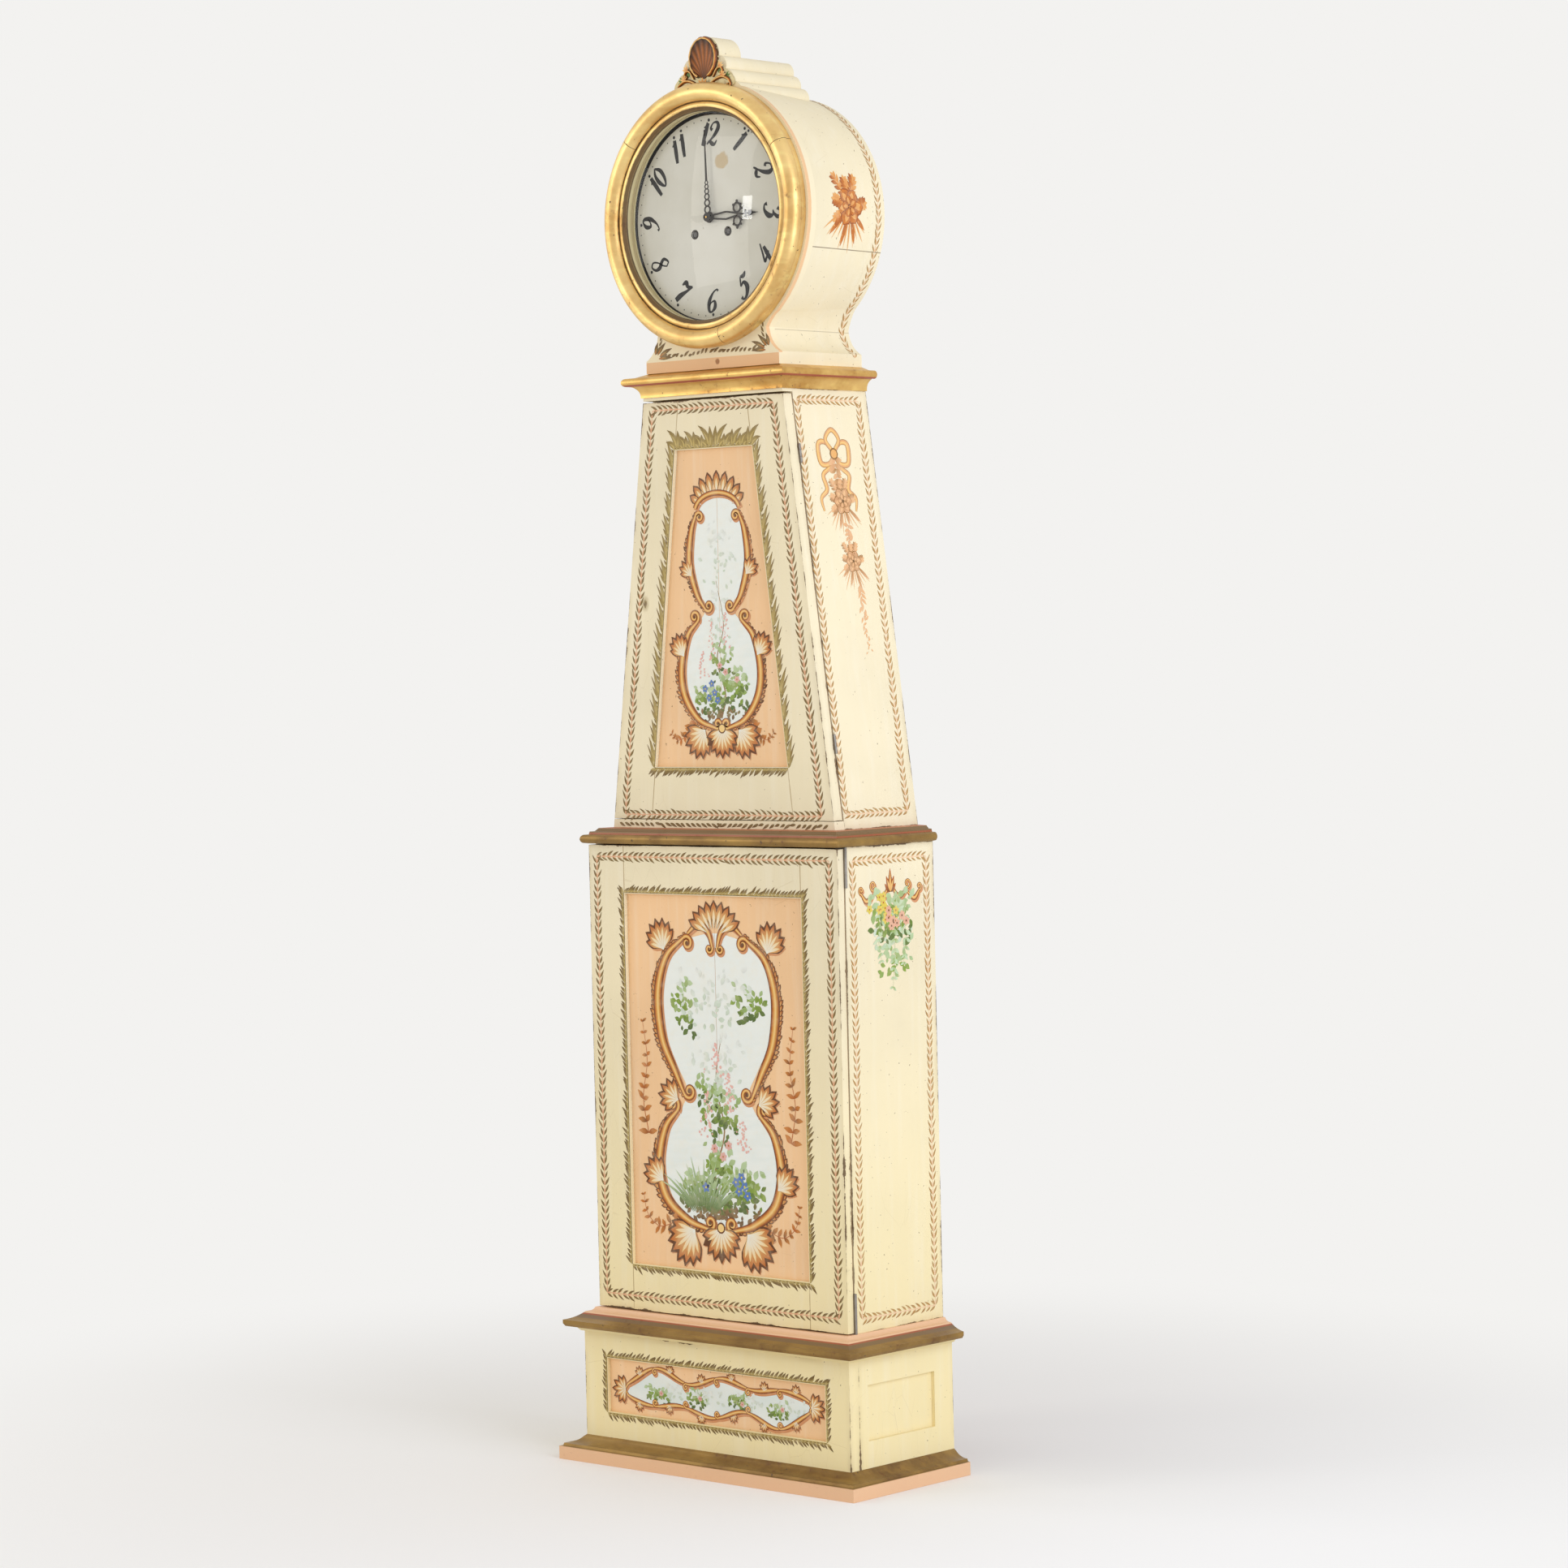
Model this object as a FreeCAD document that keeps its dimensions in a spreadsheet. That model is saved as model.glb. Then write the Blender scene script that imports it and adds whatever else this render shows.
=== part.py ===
import FreeCAD, Part
import math
import os
import re
import Sketcher

os.makedirs("parts", exist_ok=True)
doc = FreeCAD.newDocument("mora_clock")
sheet = doc.addObject("Spreadsheet::Sheet", "sizes")
vector = FreeCAD.Vector

# Driving sizes in millimetres, one per cell, with those that follow from others as formulas. The front
# of the clock looks towards -Y.
driving_sizes = {
    # plinth
    "half_depth": 137, "plinth_half_width": 281.5, "plinth_front": 105, "plinth_height": 205,
    "base_projection": 32, "base_height": 38, "plinth_wall": 22,
    "plinth_stile": 49.5, "plinth_panel_half": "=plinth_half_width - plinth_stile",
    "plinth_panel_low": 79, "plinth_panel_high": 165,
    "plinth_side_panel_front": 63, "plinth_side_panel_back": 93,
    "floor_thickness": 18, "floor_low": 20,
    # panels in grooved frames
    "panel_sink": 6, "panel_thickness": 8, "groove_depth": 8, "groove_play": 0.25,
    # plinth cap, waist and cornice mouldings
    "cap_height": 37, "cap_width": 59, "cap_inset": 34.5,
    "waist_height": 25, "waist_width": 57.5,
    "cornice_height": 37.6, "cornice_width": 43.4,
    # lower trunk
    "plinth_step": 16.5, "lower_half_width": "=plinth_half_width - plinth_step",
    "lower_front": 86, "lower_height": 741, "side_wall": 18, "back_wall": 12, "board_play": 0.2,
    # lower door
    "lower_door_thickness": 14, "door_edge_play": 0.5, "door_top_play": 2, "hinge_gap": 2.4,
    "lower_stile": 77, "lower_panel_half": "=lower_half_width - lower_stile",
    "lower_top_rail": 78, "lower_panel_high": "=lower_height - lower_top_rail",
    "lower_panel_low": 75, "board_joint": 0.4,
    # upper trunk
    "waist_step": 29.5, "upper_half_low": "=lower_half_width - waist_step",
    "taper_share": 0.62632696, "upper_half_high": "=upper_half_low * taper_share",
    "upper_front": 57, "upper_height": 677,
    "upper_wall": 18.15, "upper_door_thickness": 20, "upper_bottom_rail": 13, "upper_top_rail": 5,
    "upper_door_play": 1, "upper_door_rise": 3,
    "upper_stile_low": 94.5, "upper_panel_half_low": "=upper_half_low - upper_stile_low",
    "upper_stile_high": 65.5, "upper_panel_half_high": "=upper_half_high - upper_stile_high",
    "upper_panel_low": 96, "upper_head_rail": 85, "upper_panel_high": "=upper_height - upper_head_rail",
    # hinges
    "hinge_knuckle": 2.2, "hinge_leaf": 1.1, "hinge_leaf_width": 20, "hinge_stand": 2.5,
    "hinge_pin": 1.2, "hinge_play": 0.05, "hinge_cut_play": 0.3,
    "lower_hinge_length": 62, "upper_hinge_length": 30, "bezel_hinge_length": 40,
    "upper_hinge_low": 116, "upper_hinge_drop": 115,
    "upper_hinge_high": "=upper_height - upper_hinge_drop",
    # lock of the upper door
    "lock_height": 356, "keyhole_radius": 3, "keyhole_slot": 9,
    "door_half": "=upper_half_low - (upper_half_low - upper_half_high)*lock_height/upper_height",
    "keyhole_setback": 34.72526, "keyhole_inset": "=door_half - keyhole_setback",
    "lock_setback": 23.22526, "lock_edge": "=door_half - lock_setback",
    "lock_width": 34, "lock_tall": 48, "lock_depth": 10.5, "bolt_tall": 12,
    "bolt_thickness": 4, "bolt_length": 22, "bolt_throw": 8, "bolt_play": 0.3, "bolt_depth": 30.5,
    # hood
    "fascia_height": 17.4, "drum_rise": 236.4, "hood_front_radius": 208, "hood_back_radius": 195,
    "hood_wall": 14, "hood_front_board": 20, "hood_hole": 162, "hood_foot_half": 141,
    "neck_half": 115, "neck_rise": 58, "foot_rise": 19.5, "hood_seam_low": 55, "hood_seam_side": 175,
    "hood_seam_top": 392, "crest_play": 0.3,
    # crest
    "crest_depth": 155, "crest_low": 418, "crest_step": 21, "crest_half_low": 77,
    "crest_half_mid": 60, "crest_half_top": 45, "crest_half_end": 34, "shell_half": 31,
    "shell_top": 513.9, "shell_low": 437, "shell_depth": 8, "crest_block_depth": 49,
    "scroll_half": 64, "scroll_top": 468,
    # bezel
    "bezel_radius": 203.6, "bezel_bore": 161, "bezel_depth": 29.5, "bezel_gap": 0.5,
    "bezel_lip": 13.5, "glass_radius": 166, "glass_thickness": 2.5, "glass_crown": 12, "glass_rim": 8,
    "glass_play": 0.3, "rebate_depth": 8.5,
    # seat of the movement
    "bearer_height": 30, "bearer_depth": 12, "bearer_front": 33, "bearer_back": 58,
    "cheek_inner": 78, "cheek_wall": 12, "cheek_height": 173, "seat_half": 95, "seat_thickness": 18,
    "line_hole": 5,
    # dial and hands
    "centre_drop": 1.5, "dial_radius": 160.5, "dial_thickness": 1.5, "dial_front": 49,
    "winding_hole": 6.25, "pipe_hole": 5.6, "dial_foot": 2.5, "dial_foot_x": 55, "dial_foot_rise": 40,
    "dial_foot_drop": 64, "hand_thickness": 1, "hour_hand_front": 53.5, "minute_hand_front": 57,
    "hand_collet": 11.5, "collet_height": 2.5, "minute_length": 135, "hour_length": 103,
    "minute_lead": 1.5,
    # movement frame
    "plate_half": 76, "plate_height": 159, "plate_wall": 3, "plate_front": 22, "plate_gap": 62,
    "pillar_radius": 4, "pillar_inset": 6, "pillar_foot": 10, "running_play": 0.05,
    "arbor_radius": 1.5, "tip_length": 61,
    # barrels and great wheels
    "barrel_x": 35, "barrel_drop": 24, "barrel_radius": 22, "barrel_flange": 25, "barrel_front": 8,
    "barrel_back": 30, "flange_wall": 1, "winding_radius": 3.9, "winding_front": 48.5,
    "great_wall": 2.5, "going_great_y": 33, "strike_great_y": 38,
    # trains
    "wheel_wall": 2, "pinion_margin": 1.8, "centre_wheel_y": 13, "third_x": 11.9, "third_rise": 20.6,
    "third_wheel_y": 8, "escape_rise": 37.3, "escape_wheel_y": 26, "escape_radius": 17,
    "anchor_rise": 61.3, "pin_wheel_x": 41.5, "pin_wheel_rise": 12.9, "pin_wheel_y": 17.5,
    "pin_wheel_radius": 25, "pin_radius": 1.2, "pin_length": 5, "pin_circle": 20,
    "motion_drop": 24, "motion_wheel_y": 33, "hour_wheel_y": 38.5, "cannon_radius": 3,
    "hour_pipe_radius": 5, "pallet_gap": 1.6, "pallet_half": 12, "anchor_wall": 4,
    # bell and hammer
    "bell_x": 25, "bell_radius": 38, "bell_height": 36, "bell_wall": 2, "bell_y": 4,
    "bell_rise": 94, "bell_bar": 6, "bell_bar_wall": 4, "bell_post_low": 38,
    "hammer_x": 30, "hammer_rise": 54, "hammer_head": 5, "hammer_head_length": 14,
    "hammer_gap": 1.5, "hammer_arm": 1.5, "hammer_head_rise": 98,
    # pendulum
    "pendulum_y": 70, "pendulum_length": 994, "spring_length": 28, "spring_wall": 0.4,
    "spring_width": 8, "rod_radius": 2.5, "rod_block": 4, "rod_block_height": 8, "bob_radius": 55,
    "bob_half": 12, "bob_edge": 2, "bob_bore_play": 0.05, "rod_tail": 20, "nut_radius": 6,
    "nut_height": 6, "cock_half": 9, "cock_height": 12, "cock_clear": 5.2, "cock_gap": 0.3,
    "crutch_y": 54, "crutch_length": 94, "crutch_half": 2, "crutch_wall": 3, "fork_play": 0.4,
    "fork_height": 4,
    # weights and lines
    "line_radius": 1, "line_play": 0.1, "line_y": 12, "pulley_drop": 68, "pulley_groove": 19,
    "pulley_radius": 22, "pulley_half": 4, "pulley_pin": 2.5, "stirrup_wall": 1.6,
    "stirrup_half": 7, "stirrup_play": 0.6, "stirrup_drop": 32, "stirrup_bridge": 6,
    "hook_radius": 3, "hook_length": 13, "weight_radius": 30, "weight_height": 150,
    "weight_shoulder": 8, "overrun": 5,
}
for row, (alias, number) in enumerate(driving_sizes.items(), start=1):
    sheet.set("A%d" % row, alias)
    sheet.set("B%d" % row, str(number))
    sheet.setAlias("B%d" % row, alias)
doc.recompute()

# Moulding profiles: outward and upward shares of each strip's width and height. A third pair is a point
# that the curve to the next corner passes through.
base_shares = [(0, 0), (1, 0), (1, 0.54), (0.86, 0.56), (0.82, 0.66, (0.42, 0.73)), (0.12, 0.92), (0, 1)]
cap_shares = [
    (0, 0), (0.66, 0), (0.73, 0.13), (0.95, 0.2), (1, 0.32), (1, 0.48, (0.76, 0.6)),
    (0.56, 0.82, (0.45, 0.85)), (0.37, 1), (0, 1),
]
waist_shares = [
    (0, 0), (0.83, 0), (0.94, 0.04, (1, 0.3)), (0.93, 0.56), (0.82, 0.58), (0.8, 0.76), (0.7, 0.78),
    (0.62, 0.97), (0.36, 1), (0, 1),
]
cornice_shares = [
    (0, 0), (0.5, 0, (0.55, 0.3)), (0.7, 0.46), (0.73, 0.47), (0.74, 0.54, (1, 0.67)),
    (0.76, 0.8), (0.29, 1), (0, 1),
]

lower_z = "(plinth_height + cap_height)"
waist_z = "(plinth_height + cap_height + lower_height)"
upper_z = "(plinth_height + cap_height + lower_height + waist_height)"
cornice_z = "(plinth_height + cap_height + lower_height + waist_height + upper_height)"
hood_z = cornice_z[:-1] + " + cornice_height)"
drum_z = cornice_z[:-1] + " + cornice_height + drum_rise)"
centre_z = drum_z[:-1] + " - centre_drop)"
seat_z = "(" + cornice_z + " + cheek_height)"
plate_z = "(" + cornice_z + " + cheek_height + seat_thickness)"
anchor_z = "(" + centre_z + " + anchor_rise)"
barrel_z = "(" + centre_z + " - barrel_drop)"
pulley_z = "(" + seat_z + " - pulley_drop)"
lower_door_back = "(lower_front - lower_door_thickness)"
upper_door_back = "(upper_front - upper_door_thickness)"

word = re.compile(r"[a-z][a-z_]*[a-z]")
plain_functions = ("sqrt",)


def bound(text):
    # An expression in which every size is read from the sheet.
    def with_sheet(found):
        name = found.group()
        return name if name in plain_functions else "sizes." + name
    return word.sub(with_sheet, str(text))


def value(text):
    return float(sheet.evalExpression(bound(text)))


def bind(item, prop, text):
    item.setExpression(prop, bound(text))
    return item


def place(item, x="0", y="0", z="0", axis=None, angle=0):
    if axis is not None:
        item.Placement = FreeCAD.Placement(vector(), FreeCAD.Rotation(axis, angle))
    for letter, text in zip("xyz", (x, y, z)):
        if text != "0":
            bind(item, "Placement.Base." + letter, text)
    return item


def block(name, x, y, z):
    # A box between pairs of limits.
    item = doc.addObject("Part::Box", name)
    for prop, (low, high) in zip(("Length", "Width", "Height"), (x, y, z)):
        bind(item, prop, "(%s) - (%s)" % (high, low))
    return place(item, x[0], y[0], z[0])


def rod(name, radius, length, x, y, z, axis="y"):
    # A cylinder from its start point along +Y, +Z or +X.
    item = doc.addObject("Part::Cylinder", name)
    bind(item, "Radius", radius)
    bind(item, "Height", length)
    turn = {"x": (vector(0, 1, 0), 90), "y": (vector(-1, 0, 0), 90), "z": (None, 0)}[axis]
    return place(item, x, y, z, turn[0], turn[1])


def cut(name, base, tool):
    item = doc.addObject("Part::Cut", name)
    item.Base = base
    item.Tool = tool
    return item


def common(name, base, tool):
    item = doc.addObject("Part::Common", name)
    item.Base = base
    item.Tool = tool
    return item


def fuse(name, *pieces):
    item = doc.addObject("Part::MultiFuse", name)
    item.Shapes = list(pieces)
    return item


def group(name, *pieces):
    item = doc.addObject("Part::Compound", name)
    item.Links = list(pieces)
    return item


def shaped(name, shape, x="0", y="0", z="0", axis=None, angle=0):
    # A solid whose form follows a formula.
    item = doc.addObject("Part::Feature", name)
    item.Shape = shape
    turn = FreeCAD.Rotation(axis, angle) if axis is not None else FreeCAD.Rotation()
    item.Placement = FreeCAD.Placement(vector(value(x), value(y), value(z)), turn)
    return item


def origin_plane(body, role):
    return [plane for plane in body.Origin.OriginFeatures if plane.Role == role][0]


def new_sketch(body, name, role):
    sketch = body.newObject("Sketcher::SketchObject", name)
    sketch.AttachmentSupport = [(origin_plane(body, role), "")]
    sketch.MapMode = "FlatFace"
    return sketch


def fix_point(sketch, geometry, vertex, at, texts):
    for kind, number, text in zip(("DistanceX", "DistanceY"), at, texts):
        index = sketch.addConstraint(Sketcher.Constraint(kind, -1, 1, geometry, vertex, number))
        bind(sketch, "Constraints[%d]" % index, text)


def arc_through(start, via, end):
    # Centre, radius, end angles and sense of the arc through three points.
    circle = Part.Arc(start, via, end).toShape().Curve
    centre = circle.Center
    angles = [math.atan2(p.y - centre.y, p.x - centre.x) for p in (start, end)]
    turns_left = (via - start).cross(end - via).z > 0
    first, last = angles if turns_left else angles[::-1]
    if last < first:
        last += 2 * math.pi
    round_line = Part.Circle(centre, vector(0, 0, 1), circle.Radius)
    return Part.ArcOfCircle(round_line, first, last), turns_left


def draw_outline(sketch, outline):
    corners = [vector(value(corner[0]), value(corner[1]), 0) for corner in outline]
    ends = []
    for index, corner in enumerate(outline):
        start = corners[index]
        end = corners[(index + 1) % len(corners)]
        if len(corner) == 3:
            via = vector(value(corner[2][0]), value(corner[2][1]), 0)
            arc, turns_left = arc_through(start, via, end)
            line = sketch.addGeometry(arc, False)
            ends.append((line, 1, 2) if turns_left else (line, 2, 1))
            point = sketch.addGeometry(Part.Point(via), True)
            fix_point(sketch, point, 1, (via.x, via.y), corner[2])
            sketch.addConstraint(Sketcher.Constraint("PointOnObject", point, 1, line))
        else:
            line = sketch.addGeometry(Part.LineSegment(start, end), False)
            ends.append((line, 1, 2))
    for index, (line, first, last) in enumerate(ends):
        following, next_first, _ = ends[(index + 1) % len(ends)]
        sketch.addConstraint(Sketcher.Constraint("Coincident", line, last, following, next_first))
        fix_point(sketch, line, first, (corners[index].x, corners[index].y), outline[index][:2])


def prism(name, role, outline, length, x="0", y="0", z="0", axis=None, angle=0):
    # An outline padded both ways from its plane.
    body = doc.addObject("PartDesign::Body", name)
    sketch = new_sketch(body, name + "_outline", role)
    draw_outline(sketch, outline)
    pad = body.newObject("PartDesign::Pad", name + "_pad")
    pad.Profile = sketch
    pad.Midplane = True
    bind(pad, "Length", length)
    return place(body, x, y, z, axis, angle)


def turned(name, role, outline, x="0", y="0", z="0"):
    # An outline turned about the upright axis of its sketch.
    body = doc.addObject("PartDesign::Body", name)
    sketch = new_sketch(body, name + "_outline", role)
    draw_outline(sketch, outline)
    turn = body.newObject("PartDesign::Revolution", name + "_turn")
    turn.Profile = sketch
    turn.ReferenceAxis = (sketch, ["V_Axis"])
    turn.Angle = 360
    return place(body, x, y, z)


def pocket(body, name, role, outlines):
    # A cut right through the body along the sketch's normal.
    sketch = new_sketch(body, name + "_outline", role)
    for outline in outlines:
        draw_outline(sketch, outline)
    cutter = body.newObject("PartDesign::Pocket", name)
    cutter.Profile = sketch
    cutter.Midplane = True
    cutter.Type = 1
    return body


def strip_outline(shares, width, height):
    outline = []
    for corner in shares:
        pairs = [("-%s*%s" % (width, corner[0]), "%s*%s" % (height, corner[1]))]
        if len(corner) == 3:
            pairs.append(("-%s*%s" % (width, corner[2][0]), "%s*%s" % (height, corner[2][1])))
        outline.append(pairs[0] + tuple(pairs[1:]))
    return outline


def moulding(label, shares, width, height, inner_half, inner_front, low):
    # Three strips on the front and sides, mitred at the two front corners. The strips' inner edges lie at
    # inner_half and inner_front, and the profile stands outwards from there.
    profile = strip_outline(shares, width, height)
    front = prism(label + "_front", "YZ_Plane", profile, "2*(%s + %s)" % (inner_half, width),
                  "0", "-(%s)" % inner_front, low)
    corners = []
    for side in ("", "-"):
        corners.append([
            ("%s(%s)" % (side, inner_half), "0"),
            ("%s(%s + %s + overrun)" % (side, inner_half, width), "-(%s + overrun)" % width),
            ("%s(%s + %s + overrun)" % (side, inner_half, width), "0"),
        ])
    pocket(front, label + "_front_mitres", "XY_Plane", corners)
    strips = [front]
    length = "(half_depth + %s + %s)" % (inner_front, width)
    for word_side, side, angle in (("right", "", 90), ("left", "-", -90)):
        # The strip's own +X runs to the back on the right side, and to the front on the left.
        middle = "(half_depth - (%s) - %s)/2" % (inner_front, width)
        strip = prism("%s_%s" % (label, word_side), "YZ_Plane", profile, length,
                      "%s(%s)" % (side, inner_half), middle, low, vector(0, 0, 1), angle)
        sign = "-" if word_side == "right" else ""
        end = "%s%s/2" % (sign, length)
        inner_end = "%s(%s/2 - %s)" % (sign, length, width)
        beyond = "%s(%s/2 + overrun)" % (sign, length)
        pocket(strip, "%s_%s_mitre" % (label, word_side), "XY_Plane", [[
            (inner_end, "0"), (end, "-" + width), (beyond, "-" + width), (beyond, "0"),
        ]])
        strips.append(strip)
    return group(label, *strips)


def mirrored_block(name, x, y, z):
    right = block(name + "_right", x, y, z)
    left = block(name + "_left", ("-(%s)" % x[1], "-(%s)" % x[0]), y, z)
    return right, left


def upper_half(rise):
    # Half width of the tapered trunk at a height above its foot.
    slope = "(upper_half_low - upper_half_high)/upper_height"
    return "(upper_half_low - %s*(%s))" % (slope, rise)


def upper_opening(rise):
    # Half width of the upper door's panel opening at a height above the trunk's foot.
    slope = "(upper_panel_half_low - upper_panel_half_high)/(upper_panel_high - upper_panel_low)"
    return "(upper_panel_half_low - %s*((%s) - upper_panel_low))" % (slope, rise)


def slanted(half, low, high, extra="0"):
    # A symmetrical outline between two heights above the upper trunk's foot.
    wide, narrow = half(low), half(high)
    return [
        ("-(%s + %s)" % (wide, extra), "(%s) + %s" % (low, upper_z)),
        ("%s + %s" % (wide, extra), "(%s) + %s" % (low, upper_z)),
        ("%s + %s" % (narrow, extra), "(%s) + %s" % (high, upper_z)),
        ("-(%s + %s)" % (narrow, extra), "(%s) + %s" % (high, upper_z)),
    ]


def build_plinth():
    inner_half = "(plinth_half_width - plinth_wall)"
    base = moulding("base_moulding", base_shares, "base_projection", "base_height",
                    "plinth_half_width", "plinth_front", "0")
    front_y = ("-plinth_front", "-(plinth_front - plinth_wall)")
    rails = [
        block("plinth_front_rail_low", ("-plinth_half_width", "plinth_half_width"), front_y,
              ("0", "plinth_panel_low")),
        block("plinth_front_rail_high", ("-plinth_half_width", "plinth_half_width"), front_y,
              ("plinth_panel_high", "plinth_height")),
    ]
    stiles = mirrored_block("plinth_front_stile", ("plinth_panel_half", "plinth_half_width"), front_y,
                            ("plinth_panel_low", "plinth_panel_high"))
    face = "(plinth_front - panel_sink)"
    grown = "(plinth_panel_half + groove_depth)"
    groove = block("plinth_front_groove", ("-" + grown, grown),
                   ("-(%s + groove_play)" % face, "-(%s - panel_thickness - groove_play)" % face),
                   ("plinth_panel_low - groove_depth", "plinth_panel_high + groove_depth"))
    frame = cut("plinth_front_frame", group("plinth_front_members", *rails, *stiles), groove)
    held = "(plinth_panel_half + groove_depth - groove_play)"
    panel = block("plinth_front_panel", ("-" + held, held),
                  ("-" + face, "-(%s - panel_thickness)" % face),
                  ("plinth_panel_low - groove_depth + groove_play",
                   "plinth_panel_high + groove_depth - groove_play"))

    side_front = "-(plinth_front - plinth_wall)"
    members = []
    x = (inner_half, "plinth_half_width")
    members += mirrored_block("plinth_side_rail_low", x, (side_front, "half_depth"), ("0", "plinth_panel_low"))
    members += mirrored_block("plinth_side_rail_high", x, (side_front, "half_depth"),
                              ("plinth_panel_high", "plinth_height"))
    members += mirrored_block("plinth_side_stile_front", x, (side_front, "-plinth_side_panel_front"),
                              ("plinth_panel_low", "plinth_panel_high"))
    members += mirrored_block("plinth_side_stile_back", x, ("plinth_side_panel_back", "half_depth"),
                              ("plinth_panel_low", "plinth_panel_high"))
    outer = "(plinth_half_width - panel_sink)"
    grooves = mirrored_block("plinth_side_groove", ("%s - panel_thickness - groove_play" % outer,
                                                    "%s + groove_play" % outer),
                             ("-(plinth_side_panel_front + groove_depth)",
                              "plinth_side_panel_back + groove_depth"),
                             ("plinth_panel_low - groove_depth", "plinth_panel_high + groove_depth"))
    side_frames = cut("plinth_side_frames", group("plinth_side_members", *members),
                      group("plinth_side_grooves", *grooves))
    panels = mirrored_block("plinth_side_panel", ("%s - panel_thickness" % outer, outer),
                            ("-(plinth_side_panel_front + groove_depth - groove_play)",
                             "plinth_side_panel_back + groove_depth - groove_play"),
                            ("plinth_panel_low - groove_depth + groove_play",
                             "plinth_panel_high + groove_depth - groove_play"))
    floor = block("plinth_floor", ("-" + inner_half, inner_half), (side_front, "half_depth - back_wall"),
                  ("floor_low", "floor_low + floor_thickness"))
    cap = moulding("plinth_moulding", cap_shares, "cap_width", "cap_height",
                   "(plinth_half_width - cap_inset)", "(plinth_front - cap_inset)", "plinth_height")
    return [base, frame, panel, side_frames, group("plinth_side_panels", *panels), floor, cap]


def build_trunk():
    lower_front = "-(%s - hinge_gap)" % lower_door_back
    lower_sides = mirrored_block("lower_side", ("lower_half_width - side_wall", "lower_half_width"),
                                 (lower_front, "half_depth"), (lower_z, waist_z))
    waist = moulding("waist_moulding", waist_shares, "waist_width", "waist_height",
                     "(upper_half_low - upper_wall - board_play)",
                     "(upper_front - upper_wall - board_play)", waist_z)

    inner_low = "(lower_half_width - side_wall)"
    back_y = ("half_depth - back_wall", "half_depth")
    plinth_inner = "(plinth_half_width - plinth_wall)"
    plinth_back = block("plinth_back", ("-" + plinth_inner, plinth_inner), back_y, ("0", "plinth_height"))
    lower_back = block("lower_back", ("-" + inner_low, inner_low), back_y, ("plinth_height", waist_z))
    low = "(upper_half_low - upper_wall - board_play)"
    high = "(upper_half_high - upper_wall - board_play)"
    upper_back = prism("upper_back", "XZ_Plane", [
        ("-" + low, waist_z), (low, waist_z), (low, upper_z), (high, cornice_z), (high, hood_z),
        ("-" + high, hood_z), ("-" + high, cornice_z), ("-" + low, upper_z),
    ], "back_wall", "0", "half_depth - back_wall/2")
    backs = group("back_boards", plinth_back, lower_back, upper_back)

    front = "-(%s - hinge_gap)" % upper_door_back
    depth = "(half_depth - (%s))" % front
    sides = []
    for side_word, side in (("right", ""), ("left", "-")):
        sides.append(prism("upper_side_" + side_word, "XZ_Plane", [
            ("%s(upper_half_low - upper_wall)" % side, upper_z), ("%supper_half_low" % side, upper_z),
            ("%supper_half_high" % side, cornice_z),
            ("%s(upper_half_high - upper_wall)" % side, cornice_z),
        ], depth, "0", "half_depth - %s/2" % depth))
    mortise = block("bolt_mortise",
                    ("-(lock_edge + bolt_throw + overrun)", "-(lock_edge - overrun)"),
                    ("-(bolt_depth + bolt_thickness/2 + bolt_play)",
                     "-(bolt_depth - bolt_thickness/2 - bolt_play)"),
                    ("%s + lock_height - bolt_tall/2 - bolt_play" % upper_z,
                     "%s + lock_height + bolt_tall/2 + bolt_play" % upper_z))
    sides[1] = cut("upper_side_left_mortised", sides[1], mortise)

    middle = "-(upper_front - upper_door_thickness/2)"
    low_rail = prism("upper_rail_low", "XZ_Plane", slanted(upper_half, "0", "upper_bottom_rail"),
                     "upper_door_thickness", "0", middle)
    high_rail = prism("upper_rail_high", "XZ_Plane",
                      slanted(upper_half, "upper_height - upper_top_rail", "upper_height"),
                      "upper_door_thickness", "0", middle)
    fillers = []
    for name, low_end, high_end in (("low", "0", "upper_bottom_rail"),
                                    ("high", "upper_height - upper_top_rail", "upper_height")):
        fillers.append(prism("upper_rail_tongue_" + name, "XZ_Plane", slanted(upper_half, low_end, high_end),
                             "hinge_gap", "0", "-(%s - hinge_gap/2)" % upper_door_back))
    rails = group("upper_rails", fuse("upper_rail_low_whole", low_rail, fillers[0]),
                  fuse("upper_rail_high_whole", high_rail, fillers[1]))
    cornice = moulding("cornice", cornice_shares, "cornice_width", "cornice_height",
                       "(upper_half_high - upper_wall - board_play)",
                       "(upper_front - upper_wall - board_play)", cornice_z)
    return [group("lower_side_boards", *lower_sides), waist, backs, group("upper_side_boards", *sides),
            rails, cornice]


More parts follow.
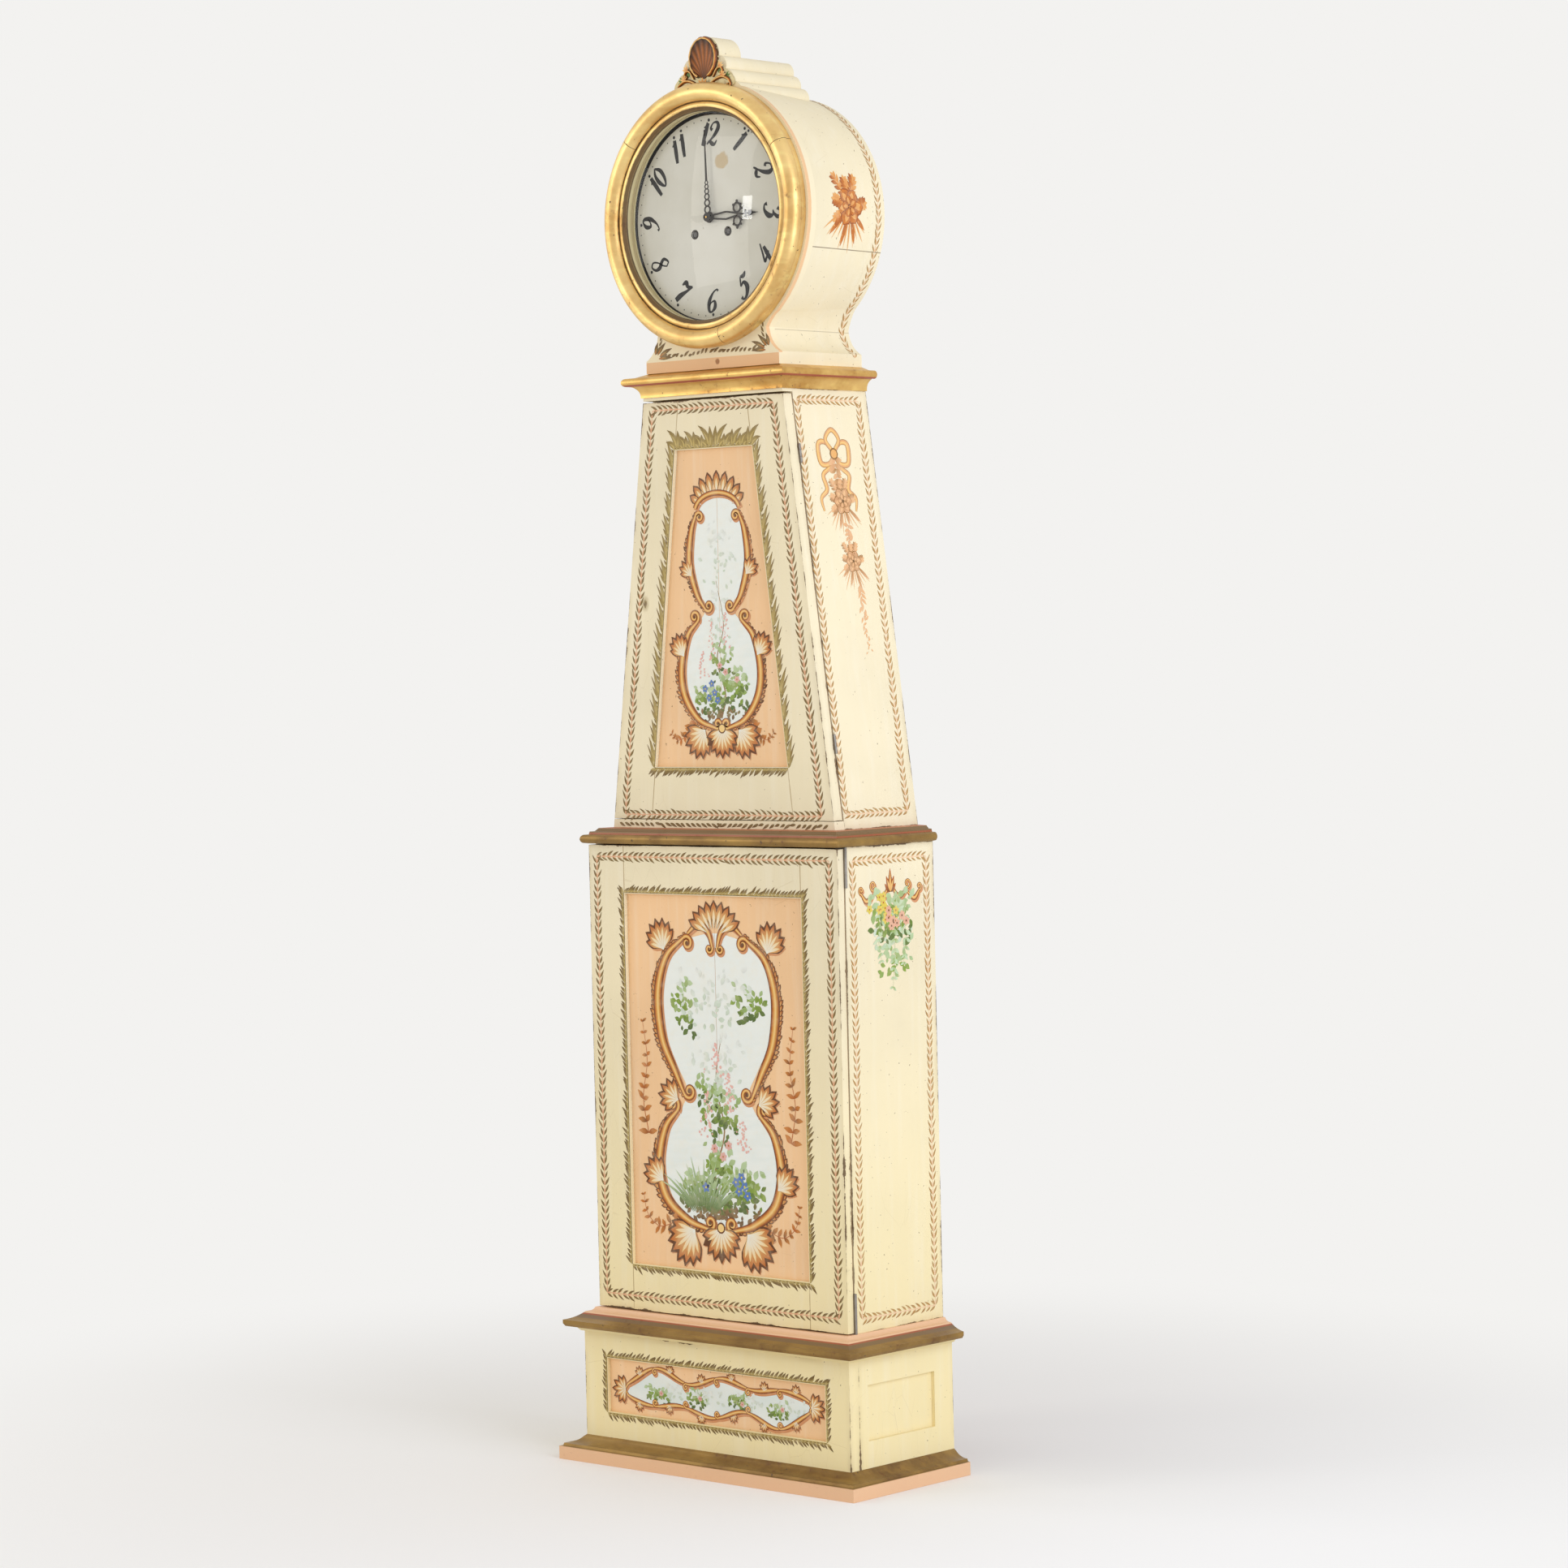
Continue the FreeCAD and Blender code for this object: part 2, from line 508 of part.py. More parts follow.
def hinge(name, length):
    # A butt hinge about its own Z axis. The case leaf lies on the +Y side, the door leaf on the -Y side,
    # and both reach towards -X.
    total = value(length)
    third = total / 3
    knuckle = value("hinge_knuckle")
    leaf = value("hinge_leaf")
    gap = value("hinge_gap") / 2
    width = value("hinge_leaf_width")
    pin = value("hinge_pin")
    play = value("hinge_cut_play")
    running = value("hinge_play")
    spans = [(0, third), (third, 2 * third), (2 * third, total)]

    def leaf_plate(low, high):
        return Part.makeBox(width, high - low, total, vector(-width, low, 0))

    def knuckles(kept, radius, grow):
        rounds = []
        for index in kept:
            low, high = spans[index]
            rounds.append(Part.makeCylinder(radius, high - low + 2 * grow, vector(0, 0, low - grow)))
        return rounds

    def joined(plate, kept, others):
        for other in knuckles(others, knuckle + play, play):
            plate = plate.cut(other)
        return plate.multiFuse(knuckles(kept, knuckle, -play / 2)).removeSplitter()

    core = Part.makeCylinder(pin, total)
    case_leaf = joined(leaf_plate(gap - leaf, gap), (0, 2), (1,)).fuse(core)
    bore = Part.makeCylinder(pin + running, total)
    door_leaf = joined(leaf_plate(-gap, leaf - gap), (1,), (0, 2)).cut(bore)
    return case_leaf, door_leaf


def build_hinges():
    case_leaves = []
    lower_leaves = []
    upper_leaves = []
    axis_y = "-(%s - hinge_gap/2)" % lower_door_back
    for name, low in (("low", lower_z), ("high", waist_z + " - lower_hinge_length")):
        case_leaf, door_leaf = hinge(name, "lower_hinge_length")
        x = "lower_half_width + hinge_stand"
        case_leaves.append(shaped("lower_case_leaf_" + name, case_leaf, x, axis_y, low))
        lower_leaves.append(shaped("lower_door_leaf_" + name, door_leaf, x, axis_y, low))
    lean = math.degrees(math.atan2(value("upper_half_low - upper_half_high"), value("upper_height")))
    axis_y = "-(%s - hinge_gap/2)" % upper_door_back
    for name, rise in (("low", "upper_hinge_low"), ("high", "upper_hinge_high")):
        case_leaf, door_leaf = hinge(name, "upper_hinge_length")
        x = upper_half(rise) + " + hinge_stand"
        z = "%s + %s" % (upper_z, rise)
        tilt = vector(0, -1, 0)
        case_leaves.append(shaped("upper_case_leaf_" + name, case_leaf, x, axis_y, z, tilt, lean))
        upper_leaves.append(shaped("upper_door_leaf_" + name, door_leaf, x, axis_y, z, tilt, lean))
    return case_leaves, lower_leaves, upper_leaves


def build_lower_door(leaves):
    low = "(%s + door_top_play)" % lower_z
    high = "(%s - door_top_play)" % waist_z
    half = "(lower_half_width - door_edge_play)"
    y = ("-lower_front", "-" + lower_door_back)
    opening = ("%s + lower_panel_low" % lower_z, "%s + lower_panel_high" % lower_z)
    stiles = mirrored_block("lower_stile", ("lower_panel_half", half), y, (low, high))
    rails = [block("lower_rail_low", ("-lower_panel_half", "lower_panel_half"), y, (low, opening[0])),
             block("lower_rail_high", ("-lower_panel_half", "lower_panel_half"), y, (opening[1], high))]
    face = "(lower_front - panel_sink)"
    back = "(%s - panel_thickness/2)" % face
    grown = "(lower_panel_half + groove_depth)"
    groove = block("lower_groove", ("-" + grown, grown),
                   ("-(%s + groove_play)" % face, "-(%s - groove_play)" % back),
                   (opening[0] + " - groove_depth", opening[1] + " + groove_depth"))
    frame = cut("lower_door_frame", group("lower_members", *stiles, *rails), groove)
    held = "(lower_panel_half + groove_depth - groove_play)"
    z = (opening[0] + " - groove_depth + groove_play", opening[1] + " + groove_depth - groove_play")
    boards = mirrored_block("lower_panel_board", ("board_joint/2", held), ("-" + face, "-" + back), z)
    return [frame, group("lower_door_panel", *boards), group("lower_door_hinge_leaves", *leaves)]


def build_upper_door(leaves):
    low = "(upper_bottom_rail + upper_door_play)"
    high = "(upper_height - upper_top_rail - upper_door_rise)"
    middle = "-(upper_front - upper_door_thickness/2)"
    members = []
    for side_word, side in (("right", ""), ("left", "-")):
        members.append(prism("upper_stile_" + side_word, "XZ_Plane", [
            ("%s%s" % (side, upper_opening(low)), "%s + %s" % (low, upper_z)),
            ("%s%s" % (side, upper_half(low)), "%s + %s" % (low, upper_z)),
            ("%s%s" % (side, upper_half(high)), "%s + %s" % (high, upper_z)),
            ("%s%s" % (side, upper_opening(high)), "%s + %s" % (high, upper_z)),
        ], "upper_door_thickness", "0", middle))
    members.append(prism("upper_rail_under_panel", "XZ_Plane", slanted(upper_opening, low, "upper_panel_low"),
                         "upper_door_thickness", "0", middle))
    members.append(prism("upper_rail_over_panel", "XZ_Plane", slanted(upper_opening, "upper_panel_high", high),
                         "upper_door_thickness", "0", middle))
    face = "(upper_front - panel_sink)"
    centre = "-(%s - panel_thickness/2)" % face
    ends = ("(upper_panel_low - groove_depth)", "(upper_panel_high + groove_depth)")
    groove = prism("upper_groove", "XZ_Plane", slanted(upper_opening, ends[0], ends[1], "groove_depth"),
                   "panel_thickness + 2*groove_play", "0", centre)
    panel_ends = ("(upper_panel_low - groove_depth + groove_play)",
                  "(upper_panel_high + groove_depth - groove_play)")
    panel = prism("upper_door_panel", "XZ_Plane",
                  slanted(upper_opening, panel_ends[0], panel_ends[1], "groove_depth - groove_play"),
                  "panel_thickness", "0", centre)
    lock_z = "(%s + lock_height)" % upper_z
    keyhole = fuse("keyhole",
                   rod("keyhole_round", "keyhole_radius", "upper_door_thickness + 2*overrun",
                       "-keyhole_inset", "-(upper_front + overrun)", lock_z),
                   block("keyhole_slot_cut", ("-(keyhole_inset + keyhole_radius/2)",
                                              "-(keyhole_inset - keyhole_radius/2)"),
                         ("-(upper_front + overrun)", "-(upper_front - upper_door_thickness - overrun)"),
                         (lock_z + " - keyhole_slot", lock_z)))
    grooved = cut("upper_frame_grooved", group("upper_members", *members), groove)
    frame = cut("upper_door_frame", grooved, keyhole)

    case_y = ("-" + upper_door_back, "-(%s - lock_depth)" % upper_door_back)
    lock_case = block("lock_case", ("-lock_edge", "-(lock_edge - lock_width)"), case_y,
                      (lock_z + " - lock_tall/2", lock_z + " + lock_tall/2"))
    bolt_y = ("-(bolt_depth + bolt_thickness/2", "-(bolt_depth - bolt_thickness/2")
    channel = block("bolt_channel", ("-(lock_edge + overrun)", "-(lock_edge - bolt_length - bolt_play)"),
                    (bolt_y[0] + " + bolt_play)", bolt_y[1] + " - bolt_play)"),
                    (lock_z + " - bolt_tall/2 - bolt_play", lock_z + " + bolt_tall/2 + bolt_play"))
    key_way = rod("key_way", "keyhole_radius", "lock_depth/2", "-keyhole_inset",
                  "-(%s + overrun/5)" % upper_door_back, lock_z)
    lock = cut("lock_hollowed", lock_case, group("lock_hollows", channel, key_way))
    lock = group("upper_door_lock", lock)
    bolt = block("lock_bolt", ("-lock_edge", "-(lock_edge - bolt_length)"),
                 (bolt_y[0] + ")", bolt_y[1] + ")"), (lock_z + " - bolt_tall/2", lock_z + " + bolt_tall/2"))
    return [frame, panel, group("upper_door_hinge_leaves", *leaves), lock, bolt]


def hood_wire(y, radius, inset):
    # The hood's outline at one depth: a drum above a narrow neck that flares to its foot.
    middle = value(drum_z)
    foot = value(hood_z)
    radius -= inset
    foot_half = value("hood_foot_half") - inset
    neck = vector(value("neck_half") - inset, y, foot + value("neck_rise"))
    hip_angle = math.radians(48)
    hip = vector(radius * math.cos(hip_angle), y, middle - radius * math.sin(hip_angle))
    flare = vector(foot_half, y, foot + value("foot_rise"))
    hip_shares = (0.3, 0.42)
    flare_shares = (0.25, 0.52)

    def between(start, end, shares):
        return vector(start.x + (end.x - start.x) * shares[0], y, start.z + (end.z - start.z) * shares[1])

    hip_way = between(neck, hip, hip_shares)
    flare_way = between(neck, flare, flare_shares)
    top = vector(0, y, middle + radius)

    def left(point):
        return vector(-point.x, point.y, point.z)

    shoulder = vector(radius, y, middle)
    edges = [
        Part.LineSegment(left(vector(foot_half, y, foot)), vector(foot_half, y, foot)),
        Part.LineSegment(vector(foot_half, y, foot), flare),
        Part.Arc(flare, flare_way, neck),
        Part.Arc(neck, hip_way, hip),
        Part.Arc(hip, shoulder, top),
        Part.Arc(top, left(shoulder), left(hip)),
        Part.Arc(left(hip), left(hip_way), left(neck)),
        Part.Arc(left(neck), left(flare_way), left(flare)),
        Part.LineSegment(left(flare), left(vector(foot_half, y, foot))),
    ]
    return Part.Wire([edge.toShape() for edge in edges])


def hood_loft(name, inset):
    front = -value("upper_front - 2*door_edge_play - 2*door_edge_play")
    back = value("half_depth")
    wires = [hood_wire(front, value("hood_front_radius"), inset),
             hood_wire(back, value("hood_back_radius"), inset)]
    return shaped(name, Part.makeLoft(wires, True, True))


def build_hood():
    wide = "(hood_front_radius + overrun)"
    x = ("-" + wide, wide)
    front = "-(upper_front - 4*door_edge_play)"
    board_back = "-(upper_front - 4*door_edge_play - hood_front_board)"
    fascia_top = "(%s + fascia_height)" % hood_z
    top = "(%s + hood_front_radius + overrun)" % drum_z
    outer = hood_loft("hood_outer", 0)
    inner = hood_loft("hood_inner", value("hood_wall"))
    shell = cut("hood_shell", outer, inner)

    def slab(name, y, z):
        return block(name, x, y, z)

    face = common("hood_face", outer, slab("hood_face_slab", (front, board_back), (fascia_top, top)))
    hole = rod("hood_hole", "hood_hole", "hood_front_board + 2*overrun", "0", front + " - overrun", drum_z)
    face_board = cut("hood_front_board", face, hole)
    fascia = common("hood_base_fascia", hood_loft("hood_outer_low", 0),
                    slab("hood_fascia_slab", (front, board_back), (hood_z, fascia_top)))
    back_board = common("hood_back_board", inner,
                        slab("hood_back_slab", ("half_depth - back_wall", "half_depth"), (hood_z, top)))
    depth = (board_back, "half_depth")
    seam_low = "(%s + hood_seam_low)" % hood_z
    seam_side = "(%s + hood_seam_side)" % hood_z
    seam_top = "(%s + hood_seam_top)" % hood_z
    neck = group("hood_neck_staves",
                 common("hood_feet", shell, slab("hood_foot_slab", depth, (hood_z, seam_low))),
                 common("hood_necks", shell, slab("hood_neck_slab", depth, (seam_low, seam_side))))
    sides = common("hood_side_staves", shell, slab("hood_side_slab", depth, (seam_side, seam_top)))
    crown = common("hood_crown", shell, slab("hood_crown_slab", depth, (seam_top, top)))
    return outer, [face_board, fascia, back_board, neck, sides, crown]


def build_crest(outer):
    front = "-(upper_front - 4*door_edge_play)"
    low = "(%s + crest_low)" % hood_z
    halves = ("crest_half_low", "crest_half_mid", "crest_half_top", "crest_half_end")
    boards = []
    for step in range(3):
        bottom = "(%s + %d*crest_step)" % (low, step)
        top = "(%s + %d*crest_step)" % (low, step + 1)
        wide, narrow = halves[step], "(%s + 2*door_edge_play)" % halves[step + 1]
        bulge = ("%s*0.4 + %s*0.6" % (narrow, wide), "%s*0.2 + %s*0.8" % (bottom, top))
        left_bulge = ("-(%s)" % bulge[0], bulge[1])
        boards.append(prism("crest_board_%d" % step, "XZ_Plane", [
            ("-" + wide, bottom), (wide, bottom, bulge), (narrow, top), ("-" + narrow, top, left_bulge),
        ], "crest_depth", "0", front + " + crest_depth/2"))
    cap_low = "(%s + 3*crest_step)" % low
    crown = "(%s + shell_top - 2*crest_play)" % hood_z
    boards.append(prism("crest_head", "XZ_Plane", [
        ("-shell_half", cap_low), ("shell_half", cap_low, ("shell_half*0.75", "%s*0.3 + %s*0.7" % (cap_low, crown))),
        ("0", crown, ("-shell_half*0.75", "%s*0.3 + %s*0.7" % (cap_low, crown))),
    ], "crest_block_depth", "0", front + " + crest_block_depth/2"))
    crest = cut("crest_boards", group("crest_blanks", *boards), outer)

    shell_low = "(%s + shell_low)" % hood_z
    shell_top = "(%s + shell_top)" % hood_z
    waist = "%s*0.45 + %s*0.55" % (shell_low, shell_top)
    shell = prism("shell_blank", "XZ_Plane", [
        ("-shell_half*0.45", shell_low), ("shell_half*0.45", shell_low), ("shell_half", waist,
        ("shell_half*0.78", "%s*0.15 + %s*0.85" % (shell_low, shell_top))),
        ("0", shell_top, ("-shell_half*0.78", "%s*0.15 + %s*0.85" % (shell_low, shell_top))),
        ("-shell_half", waist),
    ], "shell_depth", "0", front + " - shell_depth/2")
    scrolls = []
    scroll_top = "(%s + scroll_top)" % hood_z
    scroll_low = "(%s + shell_low - crest_step)" % hood_z
    for side_word, side in (("right", ""), ("left", "-")):
        scrolls.append(prism("scroll_" + side_word, "XZ_Plane", [
            (side + "shell_half*0.5", scroll_low), (side + "scroll_half", scroll_low),
            (side + "scroll_half", "%s*0.7 + %s*0.3" % (scroll_low, scroll_top),
             (side + "scroll_half*0.85", "%s*0.15 + %s*0.85" % (scroll_low, scroll_top))),
            (side + "shell_half*1.25", scroll_top), (side + "shell_half*0.9", "%s*0.6 + %s*0.4" % (scroll_low, scroll_top)),
        ], "shell_depth", "0", front + " - shell_depth/2"))
    ring_room = rod("ring_room", "bezel_radius + 2*crest_play", "shell_depth + 2*overrun", "0",
                    front + " - shell_depth - overrun", drum_z)
    scroll_pair = cut("scrolls_cleared", group("scroll_blanks", *scrolls), shell)
    carving = cut("crest_carving", group("carving_blanks", shell, scroll_pair), ring_room)
    return [crest, carving]


def dome_rise(radius, rise, share):
    # How far a round dome has sunk from its crown at a share of its radius.
    ball = "((%s*%s + %s*%s)/(2*%s))" % (radius, radius, rise, rise, rise)
    way = "(%s*%s)" % (radius, share)
    return "(%s - sqrt(%s*%s - %s*%s))" % (ball, ball, ball, way, way)


def build_bezel():
    front_face = "(upper_front - 4*door_edge_play)"
    back = "(%s + bezel_gap)" % front_face
    nose = "(%s + bezel_depth)" % back
    lip = "(%s + bezel_lip)" % back
    span = "(bezel_radius - bezel_bore)"
    rebate = "(%s + rebate_depth)" % back
    outline = [
        ("glass_radius + glass_play", "-" + back), ("bezel_radius", "-" + back),
        ("bezel_radius", "-(%s + bezel_depth*0.3)" % back,
         ("bezel_bore + %s*0.67" % span, "-" + nose)),
        ("bezel_bore + %s*0.36" % span, "-(%s + bezel_depth*0.6)" % back),
        ("bezel_bore + %s*0.33" % span, "-(%s + bezel_depth*0.62)" % back,
         ("bezel_bore + %s*0.2" % span, "-(%s + bezel_depth*0.7)" % back)),
        ("bezel_bore + %s*0.09" % span, "-(%s + bezel_depth*0.6)" % back),
        ("bezel_bore", "-" + lip), ("bezel_bore", "-" + rebate), ("glass_radius + glass_play", "-" + rebate),
    ]
    ring = turned("bezel_hoop", "XY_Plane", outline, "0", "0", drum_z)
    edge = "(%s - glass_play)" % rebate
    inside = "(%s - glass_thickness)" % edge
    clear = "(glass_radius - glass_rim)"
    sunk = dome_rise(clear, "glass_crown", 0.5)
    glass = turned("bezel_glass", "XY_Plane", [
        ("0", "-(%s + glass_crown)" % edge, (clear + "*0.5", "-(%s + glass_crown - %s)" % (edge, sunk))),
        (clear, "-" + edge), ("glass_radius", "-" + edge), ("glass_radius", "-" + inside),
        (clear, "-" + inside, (clear + "*0.5", "-(%s + glass_crown - %s)" % (inside, sunk))),
        ("0", "-(%s + glass_crown)" % inside),
    ], "0", "0", drum_z)
    axis_x = "-(hood_front_radius + hinge_knuckle + hinge_cut_play)"
    axis_y = "-(%s + bezel_gap/2)" % front_face
    low = "(%s - bezel_hinge_length/2)" % drum_z
    third = "bezel_hinge_length/3"
    knuckle = rod("bezel_knuckle", "hinge_knuckle", third + " - hinge_cut_play", axis_x, axis_y,
                  "%s + %s + hinge_cut_play/2" % (low, third), "z")
    arm = block("bezel_arm", (axis_x, "-(bezel_radius + hinge_cut_play/3)"),
                ("-(%s + bezel_depth*0.28)" % back, "-(%s + bezel_gap)" % back),
                ("%s + %s + hinge_cut_play/2" % (low, third), "%s + 2*%s - hinge_cut_play/2" % (low, third)))
    bore = rod("bezel_hinge_bore", "hinge_pin + hinge_play", "bezel_hinge_length", axis_x, axis_y, low, "z")
    door_part = cut("bezel_hinge_eye", fuse("bezel_eye_blank", knuckle, arm), bore)
    case_parts = []
    for index in (0, 2):
        start = "%s + %d*%s" % (low, index, third)
        barrel = rod("bezel_case_knuckle_%d" % index, "hinge_knuckle", third, axis_x, axis_y, start, "z")
        plate = block("bezel_case_plate_%d" % index,
                      (axis_x, "-(hood_front_radius + hinge_cut_play/3)"),
                      ("-(%s - hinge_cut_play)" % front_face, "-(%s - hinge_leaf_width*0.6)" % front_face),
                      (start, "%s + %s" % (start, third)))
        case_parts += [barrel, plate]
    pin = rod("bezel_hinge_pin", "hinge_pin", "bezel_hinge_length", axis_x, axis_y, low, "z")
    case_leaf = fuse("bezel_case_leaf", pin, *case_parts)
    return [group("bezel_ring", ring, door_part), glass], case_leaf


def strand_x(barrel_place):
    # The line leaves each barrel on its left, so that its fall turns the hands forwards.
    return "(%s - barrel_radius - line_play - line_radius)" % barrel_place


def pulley_x(barrel_place):
    return "(%s - barrel_radius + pulley_groove)" % barrel_place


def build_seat():
    inner = "(upper_wall + board_play)"
    low = "(upper_height - bearer_height)"

    def inner_half(rise):
        return "(%s - %s)" % (upper_half(rise), inner)

    outline = slanted(inner_half, low, "upper_height")
    bearers = []
    for name, y in (("front", "-(bearer_front - bearer_depth/2)"), ("back", "bearer_back - bearer_depth/2")):
        bearers.append(prism("bearer_" + name, "XZ_Plane", outline, "bearer_depth", "0", y))
    cheeks = mirrored_block("cheek", ("cheek_inner", "cheek_inner + cheek_wall"),
                            ("-bearer_front", "bearer_back"), (cornice_z, seat_z))
    seat = block("seat_blank", ("-seat_half", "seat_half"), ("-bearer_front", "bearer_back"),
                 (seat_z, seat_z + " + seat_thickness"))
    holes = []
    for name, place_text in (("going", "barrel_x"), ("strike", "-barrel_x")):
        holes.append(rod(name + "_line_hole", "line_hole", "seat_thickness + 2*overrun",
                         strand_x(place_text), "line_y", seat_z + " - overrun", "z"))
    seat_board = cut("seat_board", seat, group("line_holes", *holes))
    return [group("movement_cheeks", *bearers, *cheeks), seat_board]


gear_shares = {"addendum": 0.75, "dedendum": 1.15, "tip": 0.2, "pitch": 0.38, "root": 0.5}


def gear_face(teeth, module, phase):
    # A toothed disc in the XZ plane, its first tooth at the phase angle from +X towards +Z.
    pitch_radius = teeth * module / 2
    tip = pitch_radius + gear_shares["addendum"] * module
    root = pitch_radius - gear_shares["dedendum"] * module
    step = 2 * math.pi / teeth
    points = []
    for tooth in range(teeth):
        middle = phase + tooth * step
        for radius, share in ((root, -gear_shares["root"]), (tip, -gear_shares["tip"]),
                              (tip, gear_shares["tip"]), (root, gear_shares["root"])):
            angle = middle + share * step / 2
            points.append(vector(radius * math.cos(angle), 0, radius * math.sin(angle)))
    points.append(points[0])
    return Part.Face(Part.makePolygon(points))


def wheel_shape(teeth, module, phase, thickness, bore, crossings=5):
    # A toothed wheel along +Y with a bore and round crossings between its arms.
    disc = gear_face(teeth, module, phase).extrude(vector(0, thickness, 0))
    radius = teeth * module / 2
    disc = disc.cut(Part.makeCylinder(bore, thickness, vector(), vector(0, 1, 0)))
    for index in range(crossings):
        angle = 2 * math.pi * index / crossings
        way = 0.58 * radius
        centre = vector(way * math.cos(angle), 0, way * math.sin(angle))
        disc = disc.cut(Part.makeCylinder(0.24 * radius, thickness, centre, vector(0, 1, 0)))
    return disc


def pinion_shape(teeth, module, phase, thickness):
    return gear_face(teeth, module, phase).extrude(vector(0, thickness, 0))


def direction(start, end):
    return math.atan2(end[1] - start[1], end[0] - start[0])


def module_between(start, end, teeth_a, teeth_b):
    distance = math.hypot(end[0] - start[0], end[1] - start[1])
    return 2 * distance / (teeth_a + teeth_b)


def arbor_with_pinion(name, at, low, high, pinion):
    # One turned arbor with its leaves cut in it: pinion holds teeth, module, phase, start and end.
    radius = value("arbor_radius")
    shape = Part.makeCylinder(radius, high - low, vector(0, low, 0), vector(0, 1, 0))
    if pinion:
        teeth, module, phase, start, end = pinion
        leaves = pinion_shape(teeth, module, phase, end - start)
        leaves.translate(vector(0, start, 0))
        shape = shape.fuse(leaves)
    item = shaped(name, shape)
    item.Placement.Base = vector(at[0], 0, at[1])
    return item


def wheel_at(name, at, y, shape):
    item = shaped(name, shape)
    item.Placement.Base = vector(at[0], y, at[1])
    return item


def build_frame():
    x = ("-plate_half", "plate_half")
    z = (plate_z, plate_z + " + plate_height")
    inner_front = "-(plate_front - plate_wall)"
    inner_back = "(%s + plate_gap)" % inner_front
    outer_back = "(%s + plate_wall)" % inner_back
    arbors = {
        "winding_right": ("barrel_x", barrel_z, "winding_radius"),
        "winding_left": ("-barrel_x", barrel_z, "winding_radius"),
        "centre": ("0", centre_z, "arbor_radius"),
        "third": ("-third_x", centre_z + " + third_rise", "arbor_radius"),
        "escape": ("0", centre_z + " + escape_rise", "arbor_radius"),
        "anchor": ("0", anchor_z, "arbor_radius"),
        "pin_wheel": ("-pin_wheel_x", centre_z + " + pin_wheel_rise", "arbor_radius"),
        "hammer": ("-hammer_x", centre_z + " + hammer_rise", "arbor_radius"),
    }
    plates = []
    for name, y in (("front_plate", ("-plate_front", inner_front)), ("back_plate", (inner_back, outer_back))):
        holes = []
        for arbor, (hole_x, hole_z, radius) in arbors.items():
            holes.append(rod("%s_%s_hole" % (name, arbor), radius + " + running_play",
                             "plate_wall + 2*overrun", hole_x, y[0] + " - overrun", hole_z))
        plates.append(cut(name, block(name + "_blank", x, y, z), group(name + "_holes", *holes)))
    pillars = []
    for side in ("", "-"):
        for name, height in (("low", plate_z + " + pillar_foot"), ("high", plate_z + " + plate_height - pillar_foot")):
            pillars.append(rod("pillar_%s%s" % (name, "_left" if side else "_right"), "pillar_radius",
                               "plate_gap", side + "(plate_half - pillar_inset)", inner_front, height))
    stud = rod("minute_stud", "arbor_radius", "hour_wheel_y - plate_front + wheel_wall", "0",
               "-(hour_wheel_y + wheel_wall)", centre_z + " - motion_drop")
    frame = group("movement_frame", *plates, *pillars, stud)

    cock_y = (outer_back, "pendulum_y + spring_width/2 + crutch_half")
    cock = block("suspension_bar", ("-cock_half", "cock_half"), cock_y,
                 (anchor_z + " + cock_clear", anchor_z + " + cock_clear + cock_height"))
    chop = block("suspension_chop", ("-cock_half/2", "cock_half/2"),
                 ("pendulum_y - spring_width/2 - crutch_half/2", "pendulum_y + spring_width/2 + crutch_half"),
                 (anchor_z + " + cock_gap", anchor_z + " + cock_clear"))
    suspension = fuse("suspension_cock", cock, chop)

    bell_top = "(%s + bell_rise + bell_height + bell_wall)" % centre_z
    post_x = ("bell_x - bell_bar", "bell_x + bell_bar")
    post = block("bell_post", post_x, (outer_back, outer_back + " + bell_bar_wall"),
                 (centre_z + " + bell_post_low", bell_top + " + bell_bar_wall"))
    bar = block("bell_bar_top", post_x, ("bell_y - bell_bar", outer_back + " + bell_bar_wall"),
                (bell_top, bell_top + " + bell_bar_wall"))
    stand = fuse("bell_stand", post, bar)
    rim = "(%s + bell_rise)" % centre_z
    bell = turned("bell_cup", "XZ_Plane", [
        ("bell_radius - bell_wall", rim), ("bell_radius", rim, ("bell_radius*0.76", rim + " + bell_height*0.7")),
        ("bell_bar", rim + " + bell_height + bell_wall"), ("0", rim + " + bell_height + bell_wall"),
        ("0", rim + " + bell_height"),
        ("bell_bar", rim + " + bell_height", ("(bell_radius - bell_wall)*0.75", rim + " + bell_height*0.64")),
    ], "bell_x", "bell_y", "0")
    return [frame, suspension, group("bell_and_stand", stand, bell)]


def build_dial():
    centre = rod("dial_disc", "dial_radius", "dial_thickness", "0", "-dial_front", centre_z)
    holes = [rod("dial_pipe_hole", "pipe_hole", "dial_thickness + 2*overrun", "0", "-(dial_front + overrun)",
                 centre_z)]
    for side_word, side in (("right", ""), ("left", "-")):
        holes.append(rod("dial_winding_" + side_word, "winding_hole", "dial_thickness + 2*overrun",
                         side + "barrel_x", "-(dial_front + overrun)", barrel_z))
    plate = cut("dial_face", centre, group("dial_holes", *holes))
    feet = []
    for name, x, z in (("right", "dial_foot_x", "dial_foot_rise"), ("left", "-dial_foot_x", "dial_foot_rise"),
                       ("low", "0", "-dial_foot_drop")):
        feet.append(rod("dial_foot_" + name, "dial_foot", "dial_front - dial_thickness - plate_front", x,
                        "-(dial_front - dial_thickness)", "%s + %s" % (centre_z, z)))
    return group("dial_plate", plate, *feet)


def ring_plate(x, z, outer, inner, thickness):
    centre = vector(x, 0, z)
    disc = Part.makeCylinder(outer, thickness, centre, vector(0, 1, 0))
    return disc.cut(Part.makeCylinder(inner, thickness, centre, vector(0, 1, 0)))


